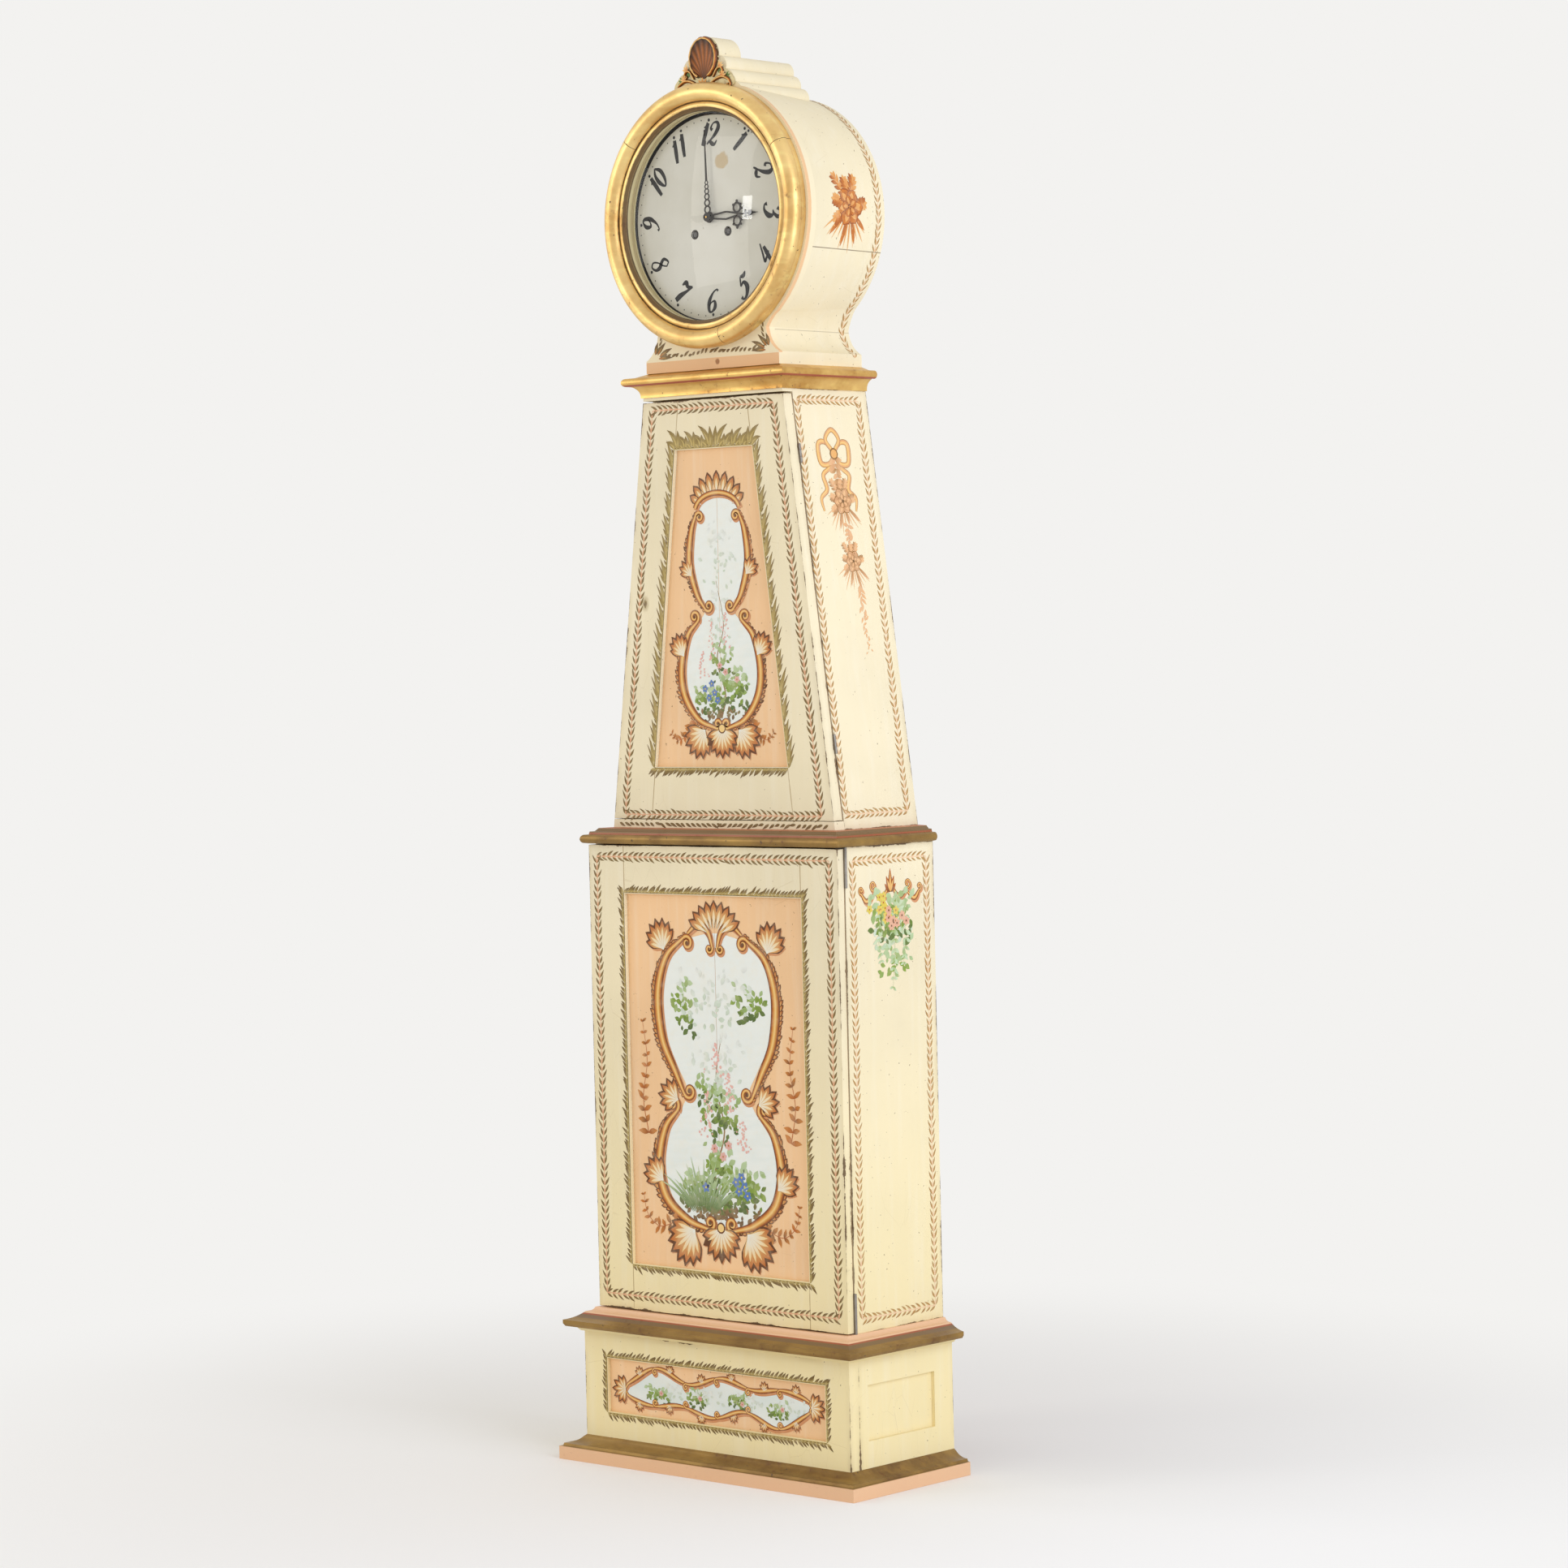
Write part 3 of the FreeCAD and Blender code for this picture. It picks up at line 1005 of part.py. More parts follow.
def plate_from(points, thickness):
    corners = [vector(x, 0, z) for x, z in points]
    return Part.Face(Part.makePolygon(corners + corners[:1])).extrude(vector(0, thickness, 0))


def minute_hand_shape():
    # A hub, graduated pierced loops and a long tapered tip, pointing up.
    length = value("minute_length")
    thickness = value("hand_thickness")
    hub = value("hand_collet")
    shape = ring_plate(0, 0, hub * 0.62, value("cannon_radius") * 0.95, thickness)
    way = hub * 0.5
    for index in range(6):
        outer = length * (0.05 - 0.005 * index)
        way += outer * 0.86
        shape = shape.fuse(ring_plate(0, way, outer, outer * 0.62, thickness))
        way += outer * 0.8
    half = length * 0.014
    tip = plate_from([(-half, way), (half, way), (half * 0.35, length), (-half * 0.35, length)], thickness)
    leaf_way = length * 0.86
    leaf = plate_from([(0, leaf_way - half * 5), (half * 1.6, leaf_way), (0, leaf_way + half * 5),
                       (-half * 1.6, leaf_way)], thickness)
    return shape.fuse(tip).fuse(leaf).removeSplitter()


def hour_hand_shape():
    # Two open stems from the hub, a pair of ringed volutes with beads, two crossbars and a leaf arrow,
    # pointing up.
    length = value("hour_length")
    thickness = value("hand_thickness")
    hub = value("hand_collet")
    shape = ring_plate(0, 0, hub * 0.75, value("hour_pipe_radius") * 0.97, thickness)
    spread = length * 0.055
    stem = length * 0.013
    volute_way = length * 0.57
    volute_side = length * 0.1
    beads = []
    for side in (-1, 1):
        shape = shape.fuse(plate_from([
            (side * stem, hub * 0.6), (side * (stem + 2 * stem), hub * 0.6), (side * (spread + stem), length * 0.34),
            (side * stem * 2.6, volute_way), (side * stem * 0.2, volute_way), (side * (spread - stem), length * 0.34),
        ], thickness))
        shape = shape.fuse(ring_plate(side * volute_side, volute_way, length * 0.085, length * 0.055, thickness))
        for across, along, size in ((1.98, 0, 0.022), (1.45, 0.075, 0.019), (1.45, -0.075, 0.019),
                                    (0.85, 0.095, 0.019), (0.4, 0.175, 0.018), (0.32, 0.24, 0.015)):
            beads.append((side * volute_side * across, volute_way + length * along, length * size))
    neck = plate_from([(-stem, volute_way), (stem, volute_way), (stem, length * 0.86), (-stem, length * 0.86)],
                      thickness)
    leaf = plate_from([(0, length * 0.78), (length * 0.045, length * 0.85), (length * 0.015, length * 0.88),
                       (0, length), (-length * 0.015, length * 0.88), (-length * 0.045, length * 0.85)], thickness)
    shape = shape.fuse(neck).fuse(leaf)
    for along, half in ((0.175, 0.04), (0.24, 0.032)):
        bar = volute_way + length * along
        shape = shape.fuse(plate_from([(-length * half, bar - stem * 0.6), (length * half, bar - stem * 0.6),
                                       (length * half, bar + stem * 0.6), (-length * half, bar + stem * 0.6)],
                                      thickness))
    for x, z, radius in beads:
        shape = shape.fuse(Part.makeCylinder(radius, thickness, vector(x, 0, z), vector(0, 1, 0)))
    return shape.removeSplitter()


def build_hands(centre):
    at = (0.0, centre)
    stud = (0.0, centre - value("motion_drop"))
    wall = value("wheel_wall")
    play = value("running_play")
    arbor = value("arbor_radius")
    motion_y = -value("motion_wheel_y")
    hour_y = -value("hour_wheel_y")
    down = -math.pi / 2

    cannon_teeth, minute_teeth, minute_leaves, hour_teeth = 20, 60, 12, 48
    fine = module_between(at, stud, cannon_teeth, minute_teeth)
    coarse = module_between(at, stud, hour_teeth, minute_leaves)
    pipe_length = value("minute_hand_front") - value("hand_thickness") - value("motion_wheel_y") + wall
    cannon = Part.makeCylinder(value("cannon_radius"), pipe_length + wall, vector(0, 0, 0), vector(0, 1, 0))
    leaves = pinion_shape(cannon_teeth, fine, down, wall)
    leaves.translate(vector(0, pipe_length - wall, 0))
    cannon = cannon.fuse(leaves)
    cannon = cannon.cut(Part.makeCylinder(arbor + play, pipe_length + wall, vector(), vector(0, 1, 0)))
    hand_back = -(value("minute_hand_front") - value("hand_thickness"))
    cannon_piece = wheel_at("cannon_pinion", at, hand_back, cannon)
    minute_shape = minute_hand_shape()
    blade = shaped("minute_blade", minute_shape)
    blade.Placement = FreeCAD.Placement(vector(0, -value("minute_hand_front"), centre),
                                        FreeCAD.Rotation(vector(0, 1, 0), -value("minute_lead")))
    collet = rod("minute_collet", "hand_collet*0.6", "collet_height", "0",
                 "-(minute_hand_front + collet_height)", centre_z)
    collet_bored = cut("minute_collet_bored", collet,
                       rod("collet_bore", "arbor_radius + running_play", "collet_height + 2*overrun", "0",
                           "-(minute_hand_front + collet_height + overrun)", centre_z))
    minute = group("minute_hand", blade, collet_bored, cannon_piece)

    hour_pipe_length = value("hour_hand_front") - value("hand_thickness") - value("hour_wheel_y")
    pipe = Part.makeCylinder(value("hour_pipe_radius"), hour_pipe_length, vector(), vector(0, 1, 0))
    pipe_bore = value("cannon_radius") + play
    hour_gear = wheel_shape(hour_teeth, coarse, down, wall, pipe_bore)
    hour_gear.translate(vector(0, hour_pipe_length, 0))
    pipe = pipe.fuse(hour_gear)
    pipe = pipe.cut(Part.makeCylinder(pipe_bore, hour_pipe_length + wall, vector(), vector(0, 1, 0)))
    hour_wheel = wheel_at("hour_wheel", at, -(value("hour_hand_front") - value("hand_thickness")), pipe)
    hour_shape = hour_hand_shape().cut(Part.makeCylinder(pipe_bore, value("hand_thickness"), vector(),
                                                         vector(0, 1, 0)))
    hour_blade = shaped("hour_blade", hour_shape)
    hour_blade.Placement = FreeCAD.Placement(vector(0, -value("hour_hand_front"), centre),
                                       FreeCAD.Rotation(vector(0, 1, 0), 90))

    up = math.pi / 2
    gear = wheel_shape(minute_teeth, fine, up + math.pi / minute_teeth, wall, arbor + play)
    small = pinion_shape(minute_leaves, coarse, up + math.pi / minute_leaves, motion_y - hour_y)
    small = small.cut(Part.makeCylinder(arbor + play, motion_y - hour_y, vector(), vector(0, 1, 0)))
    gear.translate(vector(0, motion_y, 0))
    small.translate(vector(0, hour_y, 0))
    minute_wheel = wheel_at("minute_wheel", stud, 0, gear.fuse(small))
    return [minute, group("hour_hand", hour_blade, hour_wheel), minute_wheel]


def build_trains(centre):
    front = -value("plate_front")
    back = -value("plate_front") + 2 * value("plate_wall") + value("plate_gap")
    middle = (0.0, centre)
    going = (value("barrel_x"), centre - value("barrel_drop"))
    strike = (-value("barrel_x"), centre - value("barrel_drop"))
    third = (-value("third_x"), centre + value("third_rise"))
    escape = (0.0, centre + value("escape_rise"))
    pin = (-value("pin_wheel_x"), centre + value("pin_wheel_rise"))
    wall = value("wheel_wall")
    great = value("great_wall")
    margin = value("pinion_margin")
    arbor = value("arbor_radius")
    great_bore = value("winding_radius") + value("running_play")

    great_teeth, centre_leaves = 96, 8
    first = module_between(going, middle, great_teeth, centre_leaves)
    to_centre = direction(going, middle)
    great_y = value("going_great_y")
    going_great = wheel_at("going_great_wheel", going, great_y,
                           wheel_shape(great_teeth, first, to_centre, great, great_bore))
    centre_phase = to_centre + math.pi + math.pi / centre_leaves

    centre_teeth, third_leaves = 60, 8
    second = module_between(middle, third, centre_teeth, third_leaves)
    to_third = direction(middle, third)
    centre_y = -value("centre_wheel_y")
    centre_arbor = arbor_with_pinion("centre_arbor", middle, -value("tip_length"), back, (
        centre_leaves, first, centre_phase, great_y - margin, great_y + great + margin / 2))
    centre_wheel = group("centre_wheel", centre_arbor,
                         wheel_at("centre_wheel_disc", middle, centre_y,
                                  wheel_shape(centre_teeth, second, to_third, wall, arbor)))

    third_teeth, escape_leaves = 56, 7
    last = module_between(third, escape, third_teeth, escape_leaves)
    to_escape = direction(third, escape)
    third_y = value("third_wheel_y")
    third_arbor = arbor_with_pinion("third_arbor", third, front, back, (
        third_leaves, second, to_third + math.pi + math.pi / third_leaves, centre_y - margin,
        centre_y + wall + margin))
    third_wheel = group("third_wheel", third_arbor,
                        wheel_at("third_wheel_disc", third, third_y,
                                 wheel_shape(third_teeth, last, to_escape, wall, arbor)))

    escape_arbor = arbor_with_pinion("escape_arbor", escape, front, back, (
        escape_leaves, last, to_escape + math.pi + math.pi / escape_leaves, third_y - margin,
        third_y + wall + margin))
    escape_wheel = group("escape_wheel", escape_arbor, escape_disc(escape, arbor, wall))

    strike_teeth, pin_leaves = 84, 8
    strike_module = module_between(strike, pin, strike_teeth, pin_leaves)
    to_pin = direction(strike, pin)
    strike_y = value("strike_great_y")
    strike_great = wheel_at("strike_great_wheel", strike, strike_y,
                            wheel_shape(strike_teeth, strike_module, to_pin, great, great_bore))
    pin_arbor = arbor_with_pinion("pin_wheel_arbor", pin, front, back, (
        pin_leaves, strike_module, to_pin + math.pi + math.pi / pin_leaves, strike_y - margin,
        strike_y + great + margin / 2))
    pin_wheel = group("strike_pin_wheel", pin_arbor, pin_disc(pin, arbor, wall))
    barrels = [barrel("going_barrel", going), barrel("strike_barrel", strike)]
    return [going_great, centre_wheel, third_wheel, escape_wheel, strike_great, pin_wheel] + barrels


def escape_disc(at, bore, wall):
    # Thirty raked teeth.
    teeth = 30
    tip = value("escape_radius")
    step = 2 * math.pi / teeth
    root = 0.82 * tip
    points = []
    for tooth in range(teeth):
        angle = tooth * step
        for radius, share in ((root, 0.0), (tip, 0.42), (tip, 0.5), (root, 0.62)):
            turn = angle + share * step
            points.append(vector(radius * math.cos(turn), 0, radius * math.sin(turn)))
    disc = Part.Face(Part.makePolygon(points + points[:1])).extrude(vector(0, wall, 0))
    disc = disc.cut(Part.makeCylinder(bore, wall, vector(), vector(0, 1, 0)))
    return wheel_at("escape_disc", at, value("escape_wheel_y"), disc)


def pin_disc(at, bore, wall):
    # A plain rim with eight lifting pins.
    rim = value("pin_wheel_radius")
    disc = Part.makeCylinder(rim, wall, vector(), vector(0, 1, 0))
    disc = disc.cut(Part.makeCylinder(bore, wall, vector(), vector(0, 1, 0)))
    circle = value("pin_circle")
    pins = 8
    for index in range(pins):
        angle = 2 * math.pi * index / pins
        centre = vector(circle * math.cos(angle), 0, circle * math.sin(angle))
        disc = disc.fuse(Part.makeCylinder(value("pin_radius"), wall + value("pin_length"), centre,
                                           vector(0, 1, 0)))
    return wheel_at("pin_disc", at, -value("pin_wheel_y"), disc)


def barrel(name, at):
    # A grooveless drum between flanges on a winding arbor that reaches the dial.
    low = -value("barrel_front")
    high = value("barrel_back")
    wall = value("flange_wall")
    y_axis = vector(0, 1, 0)
    back = -value("plate_front") + 2 * value("plate_wall") + value("plate_gap")
    start = -value("winding_front")
    shape = Part.makeCylinder(value("winding_radius"), back - start, vector(0, start, 0), y_axis)
    shape = shape.fuse(Part.makeCylinder(value("barrel_radius"), high - low, vector(0, low, 0), y_axis))
    for y in (low - wall, high):
        shape = shape.fuse(Part.makeCylinder(value("barrel_flange"), wall, vector(0, y, 0), y_axis))
    return wheel_at(name, at, 0, shape)


def build_anchor(centre):
    # Pallet arms above the escape wheel, drawn clear of its teeth, and the crutch behind the back plate.
    at_z = centre + value("anchor_rise")
    drop = value("anchor_rise") - value("escape_rise")
    half = value("pallet_half")
    reach = math.sqrt((value("escape_radius") + value("pallet_gap")) ** 2 - half ** 2)
    tip = -(drop - reach)
    arm = value("anchor_wall") / 2
    points = [(-half - arm, tip + arm / 2), (-half, tip), (-half + arm, tip + arm), (-arm, 0), (arm, 0),
              (half - arm, tip + arm), (half, tip), (half + arm, tip + arm / 2), (half, tip + 2 * arm),
              (arm, 2 * arm), (-arm, 2 * arm), (-half, tip + 2 * arm)]
    thickness = value("anchor_wall")
    plate = plate_from(points, thickness)
    plate.translate(vector(0, value("escape_wheel_y") - thickness / 4, 0))
    crutch_y = value("crutch_y")
    wall = value("crutch_wall")
    arbor_low = -value("plate_front")
    y_axis = vector(0, 1, 0)
    shape = Part.makeCylinder(value("arbor_radius"), crutch_y + wall - arbor_low, vector(0, arbor_low, 0), y_axis)
    shape = shape.fuse(plate)
    crutch_half = value("crutch_half")
    length = value("crutch_length")
    shape = shape.fuse(Part.makeBox(2 * crutch_half, wall, length + arm, vector(-crutch_half, crutch_y, -length)))
    gap = value("rod_radius + fork_play")
    fork = value("fork_height")
    prong_end = value("pendulum_y + rod_radius + crutch_half")
    bridge = Part.makeBox(2 * (gap + crutch_half), wall, fork, vector(-gap - crutch_half, crutch_y, -length))
    shape = shape.fuse(bridge)
    for side in (-1, 1):
        low = gap if side > 0 else -gap - crutch_half
        shape = shape.fuse(Part.makeBox(crutch_half, prong_end - crutch_y, fork, vector(low, crutch_y, -length)))
    return wheel_at("anchor", (0.0, at_z), 0, shape.removeSplitter())


def build_hammer(centre):
    # An arbor between the plates, an arm and a head beside the bell's rim.
    x = -value("hammer_x")
    low_z = value("hammer_rise")
    head_z = value("hammer_head_rise")
    y = value("bell_y")
    face_x = value("bell_x - bell_radius - hammer_gap")
    head = value("hammer_head_length")
    front = -value("plate_front")
    back = -value("plate_front") + 2 * value("plate_wall") + value("plate_gap")
    arbor = Part.makeCylinder(value("arbor_radius"), back - front, vector(x, front, low_z), vector(0, 1, 0))
    foot = vector(x, y, low_z)
    top = vector(face_x - head / 2, y, head_z)
    arm = Part.makeCylinder(value("hammer_arm"), (top - foot).Length, foot, top - foot)
    block_head = Part.makeCylinder(value("hammer_head"), head, vector(face_x - head, y, head_z), vector(1, 0, 0))
    return wheel_at("hammer", (0.0, centre), 0, arbor.fuse(arm).fuse(block_head))


def build_pendulum():
    y = "pendulum_y"
    spring = block("suspension_spring", ("-spring_wall/2", "spring_wall/2"),
                   ("pendulum_y - spring_width/2", "pendulum_y + spring_width/2"),
                   (anchor_z + " - spring_length", anchor_z))
    top = anchor_z + " - spring_length"
    head = block("rod_head", ("-rod_block", "rod_block"), ("pendulum_y - rod_block", "pendulum_y + rod_block"),
                 (top + " - rod_block_height", top))
    rod_low = "(%s - pendulum_length - bob_radius - rod_tail)" % anchor_z
    shaft = rod("rod_shaft", "rod_radius", "%s - rod_block_height - %s" % (top, rod_low), "0", y, rod_low, "z")
    bob_z = "(%s - pendulum_length)" % anchor_z
    swell = "(bob_half - %s)" % dome_rise("bob_radius", "(bob_half - bob_edge)", 0.5)
    disc = turned("bob_disc", "XY_Plane", [
        ("0", "-bob_half", ("bob_radius*0.5", "-" + swell)), ("bob_radius", "-bob_edge"),
        ("bob_radius", "bob_edge", ("bob_radius*0.5", swell)), ("0", "bob_half"),
    ], "0", y, bob_z)
    bore = rod("bob_bore", "rod_radius + bob_bore_play", "2*(bob_radius + overrun)", "0", y,
               "%s - bob_radius - overrun" % bob_z, "z")
    nut_low = "%s - bob_radius - nut_height - cock_gap" % bob_z
    nut = cut("rating_nut", rod("nut_blank", "nut_radius", "nut_height", "0", y, nut_low, "z"),
              rod("nut_bore", "rod_radius + bob_bore_play", "nut_height + 2*overrun", "0", y,
                  nut_low + " - overrun", "z"))
    bob = group("pendulum_bob", cut("bob_bored", disc, bore), nut)
    return [group("pendulum_rod", spring, fuse("rod_whole", head, shaft)), bob]


def build_weight(name, barrel_place):
    x = pulley_x(barrel_place)
    wheel_low = "line_y - pulley_half"
    bore = "pulley_pin + running_play"
    sheave = turned(name + "_pulley", "XY_Plane", [
        (bore, "-pulley_half"), ("pulley_radius", "-pulley_half"), ("pulley_groove", "-pulley_half/4"),
        ("pulley_groove", "pulley_half/4"), ("pulley_radius", "pulley_half"), (bore, "pulley_half"),
    ], x, "line_y", pulley_z)
    parts = []
    for tag, low in (("front", "%s - stirrup_play - stirrup_wall" % wheel_low),
                     ("back", "line_y + pulley_half + stirrup_play")):
        parts.append(block("%s_stirrup_%s" % (name, tag), (x + " - stirrup_half", x + " + stirrup_half"),
                           (low, low + " + stirrup_wall"),
                           (pulley_z + " - stirrup_drop", pulley_z + " + stirrup_half")))
    reach = "(pulley_half + stirrup_play + stirrup_wall)"
    parts.append(rod(name + "_pulley_pin", "pulley_pin", "2*" + reach, x, "line_y - " + reach, pulley_z))
    bridge_low = "%s - stirrup_drop - stirrup_bridge" % pulley_z
    parts.append(block(name + "_bridge", (x + " - stirrup_half", x + " + stirrup_half"),
                       ("line_y - " + reach, "line_y + " + reach), (bridge_low, bridge_low + " + stirrup_bridge")))
    weight_top = "(%s - hook_length)" % bridge_low
    parts.append(rod(name + "_hook", "hook_radius", "hook_length", x, "line_y", weight_top, "z"))
    hanger = fuse(name + "_hanger", *parts)
    weight = turned(name + "_body", "XZ_Plane", [
        ("0", weight_top), ("weight_radius - weight_shoulder", weight_top,
         ("weight_radius - weight_shoulder*0.3", weight_top + " - weight_shoulder*0.3")),
        ("weight_radius", weight_top + " - weight_shoulder"), ("weight_radius", weight_top + " - weight_height"),
        ("0", weight_top + " - weight_height"),
    ], x, "line_y", "0")
    return group(name + "_weight", hanger, weight), sheave


def line_shape(barrel_place):
    # Two upright strands under the seat board, joined round the pulley.
    radius = value("line_radius")
    turn = value("pulley_groove + line_play + line_radius")
    x = value(pulley_x(barrel_place))
    y = value("line_y")
    centre = value(pulley_z)
    rise = value("%s - (%s)" % (seat_z, pulley_z))
    half = Part.makeTorus(turn, radius, vector(x, y, centre), vector(0, 1, 0))
    room = 2 * turn
    shape = half.common(Part.makeBox(2 * room, 2 * room, room, vector(x - room, y - room, centre - room)))
    for side in (-1, 1):
        shape = shape.fuse(Part.makeCylinder(radius, rise, vector(x + side * turn, y, centre)))
    return shape.removeSplitter()


def build_lines():
    lines = []
    strands = []
    for name, place_text in (("going", "barrel_x"), ("strike", "-barrel_x")):
        lines.append(shaped(name + "_line", line_shape(place_text)))
        strands.append(rod(name + "_strand", "line_radius", "%s - %s" % (barrel_z, seat_z),
                           strand_x(place_text), "line_y", seat_z, "z"))
    return lines + [group("barrel_line_strands", *strands)]


def build_all():
    nodes = build_plinth() + build_trunk()
    case_leaves, lower_leaves, upper_leaves = build_hinges()
    nodes += build_lower_door(lower_leaves) + build_upper_door(upper_leaves)
    outer, hood = build_hood()
    nodes += hood + build_crest(outer)
    bezel, bezel_leaf = build_bezel()
    nodes += bezel
    nodes.append(group("case_hinge_leaves", *case_leaves, bezel_leaf))
    nodes += build_seat() + build_frame()
    nodes.append(build_dial())
    centre = value(centre_z)
    nodes += build_hands(centre) + build_trains(centre)
    nodes += [build_anchor(centre), build_hammer(centre)]
    nodes += build_pendulum()
    for name, place_text in (("going", "barrel_x"), ("strike", "-barrel_x")):
        nodes += build_weight(name, place_text)
    return nodes + build_lines()


nodes = build_all()
doc.recompute()
faults = [item.Label for item in doc.Objects if set(item.State) & {"Invalid", "Error"}]
for item in nodes:
    if item.Shape.isNull() or not item.Shape.isValid() or not item.Shape.Solids:
        faults.append(item.Label)
if faults:
    raise RuntimeError("these did not build: " + ", ".join(sorted(set(faults))))
for item in nodes:
    item.Shape.exportStep("parts/%s.step" % item.Label)
box = Part.makeCompound([item.Shape for item in nodes]).BoundBox
print(len(nodes), "nodes, box", [round(v, 2) for v in (box.XMin, box.XMax, box.YMin, box.YMax, box.ZMin, box.ZMax)])
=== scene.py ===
import math
import bpy
import numpy as np
from mathutils import Matrix, Vector


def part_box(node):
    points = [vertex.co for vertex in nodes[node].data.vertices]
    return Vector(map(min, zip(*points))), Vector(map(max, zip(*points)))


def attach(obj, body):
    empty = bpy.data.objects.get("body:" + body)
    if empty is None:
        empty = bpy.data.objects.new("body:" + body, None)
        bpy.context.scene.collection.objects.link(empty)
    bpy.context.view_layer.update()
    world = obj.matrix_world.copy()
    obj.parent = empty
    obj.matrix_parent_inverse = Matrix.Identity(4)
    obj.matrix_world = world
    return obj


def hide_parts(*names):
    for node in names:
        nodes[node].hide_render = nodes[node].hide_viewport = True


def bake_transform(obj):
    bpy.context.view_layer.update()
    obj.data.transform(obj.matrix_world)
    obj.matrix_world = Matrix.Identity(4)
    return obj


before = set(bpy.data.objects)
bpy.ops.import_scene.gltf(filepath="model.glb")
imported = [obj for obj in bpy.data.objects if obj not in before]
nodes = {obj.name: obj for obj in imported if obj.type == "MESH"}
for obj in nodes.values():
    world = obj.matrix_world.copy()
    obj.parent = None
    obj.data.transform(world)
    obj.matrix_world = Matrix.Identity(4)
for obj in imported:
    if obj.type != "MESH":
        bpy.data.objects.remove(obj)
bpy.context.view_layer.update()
print("frame loaded:", len(nodes), "nodes")

chance = np.random.default_rng(7)


def linear(red, green, blue):     # screen colour 0..255 to scene-linear, by the sRGB curve
    part = np.array([red, green, blue]) / 255.0
    return tuple(np.where(part <= 0.04045, part / 12.92, ((part + 0.055) / 1.055) ** 2.4))


# shader sums
class Value:                       # a socket that sums, products and powers can be written on
    def __init__(self, paint, socket):
        self.paint = paint
        self.socket = socket

    def math(self, operation, *others):
        return self.paint.node("ShaderNodeMath", {"operation": operation}, [self, *others])

    def flipped(self, operation, other):
        return self.paint.node("ShaderNodeMath", {"operation": operation}, [other, self])

    def __add__(self, other):
        return self.math("ADD", other)

    def __sub__(self, other):
        return self.math("SUBTRACT", other)

    def __rsub__(self, other):
        return self.flipped("SUBTRACT", other)

    def __mul__(self, other):
        return self.math("MULTIPLY", other)

    def __pow__(self, other):
        return self.math("POWER", other)

    def __abs__(self):
        return self.math("ABSOLUTE")

    __radd__ = __add__
    __rmul__ = __mul__

    def most(self, other):
        return self.math("MAXIMUM", other)

    def least(self, other):
        return self.math("MINIMUM", other)

    def rise(self, low, high):     # 0 below low, 1 above high, smooth between
        return self.paint.node("ShaderNodeMapRange", {"interpolation_type": "SMOOTHSTEP"},
                               {"Value": self, "From Min": low, "From Max": high})

    def fall(self, low, high):
        return 1.0 - self.rise(low, high)


class Paint:                       # one material round a Principled shader
    def __init__(self, name, **constants):
        self.material = bpy.data.materials.new(name)
        self.material.use_nodes = True
        self.tree = self.material.node_tree
        self.tree.nodes.clear()
        self.shader = self.tree.nodes.new("ShaderNodeBsdfPrincipled")
        self.output = self.tree.nodes.new("ShaderNodeOutputMaterial")
        self.tree.links.new(self.shader.outputs[0], self.output.inputs[0])
        for socket, amount in constants.items():
            self.shader.inputs[socket.replace("_", " ")].default_value = amount
        self.spot = self.node("ShaderNodeTexCoord", output="Object")

    def node(self, kind, settings=None, inputs=(), output=0):
        made = self.tree.nodes.new(kind)
        for key, setting in (settings or {}).items():
            setattr(made, key, setting)
        pairs = inputs.items() if isinstance(inputs, dict) else enumerate(inputs)
        for key, given in pairs:
            self.feed(made.inputs[key], given)
        return Value(self, made.outputs[output])

    def feed(self, socket, given):
        if isinstance(given, Value):
            self.tree.links.new(given.socket, socket)
        elif isinstance(given, (tuple, list)) and len(given) == 3 and socket.type == "RGBA":
            socket.default_value = (*given, 1.0)
        else:
            socket.default_value = given

    def axes(self):
        split = self.node("ShaderNodeSeparateXYZ", inputs=[self.spot])
        return [split] + [Value(self, split.socket.node.outputs[index]) for index in (1, 2)]

    def stretched(self, scale):
        return self.node("ShaderNodeMapping", inputs={"Vector": self.spot, "Scale": scale})

    def noise(self, scale, detail=3.0, rough=0.5, stretch=None):
        place = self.stretched(stretch) if stretch else self.spot
        return self.node("ShaderNodeTexNoise", inputs={"Vector": place, "Scale": scale, "Detail": detail,
                                                       "Roughness": rough})

    # to the nearest cell edge, or centre for F1
    def cells(self, scale, stretch=None, feature="DISTANCE_TO_EDGE"):
        place = self.stretched(stretch) if stretch else self.spot
        return self.node("ShaderNodeTexVoronoi", {"feature": feature}, {"Vector": place, "Scale": scale})

    def mix(self, factor, first, second):
        return self.node("ShaderNodeMix", {"data_type": "RGBA"}, {0: factor, 6: first, 7: second}, output=2)

    def bump(self, height, distance, strength=1.0):
        return self.node("ShaderNodeBump",
                         inputs={"Strength": strength, "Distance": distance, "Height": height})

    def finish(self, **links):
        for socket, given in links.items():
            self.feed(self.shader.inputs[socket.replace("_", " ")], given)
        return self.material


def mixShaders(tree, factor, first, second, target):
    mixed = tree.nodes.new("ShaderNodeMixShader")
    for at, socket in enumerate((factor, first, second)):
        tree.links.new(socket, mixed.inputs[at])
    tree.links.new(mixed.outputs[0], target)


def dress(material, *names):       # a CAD node takes a material in all its slots
    for name in names:
        mesh = nodes[name].data
        mesh.materials.clear()
        mesh.materials.append(material)


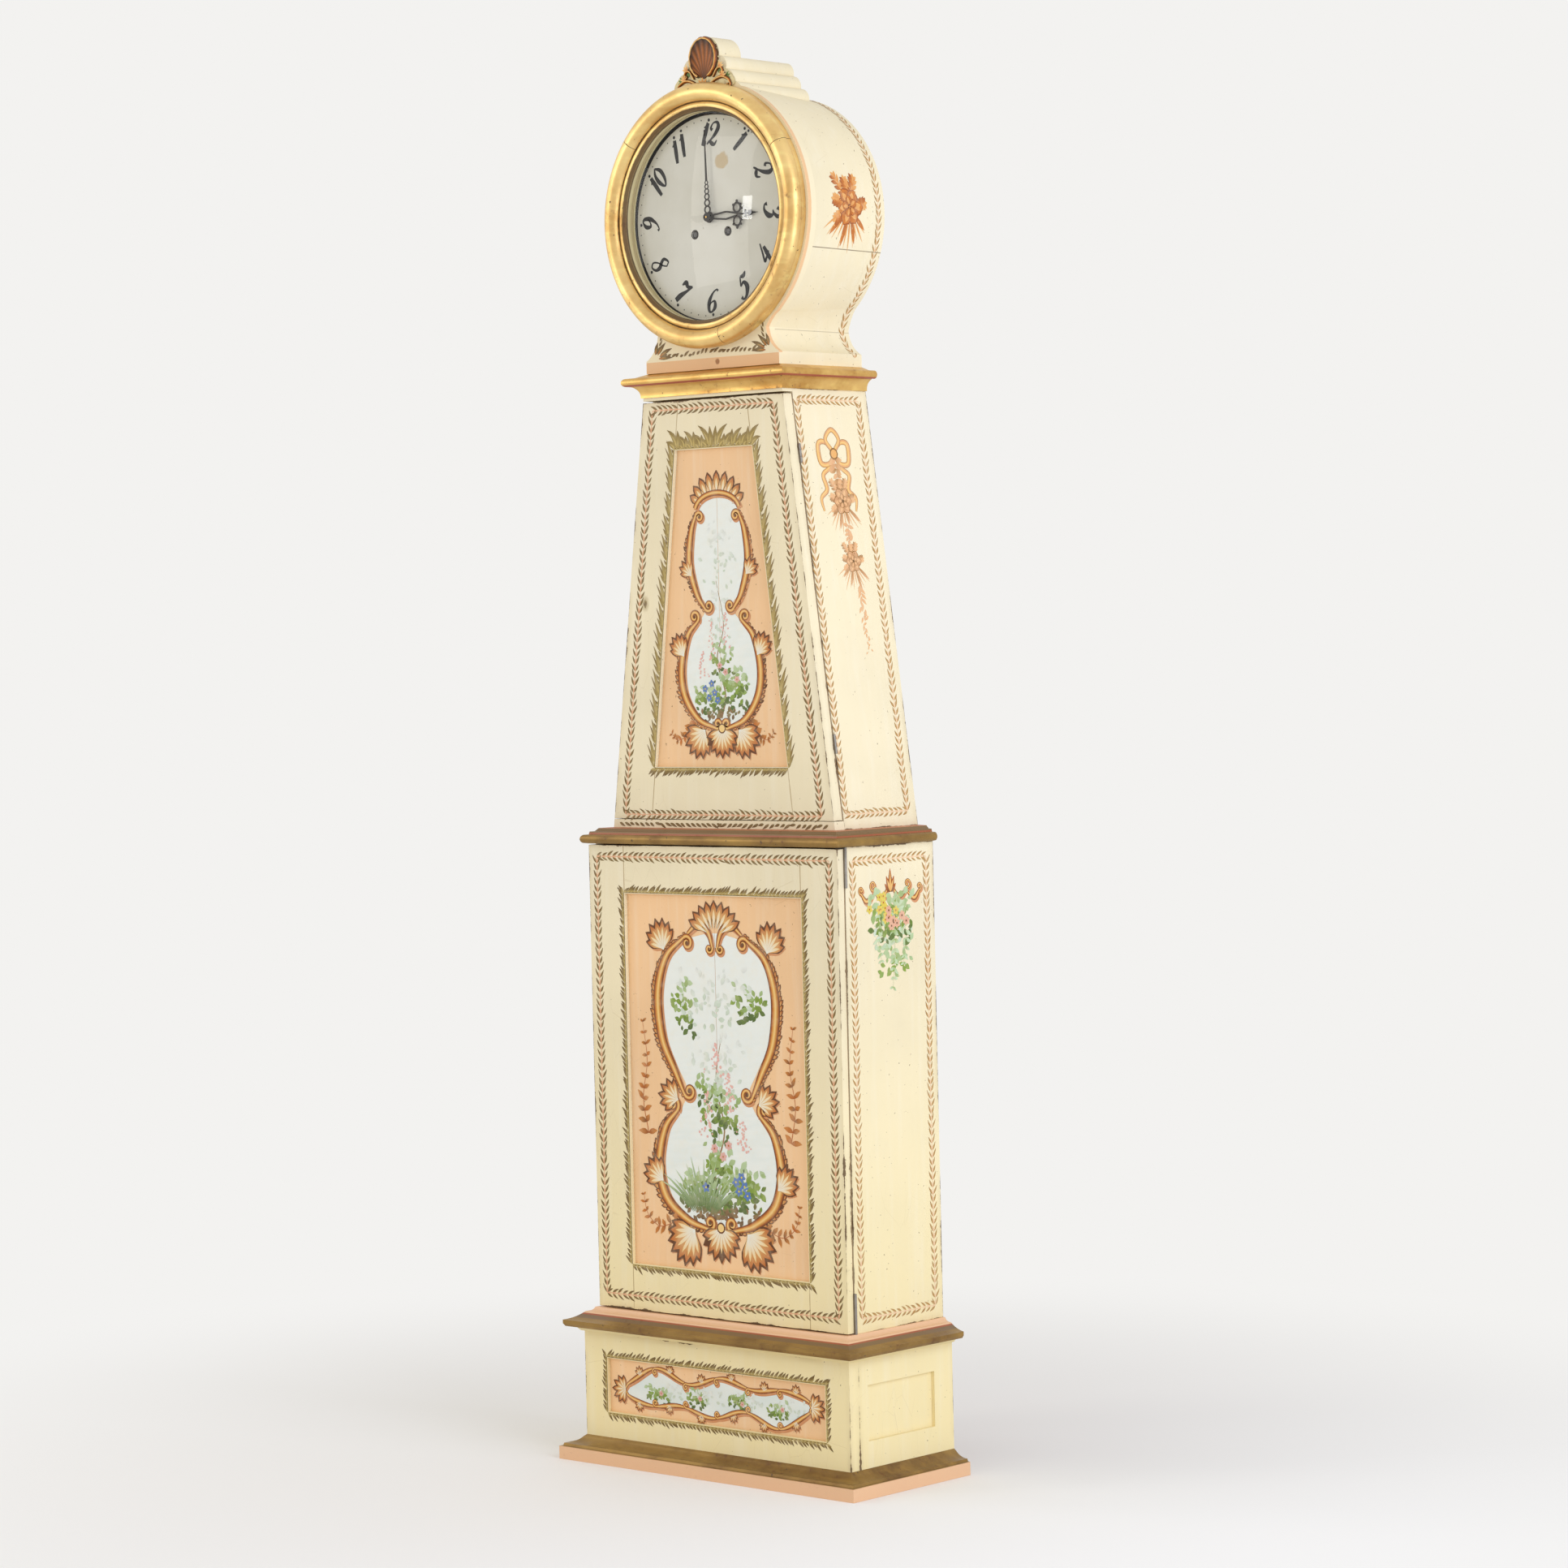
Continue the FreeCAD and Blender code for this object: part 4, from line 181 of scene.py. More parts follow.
# sizes taken from the frame, in metres
taper = {"footHeight": 1.008, "footHalf": 0.2355, "slope": 88.0 / 677.0}
drum = {"centre": 1.959, "dialCentre": 1.9575, "footTop": 1.7226, "front": -0.055, "depth": 0.192,
        "frontRadius": 0.208, "backRadius": 0.195, "hipSpan": math.radians(48)}

paintCoat = {
    "cream": (240, 226, 190), "creamLow": (242, 224, 168), "dirt": (160, 130, 80), "bare": (92, 66, 40),
    "peach": (234, 190, 142), "panelPeach": (244, 200, 150), "chalk": (246, 240, 222),
}
# ovals rubbed round the keyhole: grain and stray of the noise, start and end of the fade, strength, tone
keyholeRubs = ((120.0, 0.006, 0.010, 0.019, 0.75, (196, 178, 138)),
               (160.0, 0.005, 0.006, 0.010, 0.85, (122, 96, 66)))


def oldPaint(name, tone, low=None, edges=None, wear=0.0016, keyhole=None, joints=None, inside=None,
             seams=()):
    # Brushed milk paint: slow colour drift, fine brush streaks, hairline cracks, grime in the hollows and
    # bare wood where the nearest edge is closer than a noisy wear width.
    paint = Paint(name, Specular_IOR_Level=0.32)
    across, depth, height = paint.axes()
    drift = paint.noise(3.1, 3.0, 0.55)
    blotch = paint.noise(14.0, 4.0, 0.6)
    streak = paint.noise(60.0, 3.0, 0.6, (1.0, 1.0, 0.06))
    colour = paint.mix(drift.rise(0.35, 0.7), linear(*tone), linear(*[c * 0.955 for c in tone]))
    if low:                        # yellower towards the floor
        colour = paint.mix(height.fall(0.05, 0.95) * 0.85, colour, linear(*low))
    colour = paint.mix(blotch.rise(0.5, 0.8) * 0.22, colour, linear(*[c * 0.93 for c in tone]))
    colour = paint.mix(streak.rise(0.45, 0.75) * 0.16, colour, linear(*paintCoat["chalk"]))
    crack = paint.cells(26.0, (1.0, 1.0, 0.35)).fall(0.0, 0.006) * paint.noise(6.0, 2.0).rise(0.5, 0.62)
    colour = paint.mix(crack * 0.16, colour, linear(*paintCoat["dirt"]))
    speck = paint.noise(210.0, 2.0, 0.4).rise(0.735, 0.76)
    colour = paint.mix(speck * 0.6, colour, linear(*paintCoat["bare"]))
    worn = speck
    if edges:
        near = edges(paint, across, depth, height)
        ragged = paint.noise(55.0, 5.0, 0.7)
        patchy = paint.noise(9.0, 3.0, 0.6)
        limit = ragged.rise(0.3, 0.75) * patchy.rise(0.38, 0.72) * (wear * 2.6)
        worn = (limit - near).rise(0.0, 0.0004)
        grime = near.fall(0.0, 0.011) * patchy.rise(0.3, 0.8)
        colour = paint.mix(grime * 0.28, colour, linear(*paintCoat["dirt"]))
        colour = paint.mix(worn * 0.9, colour, linear(*paintCoat["bare"]))
    if joints:                     # hairlines where the rails meet the stiles
        foot, top, footHalf, topHalf = joints
        half = (height - foot) * ((topHalf - footHalf) / (top - foot)) + footHalf
        beyond = height.fall(foot - 0.001, foot).most(height.rise(top, top + 0.001))
        seam = abs(abs(across) - half).fall(0.0004, 0.0012) * beyond
        colour = paint.mix(seam * blotch.rise(0.3, 0.55) * 0.8, colour, linear(*paintCoat["dirt"]))
    for level, strength in seams:  # level hairlines between staves
        seam = abs(height - level).fall(0.0003, 0.0011) * (streak * 0.5 + 0.5) * strength
        colour = paint.mix(seam, colour, linear(*paintCoat["bare"]))
    if keyhole:                    # fingers have rubbed an oval round the keyhole
        oval = ((across - keyhole[0]) ** 2.0 * 2.2 + (height - keyhole[1]) ** 2.0) ** 0.5
        for grain, stray, inner, outer, strength, shade in keyholeRubs:
            rub = (oval + paint.noise(grain, 3.0) * stray).fall(inner, outer) * depth.fall(-0.0562, -0.0558)
            colour = paint.mix(rub * strength, colour, linear(*shade))
    if inside:                     # unpainted pine where nobody looks
        grain = paint.noise(30.0, 5.0, 0.65, (1.0, 1.0, 0.05))
        colour = paint.mix(inside(across, depth, height), colour,
                           paint.mix(grain.rise(0.3, 0.75), linear(186, 146, 100), linear(146, 104, 66)))
    rough = blotch * 0.18 + 0.42 + worn * 0.2
    relief = streak * 0.35 + blotch * 0.3 - crack * 0.5 - worn * 1.6
    return paint.finish(Base_Color=colour, Roughness=rough, Normal=paint.bump(relief, 0.00022, 0.8))


def boardEdges(low, high, slanted=False):
    # Distance to a board's nearest edge: the middle one of the three distances to its faces.
    def near(paint, across, depth, height):
        if slanted:
            half = (height - taper["footHeight"]) * (-taper["slope"]) + taper["footHalf"]
            byX = abs(half - abs(across))
        else:
            byX = abs(high[0] - abs(across))
        byY = abs(depth - low[1]).least(abs(depth - high[1]))
        byZ = abs(height - low[2]).least(abs(height - high[2]))
        small = byX.least(byY)
        large = byX.most(byY)
        return small.most(large.least(byZ))
    return near


def nodeEdges(*names, slanted=False):
    boxes = [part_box(name) for name in names]
    low = np.min([b[0] for b in boxes], axis=0)
    high = np.max([b[1] for b in boxes], axis=0)
    return boardEdges(tuple(float(v) for v in low), tuple(float(v) for v in high), slanted)


def gilding(name, gold, dark, bole, rub=0.5, lines=None, rings=None, reveal=None, leaf=0.82, splits=()):
    # Leaf over red clay: warm metal that turns to bole and to bare ground where a noise has rubbed it.
    paint = Paint(name, Specular_IOR_Level=0.5)
    across, depth, height = paint.axes()
    cloud = paint.noise(11.0, 4.0, 0.6)
    fine = paint.noise(90.0, 4.0, 0.65)
    brushed = paint.noise(38.0, 3.0, 0.6, (0.3, 1.0, 1.6))
    colour = paint.mix(cloud.rise(0.3, 0.75), linear(*gold), linear(*dark))
    colour = paint.mix(brushed.rise(0.45, 0.8) * 0.45, colour, linear(*[min(255, c * 1.16) for c in gold]))
    rubbed = (fine * 0.6 + cloud * 0.4).rise(0.62 - 0.09 * rub, 0.68)
    colour = paint.mix(rubbed * 0.65, colour, linear(*bole))
    chip = paint.noise(150.0, 2.0, 0.5).rise(0.72, 0.75)
    colour = paint.mix(chip * 0.85, colour, linear(66, 44, 26))
    metal = (1.0 - rubbed * 0.7 - chip * 0.7).most(0.0) * leaf
    if lines:                      # coloured bands between set heights
        for lowZ, highZ, tint, metallic in lines:
            inside = height.rise(lowZ - 0.0006, lowZ + 0.0006) * height.fall(highZ - 0.0006, highZ + 0.0006)
            colour = paint.mix(inside * 0.92, colour, linear(*tint))
            metal = metal * (1.0 - inside * (1.0 - metallic))
    if rings:                      # coloured rings at set distances from the dial's axis
        stray = (paint.noise(36.0, 5.0, 0.75) - 0.5) * 0.0035
        reach = (across ** 2.0 + (height - drum["centre"]) ** 2.0) ** 0.5 + stray
        for inner, outer, tint, metallic in rings:
            inside = reach.rise(inner - 0.0004, inner + 0.0004) * reach.fall(outer - 0.0004, outer + 0.0004)
            colour = paint.mix(inside * 0.9, colour, linear(*tint))
            metal = metal * (1.0 - inside * (1.0 - metallic))
    if reveal:                     # a plain tone behind a set depth
        behind, tone = reveal
        inside = depth.rise(behind - 0.0003, behind + 0.0003) * reach.fall(0.1695, 0.17)
        colour = paint.mix(inside, colour, linear(*tone))
        metal = metal * (1.0 - inside)
    rough = 0.31 + cloud * 0.2 + rubbed * 0.2
    relief = fine * 0.5 + brushed * 0.4 - chip * 1.5
    for turn in splits:            # hairlines where the segments of the ring meet
        aside, upward = math.cos(turn), math.sin(turn)
        rise = height - drum["centre"]
        onRing = (across * aside + rise * upward).rise(0.174, 0.176)
        split = abs(across * upward - rise * aside).fall(0.0002, 0.0009) * onRing
        colour = paint.mix(split * 0.75, colour, linear(84, 52, 26))
        relief = relief - split * 2.0
    return paint.finish(Base_Color=colour, Metallic=metal, Roughness=rough,
                        Normal=paint.bump(relief, 0.00035, 0.8))


def bareWood(name, light, dark, grainAxis=2, board=0.0):
    # Pine: faint rings and long fibres along the grain, rare knots, and seams between boards of one width.
    paint = Paint(name, Specular_IOR_Level=0.25)
    across, depth, height = paint.axes()
    squeeze = [1.0, 1.0, 1.0]
    squeeze[grainAxis] = 0.05
    squeeze = tuple(squeeze)
    ring = paint.node("ShaderNodeTexWave", {"wave_type": "BANDS", "bands_direction": "X"},
                      {"Vector": paint.stretched(squeeze), "Scale": 15.0, "Distortion": 16.0, "Detail": 4.0,
                       "Detail Scale": 0.9})
    plank = paint.noise(6.0, 1.0, 0.5, squeeze)
    fibre = paint.noise(150.0, 5.0, 0.7, squeeze)
    vein = paint.noise(34.0, 4.0, 0.6, squeeze)
    stain = paint.noise(4.0, 4.0, 0.6)
    colour = paint.mix(plank.rise(0.3, 0.7), linear(*light),
                       linear(*[(a + b) / 2 for a, b in zip(light, dark)]))
    colour = paint.mix(ring.rise(0.35, 1.0) * vein.rise(0.3, 0.7) * 0.5, colour, linear(*dark))
    colour = paint.mix(vein.rise(0.45, 0.8) * 0.4, colour, linear(*dark))
    colour = paint.mix(fibre.rise(0.4, 0.8) * 0.3, colour, linear(*[c * 0.75 for c in dark]))
    colour = paint.mix(stain.rise(0.5, 0.85) * 0.35, colour, linear(96, 74, 52))
    knot = paint.cells(3.1, (1.0, 1.0, 0.6), "F1").fall(0.02, 0.045)
    colour = paint.mix(knot * 0.6, colour, linear(92, 56, 30))
    relief = fibre + ring * 0.3
    if board:
        seam = paint.node("ShaderNodeMath", {"operation": "PINGPONG"},
                          [across + board * 0.5, board]).fall(0.0003, 0.0012)
        colour = paint.mix(seam * 0.8, colour, linear(52, 38, 26))
        relief = relief - seam * 3.0
    return paint.finish(Base_Color=colour, Roughness=fibre * 0.2 + 0.6, Normal=paint.bump(relief, 0.0003))


def metalWork(name, bright, dull, rust=0.0, rough=0.35, scale=60.0):
    paint = Paint(name)
    cloud = paint.noise(scale * 0.3, 4.0, 0.6)
    fine = paint.noise(scale * 3.0, 3.0, 0.6, (1.0, 0.25, 1.0))
    colour = paint.mix(cloud.rise(0.35, 0.75), linear(*bright), linear(*dull))
    spots = paint.noise(scale * 1.6, 4.0, 0.7).rise(0.62 - 0.2 * rust, 0.7)
    colour = paint.mix(spots * min(1.0, rust * 1.4), colour, linear(112, 66, 38))
    metal = 0.95 - spots * (0.7 * min(1.0, rust * 1.4))
    return paint.finish(Base_Color=colour, Metallic=metal,
                        Roughness=cloud * 0.2 + rough + spots * 0.3 * rust,
                        Normal=paint.bump(fine + spots, 0.00015, 0.6))


# materials of the carried nodes
cream, creamLow = paintCoat["cream"], paintCoat["creamLow"]


def behindFace(front):             # bare wood from a set depth backwards
    return lambda x, y, z: y.rise(front, front + 0.0005)


def insideSlope(x, y, z):          # bare wood on the inner faces of the slanted boards
    reach = abs(x) + (z - taper["footHeight"]) * taper["slope"]
    return reach.fall(taper["footHalf"] - 0.0178, taper["footHalf"] - 0.0173)


hoodPaint = oldPaint("hoodCream", cream, seams=((1.8976, 0.95), (1.7776, 0.45)))
pine = bareWood("pine", (180, 138, 92), (134, 92, 54), 2, 0.086)
pineFlat = bareWood("pineFlat", (174, 132, 88), (126, 88, 54), 0)
coats = {
    "plinth_front_frame": oldPaint("plinthCream", cream, creamLow, nodeEdges("plinth_front_frame")),
    "plinth_side_frames": oldPaint("plinthSideCream", cream, creamLow, nodeEdges("plinth_side_frames")),
    "plinth_side_panels": oldPaint("plinthPanelCream", cream, creamLow),
    "plinth_front_panel": oldPaint("panelPeach", paintCoat["panelPeach"]),
    "lower_door_panel": oldPaint("lowerPeach", paintCoat["panelPeach"], inside=behindFace(-0.0768)),
    "lower_door_frame": oldPaint("lowerDoorCream", cream, creamLow, nodeEdges("lower_door_frame"), 0.0022,
                                 joints=(0.317, 0.905, 0.188, 0.188), inside=behindFace(-0.0728)),
    "lower_side_boards": oldPaint("lowerSideCream", cream, creamLow, nodeEdges("lower_side_boards"),
                                  inside=lambda x, y, z: abs(x).fall(0.2473, 0.2478)),
    "upper_door_panel": oldPaint("upperPeach", paintCoat["panelPeach"], inside=behindFace(-0.0438)),
    "upper_door_frame": oldPaint("upperDoorCream", cream, None, nodeEdges("upper_door_frame", slanted=True),
                                 0.0018, keyhole=(-0.1545, 1.362), joints=(1.104, 1.6, 0.141, 0.082),
                                 inside=behindFace(-0.0378)),
    "upper_side_boards": oldPaint("upperSideCream", cream, None,
                                  nodeEdges("upper_side_boards", slanted=True), inside=insideSlope),
    "upper_rails": oldPaint("upperRailCream", cream),
    "crest_boards": oldPaint("crestCream", cream),
    "hood_neck_staves": hoodPaint, "hood_side_staves": hoodPaint, "hood_crown": hoodPaint,
    "back_boards": pine, "hood_back_board": pine,
    "plinth_floor": pineFlat, "seat_board": pineFlat, "movement_cheeks": pineFlat,
}
for name, coat in coats.items():
    dress(coat, name)


def edgedBoard(name, faceTone, sideTone, rimTone, rimDepth):
    # A front board: its face one colour, a strip of its edge another, and the rest as the sides are.
    paint = Paint(name, Specular_IOR_Level=0.32)
    across, depth, height = paint.axes()
    ragged = paint.noise(60.0, 4.0, 0.7) * 0.003
    onFace = depth.fall(-0.0549, -0.0546)
    reach = (across ** 2.0 + (height - drum["centre"]) ** 2.0) ** 0.5
    bore = reach.fall(0.1635, 0.1645)
    rim = (depth + ragged).fall(rimDepth, rimDepth + 0.002) * (1.0 - bore)
    blotch = paint.noise(14.0, 4.0, 0.6)
    colour = paint.mix(rim, linear(*sideTone), linear(*rimTone))
    colour = paint.mix(onFace, colour, linear(*faceTone))
    # The bore is cream; behind y = -0.0516 it is near-black, a painted shadow in the gap round the dial.
    colour = paint.mix(bore, colour,
                       paint.mix(depth.rise(-0.0518, -0.0514), linear(212, 198, 152), linear(30, 26, 22)))
    colour = paint.mix(blotch.rise(0.5, 0.8) * 0.22, colour, linear(*[c * 0.93 for c in faceTone]))
    worn = paint.noise(48.0, 5.0, 0.7).rise(0.64, 0.69)
    spot = ((across - 0.012) ** 2.0 + (height - 1.7335) ** 2.0) ** 0.5 + paint.noise(180.0, 3.0) * 0.004
    chipped = (worn * rim * (1.0 - onFace) * 0.6).most(spot.fall(0.005, 0.0075))
    colour = paint.mix(chipped * 0.85, colour, linear(150, 96, 50))
    return paint.finish(Base_Color=colour, Roughness=blotch * 0.2 + 0.42,
                        Normal=paint.bump(blotch - worn * 0.3, 0.0003))


dress(edgedBoard("hoodFace", cream, cream, paintCoat["peach"], -0.0465), "hood_front_board")
dress(edgedBoard("hoodFascia", paintCoat["peach"], cream, cream, -0.0465), "hood_base_fascia")

olive = {"gold": (156, 122, 60), "dark": (114, 82, 38), "bole": (100, 58, 30)}
bright = {"gold": (234, 194, 118), "dark": (190, 140, 68), "bole": (136, 88, 46)}
peachBand = (236, 190, 148)
baseGilt = gilding("baseGilding", olive["gold"], olive["dark"], olive["bole"], 0.5,
                   [(0.0, 0.0205, peachBand, 0.0)], leaf=0.5)
capGilt = gilding("capGilding", olive["gold"], olive["dark"], olive["bole"], 0.6,
                  [(0.2332, 0.2425, peachBand, 0.0), (0.2314, 0.2332, (164, 74, 42), 0.1),
                   (0.2268, 0.2314, (118, 90, 56), 0.15),
                   (0.2045, 0.2095, paintCoat["creamLow"], 0.0)], leaf=0.5)
# The dark brown band from 1.0001 to 1.0068 m is painted shade in the cove.
waistGilt = gilding("waistGilding", olive["gold"], olive["dark"], olive["bole"], 0.6,
                    [(1.0068, 1.0086, (184, 104, 66), 0.0), (1.0001, 1.0068, (122, 92, 52), 0.3),
                     (0.9977, 1.0001, (164, 80, 46), 0.0)],
                    leaf=0.5)
corniceGilt = gilding("corniceGilding", bright["gold"], bright["dark"], bright["bole"], 0.45,
                      [(1.7032, 1.7056, (156, 44, 26), 0.1)])
dress(baseGilt, "base_moulding")
dress(capGilt, "plinth_moulding")
dress(waistGilt, "waist_moulding")
dress(corniceGilt, "cornice")
bezelRings = [(0.1595, 0.1628, (60, 42, 22), 0.2), (0.1628, 0.1672, (84, 56, 26), 0.35),
              (0.1746, 0.1766, (92, 62, 30), 0.3)]
dress(gilding("bezelGilding", (240, 205, 136), (202, 156, 86), bright["bole"], 0.62, None, bezelRings,
              (-0.069, (212, 198, 152)), 0.72, (2.44, 0.53, -1.35)), "bezel_ring")
dress(gilding("carvedGilding", (150, 100, 44), (98, 58, 26), (80, 44, 22), 0.8), "crest_carving")

iron = metalWork("forgedIron", (158, 152, 144), (112, 106, 98), 0.35, 0.42)
castIron = metalWork("castIron", (60, 58, 56), (40, 38, 36), 0.15, 0.55)
brass = metalWork("movementBrass", (198, 160, 92), (150, 114, 60), 0.0, 0.3)
hands = Paint("handMetal", Metallic=0.1, Specular_IOR_Level=0.22)
handCloud = hands.noise(90.0, 4.0, 0.6)
handMetal = hands.finish(Base_Color=hands.mix(handCloud.rise(0.4, 0.7), linear(20, 16, 13),
                                              linear(44, 34, 25)), Roughness=handCloud * 0.2 + 0.5,
                         Normal=hands.bump(handCloud, 0.0001))
barrels = Paint("barrelMetal")
barrelCloud = barrels.noise(30.0, 4.0, 0.6)
barrelY = barrels.axes()[1]
barrelFront = barrelY.fall(-0.022, -0.0215)
barrelColour = barrels.mix(barrelCloud.rise(0.35, 0.75), linear(198, 160, 92), linear(150, 114, 60))
barrelMetal = barrels.finish(Base_Color=barrels.mix(barrelFront, barrelColour, linear(58, 56, 54)),
                             Metallic=0.95 - barrelFront * 0.5, Roughness=barrelCloud * 0.2 + 0.3)
dress(iron, "case_hinge_leaves", "upper_door_hinge_leaves", "lower_door_hinge_leaves", "upper_door_lock",
      "lock_bolt",
      "anchor", "hammer", "pendulum_rod")
dress(castIron, "going_weight", "strike_weight")
dress(brass, "movement_frame", "suspension_cock", "bell_and_stand", "minute_wheel", "centre_wheel",
      "third_wheel",
      "escape_wheel", "going_great_wheel", "strike_great_wheel", "strike_pin_wheel",
      "going_pulley", "strike_pulley", "pendulum_bob")
dress(handMetal, "minute_hand", "hour_hand")
dress(barrelMetal, "going_barrel", "strike_barrel")

gut = Paint("gutLine", Specular_IOR_Level=0.3)
twist = gut.node("ShaderNodeTexWave", {"wave_type": "BANDS", "bands_direction": "DIAGONAL"},
                 {"Vector": gut.spot, "Scale": 420.0, "Distortion": 1.0})
dress(gut.finish(Base_Color=gut.mix(twist, linear(208, 178, 126), linear(160, 126, 80)),
                 Roughness=twist * 0.2 + 0.5,
                 Normal=gut.bump(twist, 0.0002)), "going_line", "strike_line", "barrel_line_strands")

dial = Paint("dialPaint", Specular_IOR_Level=0.35)
dialX, _, dialZ = dial.axes()
dialCloud = dial.noise(9.0, 4.0, 0.55)
dialFine = dial.noise(130.0, 3.0, 0.6)
stainStray = (dial.noise(70.0, 4.0) - 0.5) * 0.014
stainRadius = ((dialX - 0.024) ** 2.0 + (dialZ - 2.044) ** 2.0) ** 0.5 + stainStray
dialColour = dial.mix(dialCloud.rise(0.35, 0.75), linear(214, 211, 198), linear(204, 200, 184))
# darker towards the dial's rim, all round
rimDarkening = ((dialX ** 2.0 + (dialZ - drum["dialCentre"]) ** 2.0) ** 0.5).rise(0.135, 0.162)
dialColour = dial.mix(rimDarkening * 0.35, dialColour, linear(178, 168, 138))
dialColour = dial.mix(stainRadius.fall(0.0115, 0.0155) * 0.8, dialColour, linear(188, 162, 114))
dialColour = dial.mix(dialFine.rise(0.7, 0.74) * 0.4, dialColour, linear(140, 128, 104))
dress(dial.finish(Base_Color=dialColour, Roughness=dialCloud * 0.1 + 0.45,
                  Normal=dial.bump(dialFine, 0.0001, 0.5)),
      "dial_plate")

clear = Paint("clearGlass", Roughness=0.0, IOR=1.5, Base_Color=(1, 1, 1, 1))
seeThrough = clear.tree.nodes.new("ShaderNodeBsdfTransparent")
gloss = clear.tree.nodes.new("ShaderNodeBsdfGlossy")
gloss.inputs["Roughness"].default_value = 0.01
fresnel = clear.node("ShaderNodeFresnel", inputs=[1.5])
behind = clear.node("ShaderNodeNewGeometry", output="Backfacing")
mixShaders(clear.tree, (fresnel * (1.0 - behind) * 0.4).socket, seeThrough.outputs[0], gloss.outputs[0],
           clear.output.inputs[0])
dress(clear.material, "bezel_glass")
print("carried nodes dressed")


# surfaces and brushwork
def gridFaces(rows, columns, closedRows=False, closedColumns=False):
    # Quads of a grid of rows x columns points, numbered row by row.
    rowStep = np.arange(rows if closedRows else rows - 1)
    columnStep = np.arange(columns if closedColumns else columns - 1)
    r, c = np.meshgrid(rowStep, columnStep, indexing="ij")
    nextR, nextC = (r + 1) % rows, (c + 1) % columns
    corners = (r * columns + c, r * columns + nextC, nextR * columns + nextC, nextR * columns + c)
    return np.stack(corners, -1).reshape(-1, 4)


def makePiece(name, points, faces, material, body, tints=None, smooth=True):
    mesh = bpy.data.meshes.new(name)
    mesh.from_pydata(np.asarray(points, float).tolist(), [], [list(map(int, face)) for face in faces])
    mesh.polygons.foreach_set("use_smooth", [smooth] * len(mesh.polygons))
    if tints is not None:
        layer = mesh.color_attributes.new("tint", "FLOAT_COLOR", "POINT")
        layer.data.foreach_set("color", np.column_stack([tints, np.ones(len(tints))]).ravel())
    mesh.materials.append(material)
    piece = bpy.data.objects.new(name, mesh)
    bpy.context.scene.collection.objects.link(piece)
    if body:
        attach(piece, body)
    return piece


def smoothLine(controls, perSpan=8):
    # A curve through the control rows: on each span the usual cubic with half-difference end slopes.
    rows = np.asarray(controls, float)
    rows = np.vstack([2 * rows[0] - rows[1], rows, 2 * rows[-1] - rows[-2]])
    p0, p1, p2, p3 = rows[:-3, None], rows[1:-2, None], rows[2:-1, None], rows[3:, None]
    t = np.linspace(0, 1, perSpan, endpoint=False)[None, :, None]
    curve = 0.5 * (2 * p1 + (p2 - p0) * t + (2 * p0 - 5 * p1 + 4 * p2 - p3) * t ** 2
                   + (3 * p1 - p0 - 3 * p2 + p3) * t ** 3)
    return np.vstack([curve.reshape(-1, rows.shape[1]), rows[-2]])


def travelled(line):
    # The way along a polyline up to each of its points.
    return np.concatenate([[0], np.cumsum(np.linalg.norm(np.diff(line, axis=0), axis=1))])


def alongLine(at, way, line):
    return np.column_stack([np.interp(at, way, line[:, k]) for k in range(2)])


def evenly(line, step):
    # Points at equal steps along a polyline, and the heading at each.
    line = np.asarray(line, float)
    way = travelled(line)
    at = np.linspace(0, way[-1], max(2, int(round(way[-1] / step)) + 1))
    delta = alongLine(at + step * 0.3, way, line) - alongLine(at - step * 0.3, way, line)
    return alongLine(at, way, line), np.arctan2(delta[:, 1], delta[:, 0])


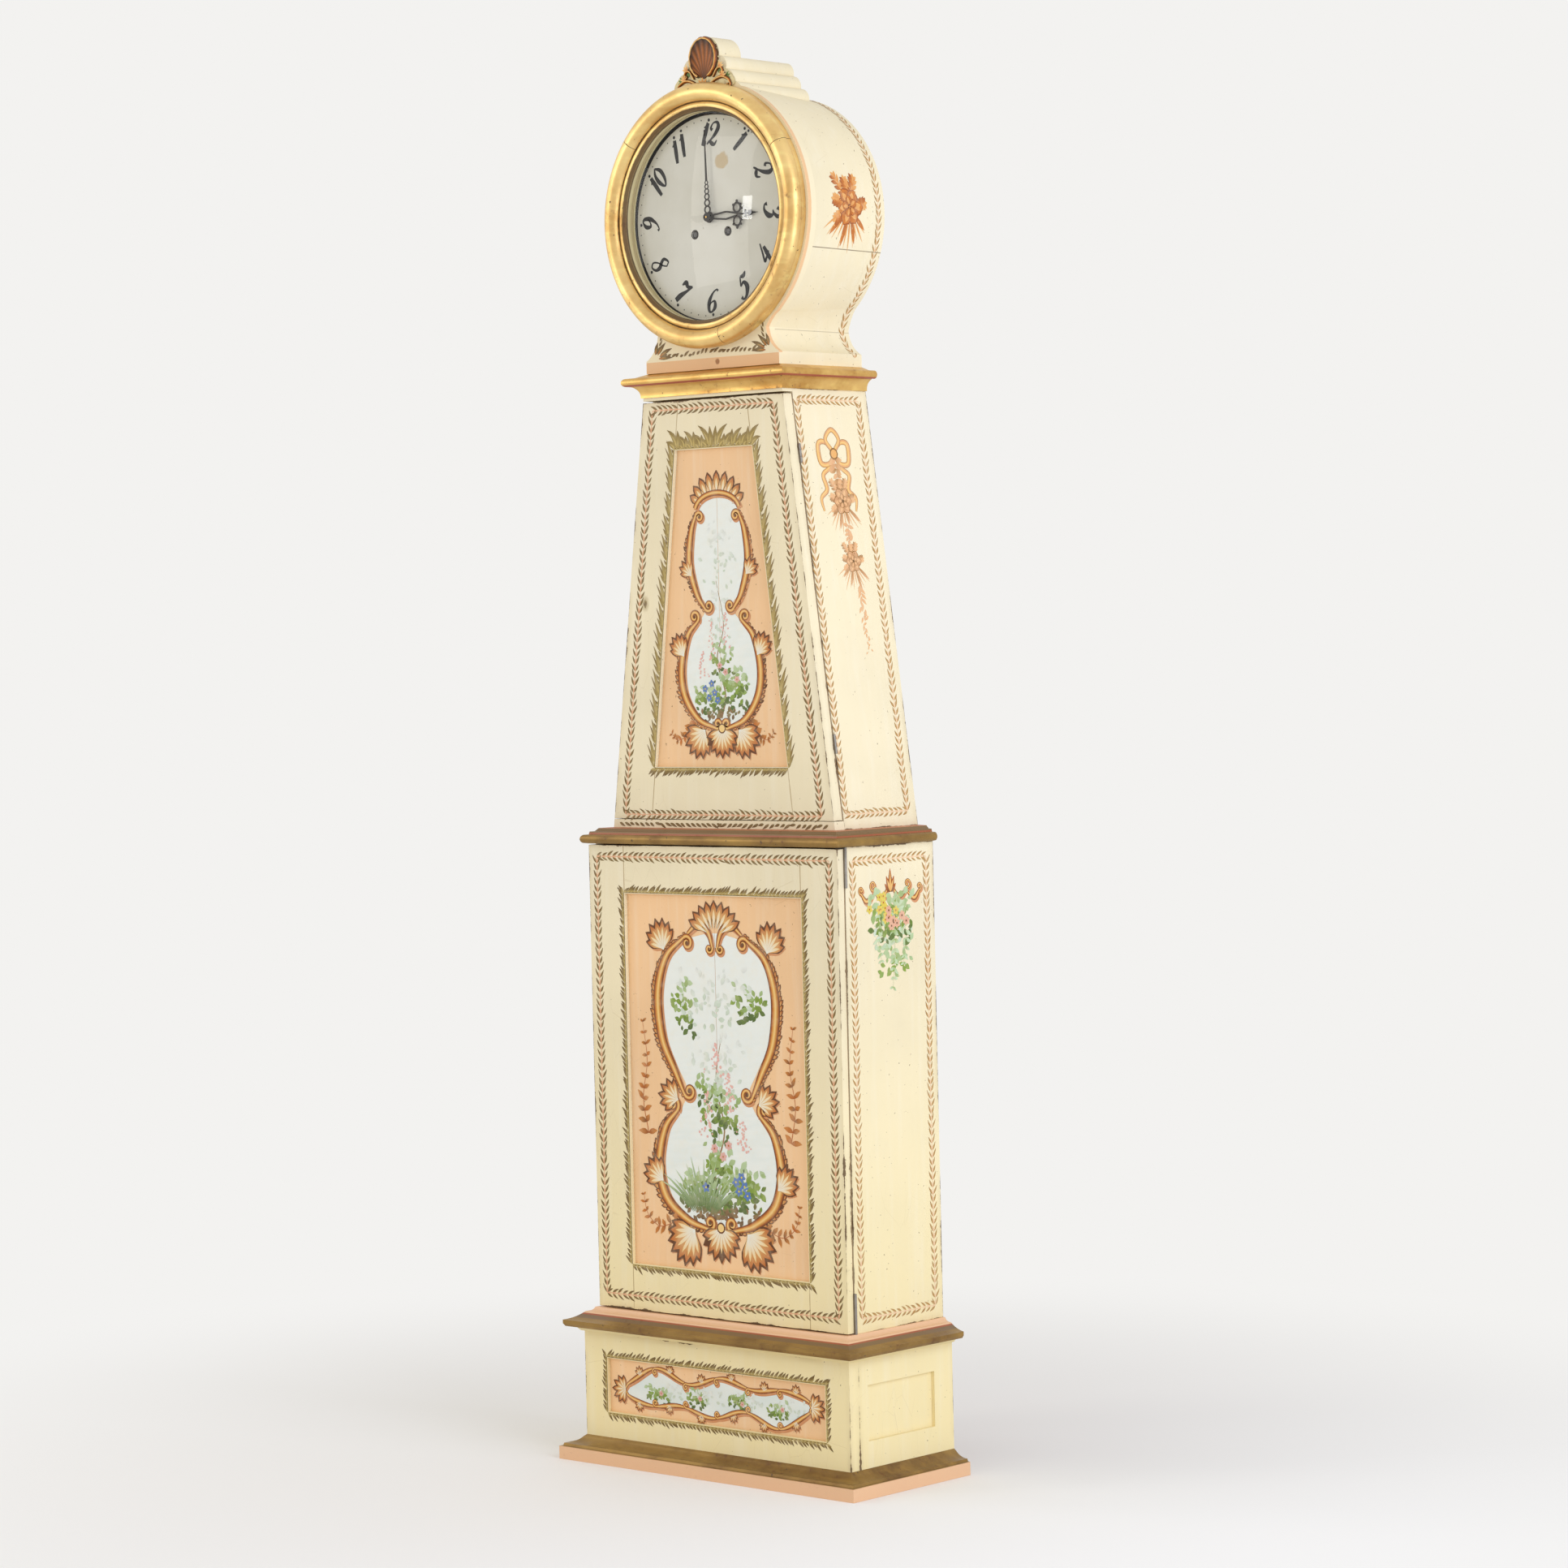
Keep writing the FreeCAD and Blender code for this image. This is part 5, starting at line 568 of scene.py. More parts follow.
class Brushwork:                   # strokes in millimetres on a flat sheet, laid on a surface at the end
    def __init__(self):
        self.spots, self.faces, self.tints, self.lifts, self.count, self.turn = [], [], [], [], 0, 0

    def add(self, spots, faces, tints, lift):
        self.spots.append(spots)
        self.faces.append(faces + self.count)
        self.tints.append(np.broadcast_to(tints, (len(spots), 3)))
        self.lifts.append(np.broadcast_to(np.asarray(lift, float), len(spots)) + self.steps(1))
        self.count += len(spots)

    def steps(self, count):        # golden-ratio steps, so no two strokes share a plane
        self.turn += count
        return 0.03 * ((self.turn + np.arange(count)) * 0.618034 % 1)

    def band(self, line, width, tints, lift=0.2, dome=0.0):
        # Each point of the line spreads sideways by its width, with one column for each tint. A domed band
        # rises by dome * sin(pi share) across its width.
        line = np.asarray(line, float)
        tints = np.atleast_2d(tints)
        if len(tints) == 1:
            tints = np.vstack([tints, tints])
        slope = np.gradient(line, axis=0)
        slope /= np.maximum(np.linalg.norm(slope, axis=1), 1e-9)[:, None]
        side = np.column_stack([-slope[:, 1], slope[:, 0]])
        wide = np.broadcast_to(width, len(line))[:, None, None]
        share = np.linspace(0.5, -0.5, len(tints))[None, :, None]
        spots = line[:, None, :] + side[:, None, :] * wide * share
        colours = np.broadcast_to(tints[None], (len(line), len(tints), 3)).reshape(-1, 3)
        rise = np.broadcast_to(lift + dome * np.sin(np.pi * (0.5 - share[..., 0])),
                               spots.shape[:2]).reshape(-1)
        self.add(spots.reshape(-1, 2), gridFaces(len(line), len(tints)), colours, rise)

    def leaves(self, base, angle, length, width, rootTint, tipTint, bend=0.0, lift=0.25, fullness=0.75):
        # A leaf: its spine turns by bend along its length, its half width is sin(pi t^fullness).
        base = np.atleast_2d(base).astype(float)
        count = len(base)
        given = (angle, length, width, bend)
        angle, length, width, bend = (np.broadcast_to(v, count).astype(float) for v in given)
        rows = 6
        t = np.linspace(0, 1, rows)
        heading = angle[:, None] + bend[:, None] * t[None]
        step = length[:, None] / (rows - 1)
        dx, dy = np.cos(heading) * step, np.sin(heading) * step
        x = base[:, :1] + np.cumsum(np.hstack([np.zeros((count, 1)), dx[:, :-1]]), axis=1)
        y = base[:, 1:] + np.cumsum(np.hstack([np.zeros((count, 1)), dy[:, :-1]]), axis=1)
        half = np.maximum(np.sin(np.pi * t ** fullness), 0.05)[None] * width[:, None] / 2
        side = np.stack([-np.sin(heading), np.cos(heading)], -1)
        spine = np.stack([x, y], -1)
        spots = np.stack([spine + side * half[..., None], spine - side * half[..., None]], 2)
        rootTint = np.broadcast_to(rootTint, (count, 3))[:, None, None, :]
        tipTint = np.broadcast_to(tipTint, (count, 3))[:, None, None, :]
        colours = np.broadcast_to(rootTint + (tipTint - rootTint) * t[None, :, None, None],
                                  (count, rows, 2, 3))
        faces = gridFaces(rows, 2)[None] + (np.arange(count) * 2 * rows)[:, None, None]
        self.add(spots.reshape(-1, 2), faces.reshape(-1, 4), colours.reshape(-1, 3),
                 np.repeat(lift + self.steps(count), 2 * rows))

    def discs(self, centres, radii, tints, lift=0.3, sides=10):
        # Round dabs: a ring of points about each centre, closed by quads of a fan.
        centres = np.atleast_2d(centres).astype(float)
        count = len(centres)
        radii = np.broadcast_to(radii, count)
        angle = np.linspace(0, 2 * np.pi, sides, endpoint=False)
        ring = centres[:, None] + np.stack([np.cos(angle), np.sin(angle)], -1)[None] * radii[:, None, None]
        half = sides // 2
        quads = np.array([[k, k + 1, sides - 2 - k, sides - 1 - k] for k in range(half - 1)])
        faces = quads[None] + (np.arange(count) * sides)[:, None, None]
        colours = np.repeat(np.broadcast_to(tints, (count, 3)), sides, axis=0)
        self.add(ring.reshape(-1, 2), faces.reshape(-1, 4), colours,
                 np.repeat(lift + self.steps(count), sides))

    def filled(self, left, right, tints, lift=0.12, columns=9):
        # A sheet between two lines of equal length: each row runs straight from one to the other.
        share = np.linspace(0, 1, columns)[None, :, None]
        spots = np.asarray(left)[:, None] * (1 - share) + np.asarray(right)[:, None] * share
        colours = np.broadcast_to(tints, (len(left) * columns, 3))
        self.add(spots.reshape(-1, 2), gridFaces(len(left), columns), colours, lift)

    def wall(self, line, low, high, tints):
        # A strip that stands on the sheet along a line, between two lifts.
        line = np.asarray(line, float)
        self.add(np.repeat(line, 2, axis=0), gridFaces(len(line), 2), tints,
                 np.tile([low, high], len(line)))

    def lay(self, name, place, material, body):
        spots = np.vstack(self.spots)
        points = place(spots[:, 0] / 1000, spots[:, 1] / 1000, np.concatenate(self.lifts) / 1000)
        piece = makePiece(name, points, np.vstack(self.faces), material, body, np.vstack(self.tints), False)
        return piece


def flatPlace(origin, across, up):
    # A flat surface: origin + u across + v up + lift along their cross product.
    origin, across, up = (np.array(v, float) for v in (origin, across, up))
    outward = np.cross(across, up)

    def place(u, v, lift):
        return origin + u[:, None] * across + v[:, None] * up + lift[:, None] * outward
    return place


def hoodOutline(radius, hipSpan):
    # The hood's right half from its foot to its top: a short upright, a flare, a hip and the drum.
    foot = drum["footTop"]
    neck = (0.115, foot + 0.058)
    hip = (radius * math.cos(hipSpan), drum["centre"] - radius * math.sin(hipSpan))
    flare = (0.141, foot + 0.0195)

    def arc(start, shares, end, count=24):
        way = [start[k] + (end[k] - start[k]) * shares[k] for k in range(2)]
        a, b, c = (np.array(p, float) for p in (start, way, end))
        d = 2 * (a[0] * (b[1] - c[1]) + b[0] * (c[1] - a[1]) + c[0] * (a[1] - b[1]))
        cx = (a @ a * (b[1] - c[1]) + b @ b * (c[1] - a[1]) + c @ c * (a[1] - b[1])) / d
        cy = (a @ a * (c[0] - b[0]) + b @ b * (a[0] - c[0]) + c @ c * (b[0] - a[0])) / d
        first = math.atan2(a[1] - cy, a[0] - cx)
        last = math.atan2(c[1] - cy, c[0] - cx)
        turn = (last - first + math.pi) % (2 * math.pi) - math.pi
        angle = first + turn * np.linspace(0, 1, count)
        size = math.hypot(a[0] - cx, a[1] - cy)
        return np.column_stack([cx + size * np.cos(angle), cy + size * np.sin(angle)])
    upright = np.linspace((0.141, foot), flare, 6)
    lower = arc(neck, (0.25, 0.52), flare)[::-1]
    middle = arc(neck, (0.3, 0.42), hip)
    drumAngle = np.linspace(-hipSpan, math.pi / 2, 80)
    upper = np.column_stack([radius * np.cos(drumAngle), drum["centre"] + radius * np.sin(drumAngle)])
    return np.vstack([upright[:-1], lower[:-1], middle[:-1], upper])


hoodFront = hoodOutline(drum["frontRadius"], drum["hipSpan"])
hoodBack = hoodOutline(drum["backRadius"], drum["hipSpan"])
hoodWay = travelled((hoodFront + hoodBack) / 2)


def hoodPlace(side):
    # u is the depth y and v the way up along the outline; straight lines join the front and back outlines.
    def place(u, v, lift):
        share = (u - drum["front"]) / drum["depth"]

        def at(way):
            front, back = (alongLine(way, hoodWay, edge) for edge in (hoodFront, hoodBack))
            return front * (1 - share[:, None]) + back * share[:, None]
        spot = at(v)
        slope = at(v + 0.0008) - at(v - 0.0008)
        slope /= np.linalg.norm(slope, axis=1)[:, None]
        x = spot[:, 0] + slope[:, 1] * lift
        z = spot[:, 1] - slope[:, 0] * lift
        return np.column_stack([side * x, u, z])
    return place


def frontPlace(depth, height=0.0):
    return flatPlace((0, depth, height), (1, 0, 0), (0, 0, 1))


def sidePlace(side, half, height, leaning):
    return flatPlace((side * half, 0, height), (0, side, 0), (-side * leaning[1], 0, leaning[0]))


slopeLength = math.hypot(1.0, taper["slope"])
lean = (1.0 / slopeLength, taper["slope"] / slopeLength)
places = {
    "plinthFront": frontPlace(-0.105), "plinthPanel": frontPlace(-0.099), "lowerDoor": frontPlace(-0.086),
    "lowerPanel": frontPlace(-0.080), "upperDoor": frontPlace(-0.057), "upperPanel": frontPlace(-0.051),
    "hoodFace": frontPlace(-0.055), "dial": frontPlace(-0.049, drum["dialCentre"]),
}
for side, word in ((1, "Right"), (-1, "Left")):
    places["lower" + word] = sidePlace(side, 0.265, 0.0, (1.0, 0.0))
    places["upper" + word] = sidePlace(side, taper["footHalf"], taper["footHeight"], lean)
    places["hood" + word] = hoodPlace(side)

brushPaint = Paint("brushPaint", Specular_IOR_Level=0.3)
brushTint = brushPaint.node("ShaderNodeVertexColor", {"layer_name": "tint"})
brushCloud = brushPaint.noise(70.0, 4.0, 0.6)
brushGrain = brushPaint.noise(420.0, 2.0, 0.6)
brushColour = brushPaint.mix(brushCloud.rise(0.4, 0.75) * 0.16, brushTint, linear(236, 222, 188))
brushColour = brushPaint.mix(brushGrain.rise(0.6, 0.85) * 0.2, brushColour, linear(232, 214, 176))
brushPaint.finish(Base_Color=brushColour, Roughness=brushCloud * 0.15 + 0.42)
inkPaint = Paint("inkPaint", Specular_IOR_Level=0.35)
inkCloud = inkPaint.noise(160.0, 4.0, 0.65)
inkPaint.finish(Base_Color=inkPaint.mix(inkCloud.rise(0.55, 0.8) * 0.3, linear(22, 20, 18),
                                        linear(84, 78, 70)),
                Roughness=inkCloud * 0.2 + 0.4)

tint = {
    "leafDark": (104, 74, 34), "leafOlive": (128, 104, 54), "leafPink": (226, 168, 128),
    "sideDark": (158, 112, 58), "sideOlive": (184, 144, 84), "sidePink": (236, 198, 158),
    "goldOlive": (168, 144, 76), "goldPale": (196, 172, 104), "umber": (104, 60, 24), "rust": (186, 98, 34),
    "ochre": (220, 156, 70), "straw": (240, 202, 128), "sky": (234, 236, 228), "skyDeep": (214, 224, 218),
    "ghost": (206, 218, 196), "green": (134, 160, 60), "greenDark": (88, 110, 50),
    "greenPale": (184, 204, 156), "pink": (230, 176, 164), "blue": (92, 126, 186), "earth": (150, 118, 78),
    "crestBoard": (206, 192, 146), "shade": (206, 140, 92), "bouquet": (206, 122, 48),
    "bouquetDark": (160, 84, 36), "bouquetPale": (232, 174, 104), "yellow": (222, 200, 60),
}
tint = {key: np.array(linear(*given)) for key, given in tint.items()}


def laurel(work, line, palette, step=11.4, leaf=(15.0, 3.6), spread=0.54, jitter=0.08):
    # A thin peach stem; at each step a slim peach leaf on both sides, under a darker stroke. The strokes of
    # one side are darker still, as if shaded.
    dark, mid, pink = palette
    spots, heading = evenly(line, step)
    spots, heading = spots[:-1], heading[:-1]
    dense, _ = evenly(line, 4.0)
    work.band(dense, 1.1, pink, 0.10)
    count = len(spots)
    along = np.column_stack([np.cos(heading), np.sin(heading)])
    for side in (1, -1):
        across = np.column_stack([-np.sin(heading), np.cos(heading)]) * side
        swing = heading + side * spread + chance.normal(0, jitter, count)
        size = leaf[0] * chance.uniform(0.82, 1.14, count)
        work.leaves(spots + across * 0.3, swing - side * 0.2, size * 0.62, leaf[1] * 0.62, pink, pink,
                    -side * 0.2, 0.14)
        blend = chance.uniform(0, 0.6, (count, 1)) + (0.4 if side < 0 else 0.0)
        work.leaves(spots + across * 1.2 + along * 0.6, swing, size,
                    leaf[1] * chance.uniform(0.75, 1.1, count), mid,
                    dark * (1 - blend) + mid * blend, -side * 0.2, 0.2, 0.8)


def serrated(work, line, inward, step=7.6, leaf=17.5, band=2.6):
    # A thin gold line along a panel's edge, with olive strokes leaning out of it over paler ones.
    dark, pale = tint["leafDark"] * 0.85, tint["goldPale"]
    mid = (tint["goldOlive"] + tint["leafOlive"]) * 0.5
    dense, slope = evenly(line, 5.0)
    out = np.column_stack([-np.sin(slope), np.cos(slope)]) * -inward
    work.band(dense + out * band * 0.5, band, np.array([pale, mid, dark]), 0.12)
    spots, heading = evenly(line, step)
    count = len(spots)
    out = np.column_stack([-np.sin(heading), np.cos(heading)]) * -inward
    swing = heading - inward * (0.64 + chance.normal(0, 0.1, count))
    size = leaf * chance.uniform(0.75, 1.2, count)
    work.leaves(spots + out * band * 0.4, swing, size, leaf * 0.25, mid, dark, -inward * 0.12, 0.18, 0.9)
    work.leaves(spots + out * band * 0.4, swing + inward * 0.24, size * 0.6, leaf * 0.16, pale, mid,
                inward * 0.1, 0.24, 0.8)


def mirrored(side):
    # Points of the right half, turned over for the left one.
    return lambda points: np.asarray(points, float) * [side, 1.0]


def frameLine(half, low, high, halfHigh=None, rightward=False):
    # Right side, top, left side and foot of a frame. Top and foot run to the left, or to the right if
    # asked.
    halfHigh = half if halfHigh is None else halfHigh
    top, foot = np.array([[halfHigh, high], [-halfHigh, high]]), np.array([[half, low], [-half, low]])
    if rightward:
        top, foot = top[::-1], foot[::-1]
    return [np.array([[half, low], [halfHigh, high]]), top,
            np.array([[-half, low], [-halfHigh, high]]), foot]


warm = (tint["leafDark"], tint["leafOlive"], tint["leafPink"])
faded = (tint["sideDark"], tint["sideOlive"], tint["sidePink"])
fadedLeaf = (14.5, 3.4)
green = (tint["greenDark"], tint["green"], tint["greenPale"])
woody = (tint["earth"] * 0.6, tint["earth"], tint["greenDark"])
ghost = (tint["ghost"], tint["ghost"] * 0.5 + tint["sky"] * 0.5, tint["sky"])
brown = (tint["umber"], tint["rust"], tint["ochre"])


def curl(centre, radius, turns, start, spin, count=26):
    # A volute: the radius shrinks evenly as the angle runs on.
    t = np.linspace(0, 1, count)
    angle = start + spin * 2 * np.pi * turns * t
    reach = radius * (1 - 0.86 * t)
    return np.column_stack([centre[0] + reach * np.cos(angle), centre[1] + reach * np.sin(angle)])


def carvedBand(work, line, width, lift=0.3):
    # Painted relief: dark outside, rust, ochre, straw light and a thin dark inner edge, over a soft shadow.
    grades = np.array([tint["umber"] * 0.5, tint["rust"] * 0.8, tint["ochre"], tint["straw"],
                       tint["ochre"] * 0.9, tint["rust"] * 0.7, tint["umber"] * 0.5])
    line = np.asarray(line, float)
    width = np.broadcast_to(width, len(line)) * 1.45
    work.band(line + np.array([2.4, -3.0]), width * 1.15, tint["shade"], lift - 0.12)
    work.band(line, width, grades, lift)


def swelling(count, thin, thick):
    # Widths that grow from thin to thick at the middle and back, by half a sine wave.
    return thin + (thick - thin) * np.sin(np.pi * np.linspace(0, 1, count))


def scroll(work, controls, thin, thick, curlStart=None, curlEnd=None, lift=0.3, fluted=1.0):
    # A C or S scroll through the controls, fluted along its outer side, with a volute wound on either end.
    line = smoothLine(controls, 9)
    outside = np.sign(line[len(line) // 2, 0] + 1e-6)
    spots, heading = evenly(line, 7.0)
    t = np.linspace(0, 1, len(spots))
    swing = heading - outside * (1.35 - 0.6 * t)
    long = fluted * thick * (0.55 + 0.75 * np.sin(np.pi * t)) * chance.uniform(0.85, 1.15, len(spots)) + 0.1
    for grow, broad, root, tip, rise in ((1.14, 0.66, tint["umber"] * 0.6, tint["umber"], 0.0),
                                         (1.0, 0.46, tint["straw"], tint["rust"], 0.02),
                                         (0.8, 0.16, tint["straw"], tint["ochre"], 0.04)):
        work.leaves(spots, swing, long * grow, broad * thick * min(1.0, fluted + 0.2), root, tip,
                    outside * 0.35, lift - 0.08 + rise, 1.35)
    carvedBand(work, line, swelling(len(line), thin, thick), lift + 0.04)
    for at, which in ((0, curlStart), (-1, curlEnd)):
        if which:
            radius, spin = which
            step = line[at] - line[1 if at == 0 else -2]
            heading = math.atan2(step[1], step[0])
            normal = heading + spin * math.pi / 2
            centre = line[at] + radius * np.array([math.cos(normal), math.sin(normal)])
            volute = curl(centre, radius, 1.35, normal + math.pi, spin)
            carvedBand(work, volute, np.linspace(thin * 1.3, thin * 0.8, len(volute)), lift + 0.1)
            work.discs([centre], radius * 0.3, tint["umber"], lift + 0.16)


def plume(work, base, angle, size, count=7, spreadAngle=1.5, lift=0.34):
    # A shell of round-ended lobes over a soft shadow: dark between them, pale at the root, rust at the tip.
    share = np.linspace(-0.5, 0.5, count)
    swing = angle + share * spreadAngle
    reach = size * (1.0 - 0.9 * share ** 2)
    at = np.tile(np.asarray(base, float), (count, 1))
    work.leaves(at + [2.0, -2.6], swing, reach * 1.06, size * 0.34, tint["shade"], tint["shade"],
                share * 0.9, lift - 0.14, 1.2)
    for grow, broad, root, tip in ((1.08, 0.36, tint["umber"] * 0.55, tint["umber"]),
                                   (0.97, 0.25, tint["straw"], tint["rust"]),
                                   (0.78, 0.10, tint["sky"], tint["straw"])):
        lift += 0.045
        work.leaves(at, swing, reach * grow, size * broad, root, tip, share * 0.9, lift, 1.5)


def bush(work, centre, spread, count, size, palette, lift=0.3):
    # A loose heap of small leaves about a centre, dark low down and pale at the top.
    dark, mid, pale = palette
    spots = np.clip(chance.normal(0, 1, (count, 2)), -1.7, 1.7)
    rise = np.clip(0.5 + 0.35 * spots[:, 1:] + chance.normal(0, 0.15, (count, 1)), 0, 1)
    tints = np.where(rise < 0.5, dark + (mid - dark) * rise * 2, mid + (pale - mid) * (rise * 2 - 1))
    long = size * chance.uniform(0.6, 1.2, count)
    work.leaves(np.asarray(centre, float) + spots * spread, chance.uniform(0, 2 * np.pi, count), long,
                long * 0.62, tints * 0.85, tints, 0.3, lift, 1.0)


def spray(work, controls, leafSize, palette, count, lift=0.3, stemTint=None):
    # A wandering stem with leaves to both sides, smaller towards its tip.
    line = smoothLine(controls, 8)
    work.band(line, np.linspace(1.4, 0.5, len(line)), palette[1] if stemTint is None else stemTint, lift)
    length = np.sum(np.linalg.norm(np.diff(line, axis=0), axis=1))
    spots, heading = evenly(line, max(2.0, length / count))
    t = np.linspace(1, 0.45, len(spots))
    for side in (1, -1):
        swing = heading + side * (0.9 + chance.normal(0, 0.25, len(spots)))
        blend = chance.uniform(0, 1, (len(spots), 1))
        root = palette[0] * blend + palette[1] * (1 - blend)
        work.leaves(spots, swing, leafSize * t * chance.uniform(0.7, 1.25, len(spots)), leafSize * 0.48 * t,
                    root, palette[1] * 0.5 + palette[2] * 0.5, side * 0.4, lift + 0.05, 0.85)


def blossom(work, centre, size, petalTint, heartTint, petals=5, lift=0.42):
    angle = np.linspace(0, 2 * np.pi, petals, endpoint=False) + chance.uniform(0, 1)
    at = np.tile(np.asarray(centre, float), (petals, 1))
    work.leaves(at, angle, size, size * 0.72, petalTint * 0.8, petalTint, 0.25, lift, 1.15)
    work.discs([centre], size * 0.2, heartTint, lift + 0.06)


def plant(work, low, art):
    # A brown stem in heaps of leaves, spikes of small bells and a few open flowers, all above the foot low.
    stem = smoothLine([(x, low + y) for x, y in art["stem"]], 8)
    work.band(stem, np.linspace(*art["stemWidth"], len(stem)), tint["earth"], 0.2)
    for spot, spread, count, size, palette in art["heaps"]:
        bush(work, (spot[0], low + spot[1]), spread, count, size, palette)
    count = art["bells"]
    for x, y, tall in art["spikes"]:
        heights = np.linspace(0, tall, count)
        aside = chance.normal(0, art["bellSpread"], count) * (1 - heights / tall * 0.7)
        dots = np.column_stack([x + aside, low + y + heights])
        work.discs(dots, chance.uniform(*art["bellSize"], count), tint["pink"], 0.4, 6)
    for x, y in art["blueFlowers"]:
        blossom(work, (x, low + y), art["blueSize"], tint["blue"], tint["yellow"], 5)
    for x, y in art["pinkFlowers"]:
        blossom(work, (x, low + y), art["pinkSize"], tint["pink"], tint["rust"], art["pinkPetals"])


def crownShell(work, high, shell):
    # Lobes fanned over the top in three layers: dark, straw to rust, and pale.
    fan = np.linspace(-1.25, 1.25, 9)
    base = np.column_stack([shell["half"] * np.sin(fan),
                            high - shell["drop"] + shell["rise"] * np.cos(fan)])
    shorter = 1 - shell["shorten"] * fan ** 2
    tints = ((tint["umber"] * 0.55, tint["umber"]), (tint["straw"], tint["rust"]),
             (tint["sky"], tint["straw"]))
    for layer, ((long, wide), (root, tip)) in enumerate(zip(shell["sizes"], tints)):
        work.leaves(base, math.pi / 2 - fan * shell["turn"], long * shorter, wide, root, tip, 0,
                    shell["lift"] + 0.06 * layer, 1.5)


def cartouche(work, profile, low, high):
    # A pale field whose half width follows the profile curve from low to high, both sides alike.
    rows = smoothLine(profile, 10)
    heights = low + (high - low) * rows[:, 1]
    right = np.column_stack([rows[:, 0], heights])
    left = np.column_stack([-rows[:, 0], heights])
    columns = 6
    t = np.linspace(0, 1, len(rows))[:, None, None]
    for edge, side in ((right, 1), (left, -1)):
        cloud = chance.uniform(0, 1, (len(rows), columns, 1)) * (1 - t) * 0.5
        tints = tint["sky"] * (1 - cloud) + tint["skyDeep"] * cloud
        middle = np.column_stack([np.full(len(rows), 0.35 * side), edge[:, 1]])
        pair = (middle, edge) if side > 0 else (edge, middle)
        work.filled(pair[0], pair[1], tints.reshape(-1, 3), 0.14, columns)


def panelCartouche(name, place, body, art):
    # A pale field framed by scrolls and shells, alike on both sides, with a plant inside. The rows of art
    # are x in millimetres, a share of the field's height, and an offset in millimetres.
    work = Brushwork()
    low, high = art["heights"]

    def points(rows, side=1):
        return [(side * x, low + share * (high - low) + offset) for x, share, offset in rows]

    cartouche(work, art["profile"], low, high)
    for side in (1, -1):
        for rows, widths, curls, lift, fluted in art["scrolls"]:
            first, last = (each and (each[0], each[1] * side) for each in curls)
            scroll(work, points(rows, side), *widths, first, last, lift, fluted)
        for row, up, turn, size, count, spreadAngle in art["shells"]:
            plume(work, points([row], side)[0], up * (math.pi / 2 - side * turn), size, count, spreadAngle)
        for rows, size, count in art["sprays"]:
            spray(work, points(rows, side), size, brown, count)
    crownShell(work, high, art["crown"])
    if "arch" in art:
        half, drop, rise = art["arch"]
        arch = np.linspace(-1.4, 1.4, 30)
        carvedBand(work, np.column_stack([half * np.sin(arch), high - drop + rise * np.cos(arch)]), 6.4,
                   0.6)
    offset, size, spreadAngle, outer, inner = art["foot"]
    plume(work, (0, low + offset), -math.pi / 2, size, 9, spreadAngle, 0.44)
    work.discs([(0, low + offset)], outer, tint["umber"], 0.62)
    work.discs([(0, low + offset)], inner, tint["straw"], 0.66)
    plant(work, low, art["plant"])
    if "grass" in art:             # long blades at the left foot
        count, size = art["grass"]
        blades = np.linspace(-1, 1, count)
        work.leaves(np.column_stack([blades * 24 - 34, np.full(count, low + 20)]),
                    math.pi / 2 - blades * 0.8, size + 16 * chance.uniform(-1, 1, count), 5.0,
                    tint["greenDark"], tint["greenPale"], -blades * 0.5, 0.4)
    work.lay(name, places[place], brushPaint.material, body)


# upper door
upperDoorArt = {"borderHalf": (209.0, 128.5), "borderHeight": (1029.0, 1664.0),
                "openingHalf": (141.0, 82.0),
                "openingHeight": (1104.0, 1600.0), "leafSizes": (12.0, 10.0, 12.0, 19.0), "points": 14,
                "pointSize": 40.0,
                "topLeaves": ((9, 42), (27, 25), (44, 33), (61, 24), (78, 37))}
upperPlant = {
    "stem": ((0, 12), (9, 50), (-7, 104), (8, 158), (-6, 226)), "stemWidth": (3.4, 0.8),
    "heaps": (((0, 18), (30, 6), 60, 9, woody), ((-22, 42), (17, 11), 60, 11, green),
              ((24, 56), (18, 16), 80, 12, green), ((2, 100), (12, 17), 44, 10, green),
              ((-2, 176), (11, 24), 34, 9, ghost), ((0, 268), (20, 28), 44, 9, ghost)),
    "bells": 26, "bellSpread": 6.0, "bellSize": (0.9, 2.1),
              "spikes": ((-20, 104, 60), (12, 120, 56), (-38, 76, 40)),
    "blueFlowers": ((-26, 44), (-14, 52), (-34, 58), (-20, 66), (-8, 40)), "blueSize": 6.5,
    "pinkFlowers": ((10, 84), (-2, 94), (34, 72)), "pinkSize": 6.0, "pinkPetals": 5,
}
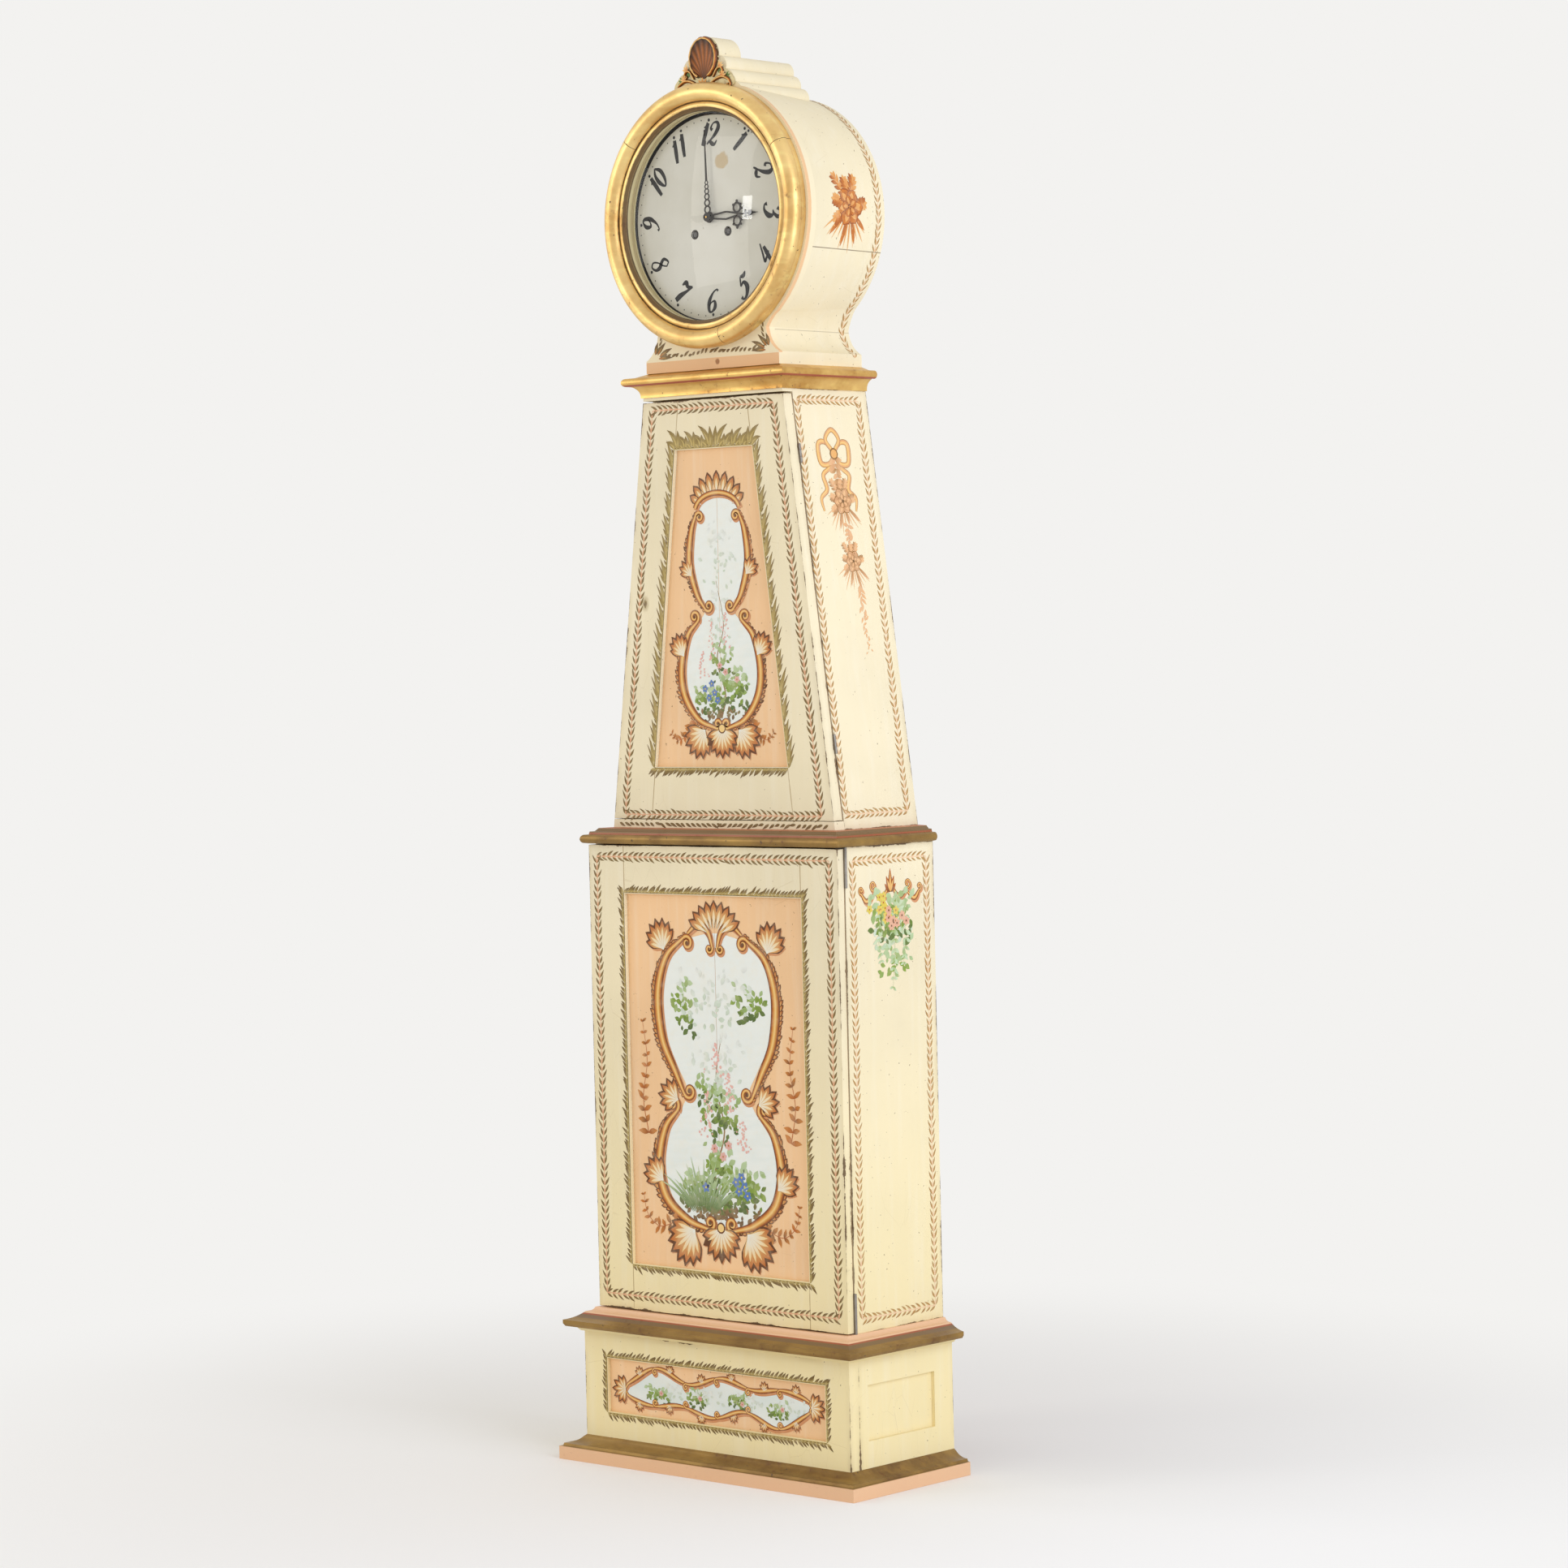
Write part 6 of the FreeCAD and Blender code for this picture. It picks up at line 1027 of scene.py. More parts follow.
upperCartouche = {
    "heights": (1168.0, 1532.0), "plant": upperPlant,
    "profile": ((2, 0), (44, 0.02), (72, 0.10), (80, 0.24), (68, 0.38), (34, 0.475), (28, 0.52), (46, 0.58),
                (58, 0.70), (54, 0.83), (46, 0.915), (31, 0.97), (2, 0.995)),
    "scrolls": ((((12, 0, -4), (50, 0.03, 0), (78, 0.13, 0), (84, 0.25, 0), (70, 0.385, 0), (47, 0.45, 0)),
                 (4.6, 11.0), ((8, -1), (9.5, -1)), 0.3, 1.0),
                (((30, 0.50, 0), (48, 0.57, 0), (62, 0.70, 0), (57, 0.83, 0), (46, 0.905, 0)),
                 (4.2, 10.0), ((9, -1), (8, 1)), 0.36, 1.0)),
    "shells": (((78, 0.30, 0), 1, 0.55, 38, 6, 1.1), ((36, 0, -6), -1, 0.75, 48, 7, 1.5),
               ((58, 0.645, 0), 1, 0.7, 30, 5, 1.1)),
    "sprays": ((((60, 0, 8), (76, 0, -14), (96, 0, -22), (108, 0, -12)), 15, 8),),
    "crown": {"half": 34, "drop": 27, "rise": 24, "shorten": 0.12, "turn": 0.8, "lift": 0.4,
              "sizes": ((37, 15.5), (33, 11.5), (25, 4.6))},
    "arch": (47, 29, 28), "foot": (-4, 44, 2.0, 8, 6),
}


def upperDoorBrushwork():
    work = Brushwork()
    low, high = upperDoorArt["borderHeight"]
    wide, narrow = upperDoorArt["borderHalf"]
    for line in frameLine(wide, low, high, narrow):
        laurel(work, line, warm)
    wide, narrow = upperDoorArt["openingHalf"]
    low, high = upperDoorArt["openingHeight"]
    sides = frameLine(wide + 1, low - 1, high + 1, narrow + 1)
    for line, inward, leaf in zip(sides, (1, 1, -1, -1), upperDoorArt["leafSizes"]):
        serrated(work, line, inward, leaf=leaf)
    for side in (1, -1):           # long feathery points up both stiles
        points = upperDoorArt["points"]
        t = np.linspace(0.01, 0.95, points)
        base = np.column_stack([side * (wide + (narrow - wide) * t + 2.5), low + (high - low) * t])
        swing = math.pi / 2 - side * 0.12 + chance.normal(0, 0.03, points)
        size = chance.uniform(0.85, 1.15, points)
        work.leaves(base, swing, upperDoorArt["pointSize"] * size, 7.0, tint["goldPale"], tint["leafOlive"],
                    -side * 0.32, 0.2, 0.75)
        work.leaves(base + [side * 2, 0], swing - side * 0.16, 31 * size, 3.4, tint["goldOlive"],
                    tint["leafDark"], -side * 0.3, 0.26, 0.8)
        work.leaves(base + [side * 1, -4], swing - side * 0.4, 20 * size, 4.6, tint["goldOlive"],
                    tint["leafOlive"], -side * 0.1, 0.24, 0.8)
        for x, tall in upperDoorArt["topLeaves"]:     # curled acanthus along the top
            at = np.array([[x - 3, 0], [x, 0], [x + 4, -1], [x - 5, 0]]) * [side, 1] + [0, high + 3]
            turn = np.array([-0.1, 0.15, 0.55, -0.35])
            work.leaves(at, math.pi / 2 - side * turn, tall * np.array([0.75, 1.0, 0.62, 0.5]),
                        np.array([11, 10, 9, 9]), tint["goldOlive"],
                        tint["leafOlive"], -side * np.array([0.3, 1.1, 1.2, -0.6]), 0.22, 0.7)
            work.leaves(at[:3], math.pi / 2 - side * turn[:3], tall * np.array([0.5, 0.8, 0.45]), 2.6,
                        tint["goldPale"] * 1.1,
                        tint["goldOlive"], -side * np.array([0.3, 1.1, 1.2]), 0.3, 0.7)
    work.lay("upperDoorBrushwork", places["upperDoor"], brushPaint.material, "upper_door")


upperDoorBrushwork()
panelCartouche("upperDoorCartouche", "upperPanel", "upper_door", upperCartouche)
print("upper door painted")


# lower door
lowerDoorArt = {"border": (247.0, 266.0, 963.0), "opening": (189.0, 316.0, 906.0)}
lowerPlant = {
    "stem": ((0, 18), (-10, 80), (12, 150), (-4, 226), (10, 300)), "stemWidth": (5.0, 1.0),
    "heaps": (((0, 22), (46, 7), 90, 12, woody), ((-44, 54), (22, 14), 70, 14, green),
              ((46, 62), (24, 18), 110, 15, green), ((-4, 92), (18, 20), 70, 14, green),
              ((8, 176), (20, 22), 70, 14, green), ((-30, 214), (18, 14), 36, 12, green),
              ((0, 250), (30, 26), 60, 12, ghost), ((70, 350), (16, 16), 44, 13, green),
              ((-72, 340), (14, 24), 44, 13, green), ((0, 360), (44, 26), 70, 12, ghost)),
    "bells": 34, "bellSpread": 9.0, "bellSize": (1.2, 2.8),
    "spikes": ((-24, 140, 70), (22, 180, 60), (-4, 236, 50), (50, 120, 46)),
    "blueFlowers": ((40, 58), (52, 66), (34, 72), (58, 52), (46, 80), (-30, 60)), "blueSize": 8.5,
    "pinkFlowers": ((8, 110), (-10, 122), (20, 128)), "pinkSize": 8.0, "pinkPetals": 6,
}
lowerCartouche = {
    "heights": (388.0, 850.0), "plant": lowerPlant,
    "profile": ((2, 0), (60, 0.015), (104, 0.07), (122, 0.18), (112, 0.30), (76, 0.40), (66, 0.46),
                (84, 0.53), (112, 0.64), (118, 0.78), (98, 0.90), (58, 0.965), (28, 0.985), (2, 0.992)),
    "scrolls": ((((26, 0, -6), (72, 0.015, 0), (116, 0.085, 0), (130, 0.20, 0), (116, 0.32, 0),
                  (88, 0.385, 0)), (5.4, 14.0), ((11, -1), (13, -1)), 0.3, 1.0),
                (((72, 0.44, 0), (92, 0.52, 0), (118, 0.63, 0), (125, 0.78, 0), (106, 0.905, 0),
                  (66, 0.975, 0)), (5.0, 13.0), ((12, -1), (11, 1)), 0.36, 1.0),
                (((58, 1, -6), (34, 1, 10), (14, 1, -2), (5, 1, -26)),
                 (4.0, 8.5), (None, (7, 1)), 0.42, 0.2)),
    "shells": (((122, 0.14, 0), 1, 0.9, 46, 6, 1.2), ((56, 0, -8), -1, 0.8, 62, 8, 1.6),
               ((110, 0.93, 0), 1, 0.35, 48, 7, 1.5), ((86, 0.42, 0), 1, 1.2, 42, 6, 1.5)),
    "sprays": ((((152, 0.30, 0), (162, 0.42, 0), (152, 0.55, 0), (160, 0.68, 0)), 19, 10),
               (((96, 0, 2), (132, 0, -8), (158, 0, 10), (166, 0, 40)), 17, 8)),
    "crown": {"half": 16, "drop": 6, "rise": 10, "shorten": 0, "turn": 0.9, "lift": 0.48,
              "sizes": ((44, 17), (40, 12), (30, 5))},
    "foot": (-2, 52, 2.1, 9, 6.5), "grass": (17, 78.0),
}


def lowerDoorBrushwork():
    work = Brushwork()
    for line in frameLine(*lowerDoorArt["border"], rightward=True):
        laurel(work, line, warm)
    for line, inward in zip(frameLine(*lowerDoorArt["opening"], rightward=True), (1, -1, -1, 1)):
        serrated(work, line, inward)
    work.lay("lowerDoorBrushwork", places["lowerDoor"], brushPaint.material, "lower_door")


lowerDoorBrushwork()
panelCartouche("lowerDoorCartouche", "lowerPanel", "lower_door", lowerCartouche)
print("lower door painted")


# plinth
plinthArt = {"opening": (233.0, 78.0, 166.0), "leaf": 16.0, "middle": 122.0, "halfLength": 200.0,
             "waves": 6, "bushes": (-128, -44, 46, 130)}


def plinthBrushwork():
    work = Brushwork()
    for line, inward in zip(frameLine(*plinthArt["opening"], rightward=True), (1, -1, -1, 1)):
        serrated(work, line, inward, leaf=plinthArt["leaf"])
    work.lay("plinthBrushwork", places["plinthFront"], brushPaint.material, "case")


def plinthCartouche():
    # A long pale field that sways and swells along the panel, framed by short scrolls.
    work = Brushwork()
    middle, waves = plinthArt["middle"], plinthArt["waves"]
    t = np.linspace(-1, 1, 10 * waves + 1)
    half = (25 + 6 * np.cos(3 * np.pi * t)) * np.sqrt(1 - np.abs(t) ** 7)
    sway = 5 * np.sin(2.5 * np.pi * t)
    x = plinthArt["halfLength"] * t
    top, bottom = middle + sway + half, middle + sway - half
    cloud = 0.5 + 0.5 * np.sin(9 * t)[:, None, None] * np.linspace(-1, 1, 7)[None, :, None]
    work.filled(np.column_stack([x, top]), np.column_stack([x, bottom]),
                (tint["sky"] * (1 - cloud) + tint["skyDeep"] * cloud).reshape(-1, 3), 0.14, 7)
    for at in range(waves):
        first, last = at * 10, at * 10 + 11
        for edge, spin in ((top, -1), (bottom, 1)):
            line = np.column_stack([x, edge])[first:last]
            carvedBand(work, line, swelling(len(line), 3.0, 6.0), 0.34)
            centre = line[-1] + [0, spin * 5.5]
            carvedBand(work, curl(centre, 5.5, 1.2, -spin * math.pi / 2, -spin), 3.0, 0.4)
            plume(work, line[5], (math.pi / 2 if spin < 0 else -math.pi / 2) + chance.normal(0, 0.3), 15, 5,
                  1.5, 0.2)
    for side in (1, -1):
        plume(work, (side * 198, middle + side * 5), 0 if side > 0 else math.pi, 28, 7, 2.4, 0.4)
    for start in plinthArt["bushes"]:
        bush(work, (start, middle - 4 + 4 * math.sin(start)), (12, 7), 44, 9, green)
        bush(work, (start + 26, middle + 2), (16, 7), 26, 8, ghost)
        blossom(work, (start + 8, middle - 4), 5.0, tint["pink"], tint["rust"])
    work.lay("plinthCartouche", places["plinthPanel"], brushPaint.material, "case")


plinthBrushwork()
plinthCartouche()
print("plinth painted")


# side garlands
sideArt = {"upperDepths": (-27.0, 116.0), "upperHeights": (23.0, 666.0), "upperMiddle": 44.0,
           "lowerDepths": (-53.0, 119.0), "lowerHeights": (263.0, 961.0), "lowerMiddle": 34.0,
           "bowLoop": ((0, 584), (18, 600), (34, 596), (32, 568), (14, 566), (0, 580)),
           "bowTail": ((0, 578), (14, 560), (30, 548), (25, 526), (40, 512), (37, 492))}


def posy(work, centre, size, palette, hang=0.0):
    # A full flower: two rings of broad petals round a dark heart, lobed leaves about them, strokes below.
    pale, mid, dark = palette
    centre = np.asarray(centre, float)
    swing = -math.pi / 2 + np.linspace(-1.1, 0.75, 11)
    root = centre + size * 0.22 * np.column_stack([np.cos(swing), np.sin(swing)])
    reach = size * (0.8 + hang) * chance.uniform(0.7, 1.1, 11)
    work.leaves(root, swing, reach, size * 0.065, mid, pale, 0.15, 0.2, 0.8)
    work.leaves(root[1::3], swing[1::3] + 0.08, reach[1::3] * 0.9, size * 0.15, dark, mid, 0.1, 0.24, 1.2)
    for angle, far in ((1.25, 1.0), (1.75, 0.85), (2.2, 1.15), (2.9, 0.75), (0.2, 0.75), (3.7, 0.8)):
        outward = np.array([math.cos(angle), math.sin(angle)])
        way = centre + np.linspace(0.32, 0.78, 4)[:, None] * size * far * outward
        for side in (-1, 0, 1):
            work.leaves(way, angle + side * 0.6, size * np.array([0.27, 0.3, 0.3, 0.24]), size * 0.12, mid,
                        dark if side > 0 else pale, side * 0.3, 0.24 + 0.02 * side, 1.2)
    for ring, (reach, count, lift) in enumerate(((0.54, 6, 0.32), (0.30, 5, 0.46))):
        angle = np.linspace(0, 2 * np.pi, count, endpoint=False) + 0.5 * ring
        at = np.tile(centre, (count, 1))
        long = size * reach * chance.uniform(0.92, 1.08, count)
        work.leaves(at, angle, long * 1.05, size * reach * 0.92, dark * 0.8, dark, 0.12, lift, 1.6)
        work.leaves(at, angle, long, size * reach * 0.74, dark, mid, 0.12, lift + 0.04, 1.6)
        work.leaves(at, angle + 0.1, long * 0.86, size * reach * 0.34, mid, pale, 0.12, lift + 0.08, 1.5)
    work.discs([centre], size * 0.075, dark * 0.5, 0.56)


def sideBorder(work, depths, heights, sign):
    # A faded laurel round one side board, between two depths and two heights.
    front, back = depths[0] * sign, depths[1] * sign
    low, high = heights
    for line in ([[back, low], [back, high]], [[front, low], [front, high]],
                 [[front, high], [back, high]], [[back, low], [front, low]]):
        laurel(work, np.array(line), faded, leaf=fadedLeaf)


def beside(middle, side, rows):
    return [(middle + side * x, y) for x, y in rows]


def upperGarland(suffix, sign):
    # On the right side u runs to the back of the clock, on the left side to its front.
    work = Brushwork()
    sideBorder(work, sideArt["upperDepths"], sideArt["upperHeights"], sign)
    middle = sideArt["upperMiddle"] * sign
    pale, mid, dark = tint["bouquetPale"], tint["sidePink"] * 0.5 + tint["bouquet"] * 0.5, tint["sideDark"]
    ribbon = np.array([dark, mid, pale, tint["straw"], pale, dark])
    for side in (1, -1):           # ribbon bow: two loops and two tails
        loop = smoothLine(beside(middle, side, sideArt["bowLoop"]), 8)
        work.band(loop, swelling(len(loop), 5.0, 10.0), ribbon, 0.22)
        tail = smoothLine(beside(middle, side, sideArt["bowTail"]), 8)
        work.band(tail, swelling(len(tail), 4.0, 9.0), ribbon, 0.2)
    top = smoothLine([(middle, 584), (middle - 16, 604), (middle, 620), (middle + 15, 604), (middle, 584)],
                     8)
    work.band(top, 8.0, ribbon, 0.24)
    work.discs([(middle, 582)], 9.5, dark * 0.8, 0.32)
    work.discs([(middle, 582)], 7.0, pale, 0.36)
    palette = (tint["bouquetPale"] * 0.6 + tint["sidePink"] * 0.4,
               tint["bouquet"] * 0.45 + tint["sidePink"] * 0.55, tint["sideDark"])
    spray(work, [(middle, 574), (middle + 2, 550), (middle + 6, 520)], 20,
          (palette[2], palette[1], palette[0]), 7, 0.2)
    posy(work, (middle + 8, 508), 38, palette, 0.3)
    spray(work, [(middle + 14, 470), (middle + 12, 450), (middle + 20, 430)], 13,
          (palette[1], palette[1], palette[0]), 7, 0.2)
    posy(work, (middle + 16, 414), 32, palette, 0.5)
    drop = np.column_stack([middle + 22 + np.linspace(0, 8, 26) + chance.normal(0, 2.5, 26),
                            np.linspace(376, 272, 26)])
    work.leaves(drop, -math.pi / 2 + chance.normal(0, 0.7, 26), np.linspace(15, 5, 26),
                np.linspace(5.5, 2.5, 26), palette[1], palette[0], 0, 0.2)
    work.lay("upperSideGarland" + suffix, places["upper" + suffix], brushPaint.material, "case")


def lowerGarland(suffix, sign):
    # Two small scrolls over a hanging bunch of leaves and flowers.
    work = Brushwork()
    sideBorder(work, sideArt["lowerDepths"], sideArt["lowerHeights"], sign)
    middle = sideArt["lowerMiddle"] * sign
    for side in (1, -1):
        for rows, size in ((((4, 918), (20, 902), (40, 914)), 8.0),
                           (((40, 908), (56, 898), (68, 910)), 6.0)):
            line = smoothLine(beside(middle, side, rows), 8)
            carvedBand(work, line, swelling(len(line), 2.4, 6.0), 0.26)
            carvedBand(work, curl(line[-1] + [0, size * 0.9], size, 1.2, -math.pi / 2, side), 2.6, 0.32)
    work.leaves([[middle, 910]] * 5, math.pi / 2 + np.array([-0.8, -0.35, 0, 0.35, 0.8]),
                [18, 26, 36, 26, 18], 9, tint["umber"], tint["rust"], 0, 0.3)
    work.leaves([[middle, 910]] * 3, math.pi / 2 + np.array([-0.35, 0, 0.35]), [20, 30, 20], 4,
                tint["ochre"], tint["straw"], 0, 0.36)
    for controls in ([(middle - 8, 890), (middle - 30, 850), (middle - 24, 806)],
                     [(middle + 8, 890), (middle + 34, 850), (middle + 28, 800)],
                     [(middle, 880), (middle + 8, 830), (middle + 2, 764)]):
        spray(work, controls, 19, (green[1], green[2], ghost[0]), 8, 0.22, green[2])
    bush(work, (middle, 872), (26, 20), 120, 15, green, 0.26)
    bush(work, (middle + 4, 822), (22, 20), 60, 13, (tint["green"], tint["greenPale"], tint["ghost"]), 0.24)
    for spot in chance.normal(0, 1, (14, 2)) * [17, 14] + [middle - 6, 880]:
        blossom(work, spot, 7.5, tint["yellow"] * 0.8 + tint["straw"] * 0.2, tint["rust"], 5, 0.36)
    for spot in chance.normal(0, 1, (9, 2)) * [14, 12] + [middle + 10, 868]:
        blossom(work, spot, 8.0, tint["pink"] * 0.6 + tint["bouquetPale"] * 0.4, tint["umber"], 6, 0.42)
    work.lay("lowerSideGarland" + suffix, places["lower" + suffix], brushPaint.material, "case")


def hoodPosy(suffix):
    # A laurel along the back edge of the hood's side, and one flower at the height of the dial.
    work = Brushwork()
    top = float(hoodWay[-1] * 1000) - 62
    laurel(work, np.column_stack([np.full(60, 121.0), np.linspace(14, top, 60)]), faded, leaf=fadedLeaf)
    centre = np.array([48.0, float(np.interp(1.963, hoodFront[:110, 1], hoodWay[:110])) * 1000])
    palette = (tint["bouquetPale"], tint["bouquet"], tint["bouquetDark"])
    posy(work, centre, 56, palette, 0.25)
    work.lay("hoodSideSpray" + suffix, places["hood" + suffix], brushPaint.material, "case")


for suffix, sign in (("Right", 1), ("Left", -1)):
    upperGarland(suffix, sign)
    lowerGarland(suffix, sign)
    hoodPosy(suffix)


def neckSprays():
    work = Brushwork()
    for side in (1, -1):
        across = mirrored(side)
        corner = across([(124, 1744)])[0]
        swing = np.array([0.15, 0.55, 0.95, 1.4])
        swing = swing if side < 0 else math.pi - swing
        reach = np.array([30.0, 30.0, 26.0, 20.0])
        root = corner + np.array([[10.0, 1.0], [12.0, 4.0], [8.0, 7.0], [3.0, 8.0]]) * [-side, 1.0]
        work.leaves(root, swing, reach, 7.0, tint["leafOlive"], tint["leafDark"], side * 0.35, 0.2, 0.8)
        work.leaves(root, swing, reach * 0.6, 2.6, tint["rust"], tint["goldOlive"], side * 0.35, 0.26, 0.8)
        edge = across(smoothLine([(122, 1752), (113, 1764), (109.5, 1778), (112, 1788)], 6))
        spots, heading = evenly(edge, 8.0)
        work.leaves(spots, heading + side * 0.35, 12.0, 3.6, tint["leafOlive"], tint["leafDark"],
                    -side * 0.3, 0.22)
    line = smoothLine([(-104, 1747), (-60, 1745.5), (0, 1748), (60, 1745.5), (104, 1747)], 12)
    spots, heading = evenly(line, 9.0)
    work.leaves(spots, heading + 0.75 + chance.normal(0, 0.2, len(spots)),
                12.0 * chance.uniform(0.6, 1.2, len(spots)), 4.4, tint["leafOlive"],
                tint["leafDark"], -0.5, 0.2)
    work.lay("neckSprays", places["hoodFace"], brushPaint.material, "case")


def railLeaves():
    # One row of leaves on the rail below the upper door.
    work = Brushwork()
    line = np.array([[-222.0, 1013.0], [222.0, 1013.0]])
    spots, heading = evenly(line, 11.0)
    swing = np.where(spots[:, 0] < 0, -0.42, math.pi + 0.42) + chance.normal(0, 0.12, len(spots))
    work.leaves(spots + [0, 3.0], swing, 15.0 * chance.uniform(0.75, 1.15, len(spots)), 4.6,
                tint["leafOlive"], tint["leafDark"], 0.0, 0.2)
    work.lay("railLeaves", places["upperDoor"], brushPaint.material, "case")


neckSprays()
railLeaves()
print("sides and neck painted")


# crest
crest = {"shellCentre": (0.0, 2203.0), "shellHalf": (25.5, 29.0), "hinge": (0.0, 2170.0), "ribs": 11,
         "depth": 4.2}
carved = Paint("carvedPaint", Specular_IOR_Level=0.45)
carvedTint = carved.node("ShaderNodeVertexColor", {"layer_name": "tint"})
carvedCloud = carved.noise(120.0, 4.0, 0.65)
carved.finish(Base_Color=carved.mix(carvedCloud.rise(0.5, 0.75) * 0.45, carvedTint, linear(120, 72, 30)),
              Metallic=0.25, Roughness=carvedCloud * 0.2 + 0.35, Normal=carved.bump(carvedCloud, 0.0003))


def crestCarving():
    work = Brushwork()
    # The bowl: rays from the hinge to an oval rim, sunk by depth * (1 - share^2.4), ribbed by a cosine.
    rays, rings = 67, 12
    t = np.radians(np.linspace(-158, 158, rays))
    rim = np.column_stack([crest["shellHalf"][0] * np.sin(t),
                           crest["shellCentre"][1] + crest["shellHalf"][1] * np.cos(t)])
    share = np.linspace(0.02, 1.0, rings)
    hinge = np.array(crest["hinge"])
    spots = hinge + (rim[:, None] - hinge) * share[None, :, None]
    rib = np.cos(crest["ribs"] * np.pi * np.linspace(-1, 1, rays))[:, None] * share[None]
    lift = 7.4 - crest["depth"] * (1 - share[None] ** 2.4) + 0.45 * rib - 0.45
    warmth = (0.1 + 0.9 * np.sin(np.pi * share[None] ** 1.2))[..., None] * (0.55 + 0.45 * rib[..., None])
    tints = tint["umber"] * 0.3 * (1 - warmth) + (tint["rust"] * 0.66 + tint["ochre"] * 0.14) * warmth
    tints = tints * (0.35 + 0.65 * np.clip((1.0 - share) / 0.12, 0, 1))[None, :, None]
    work.add(spots.reshape(-1, 2), gridFaces(rays, rings)[:, ::-1], tints.reshape(-1, 3), lift.reshape(-1))
    # The rim: a half-round band whose width swells once for each scallop.
    scallop = np.abs(np.sin(8.0 * t))
    around = np.column_stack([(crest["shellHalf"][0] + 1.4) * np.sin(t),
                              crest["shellCentre"][1] + (crest["shellHalf"][1] + 1.4) * np.cos(t)])
    gold = np.array([tint["umber"] * 0.5, tint["rust"] * 0.7, tint["ochre"], tint["straw"] * 0.9,
                     tint["rust"] * 0.6, tint["umber"] * 0.4])
    work.band(around, 4.2 + 2.2 * scallop, gold, 4.6, 3.2)
    middle = np.array([crest["shellCentre"]])
    spoke = around - middle
    outer = spoke * (1 + (2.1 + 1.1 * scallop[:, None]) / np.linalg.norm(spoke, axis=1)[:, None]) + middle
    work.wall(outer[::-1], 0.0, 4.6, tint["umber"] * 0.6)
    # Two scrolls on each side, wound up at their outer end.
    for side in (1, -1):
        across = mirrored(side)
        for controls, width, coil in (([(10, 2158), (22, 2167), (38, 2171), (51, 2166), (56, 2160)], 6.0,
                                       5.0),
                                      ([(20, 2172), (29, 2184), (37, 2185), (41, 2179)], 4.6, 3.8)):
            line = across(smoothLine(controls, 8))
            work.band(line, swelling(len(line), 3.0, width), gold, 2.3, 3.8)
            step = line[-1] - line[-3]
            heading = math.atan2(step[1], step[0])
            normal = heading - side * math.pi / 2
            centre = line[-1] + coil * np.array([math.cos(normal), math.sin(normal)])
            volute = curl(centre, coil, 1.1, normal + math.pi, -side)
            work.band(volute, np.linspace(3.0, 2.0, len(volute)), gold, 2.6, 3.4)
            work.leaves([line[len(line) // 2]] * 3, math.pi / 2 - side * np.array([0.2, 0.8, 1.3]), 11, 4.0,
                        tint["rust"], tint["straw"], 0, 5.2)
        work.leaves([(side * 30, 2178)] * 3, math.pi / 2 - side * np.array([0.3, 0.9, 1.5]), 13, 4.4,
                    tint["greenDark"], tint["greenDark"] * 1.3, 0, 2.4)
        work.leaves([(side * 46, 2170)] * 3, math.pi / 2 - side * np.array([0.6, 1.2, 1.8]), 10, 3.6,
                    tint["greenDark"], tint["greenDark"] * 1.3, 0, 2.4)
    work.leaves([(0, 2158)] * 5, math.pi / 2 + np.linspace(-1.2, 1.2, 5), 15, 6.0, tint["umber"],
                tint["ochre"], 0, 6.4)
    # Backing that fills the piece down to the board.
    edge = smoothLine([(0, 2154.6), (40, 2154.6), (61, 2156), (63, 2166), (52, 2177), (38, 2186),
                       (30, 2196), (28.5, 2210), (20, 2229), (0, 2235.2)], 6)
    work.filled(edge, edge * [-1, 1], tint["crestBoard"], 2.1, 5)
    work.wall(edge[::-1], 0.0, 2.1, tint["crestBoard"])
    work.wall(edge * [-1, 1], 0.0, 2.1, tint["crestBoard"])
    piece = work.lay("crestCarving", places["hoodFace"], carved.material, "case")
    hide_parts("crest_carving")


crestCarving()
print("crest carved")


# weight lines
lineArt = {"turn": 0.0201, "pulley": 1.790, "top": 1.858, "depth": 0.012, "radius": 0.001, "sides": 10}


def weightLine(name, left):
    # A tube down one strand, round below the pulley and up the other.
    turn, centre, top, depth, radius, sides = lineArt.values()
    middle = left + turn
    down = np.column_stack([np.full(6, left), np.linspace(top, centre, 6)])
    angle = np.linspace(np.pi, 2 * np.pi, 25)[1:-1]
    below = np.column_stack([middle + turn * np.cos(angle), centre + turn * np.sin(angle)])
    up = np.column_stack([np.full(6, left + 2 * turn), np.linspace(centre, top, 6)])
    way = np.vstack([down, below, up])
    slope = np.gradient(way, axis=0)
    slope /= np.linalg.norm(slope, axis=1)[:, None]
    around = np.linspace(0, 2 * np.pi, sides, endpoint=False)
    side = np.column_stack([-slope[:, 1], slope[:, 0]])
    x = way[:, :1] + side[:, :1] * radius * np.cos(around)
    z = way[:, 1:] + side[:, 1:] * radius * np.cos(around)
    y = depth + radius * np.sin(around) * np.ones((len(way), 1))
    faces = gridFaces(len(way), sides, False, True).tolist()
    last = (len(way) - 1) * sides
    faces += [list(range(sides)), list(range(last + sides - 1, last - 1, -1))]
    piece = makePiece(name + "LineRope", np.stack([x, y, z], -1).reshape(-1, 3), faces, gut.material, None)
    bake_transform(piece)
    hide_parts(name + "_line")


weightLine("going", 0.0119)
weightLine("strike", -0.0581)


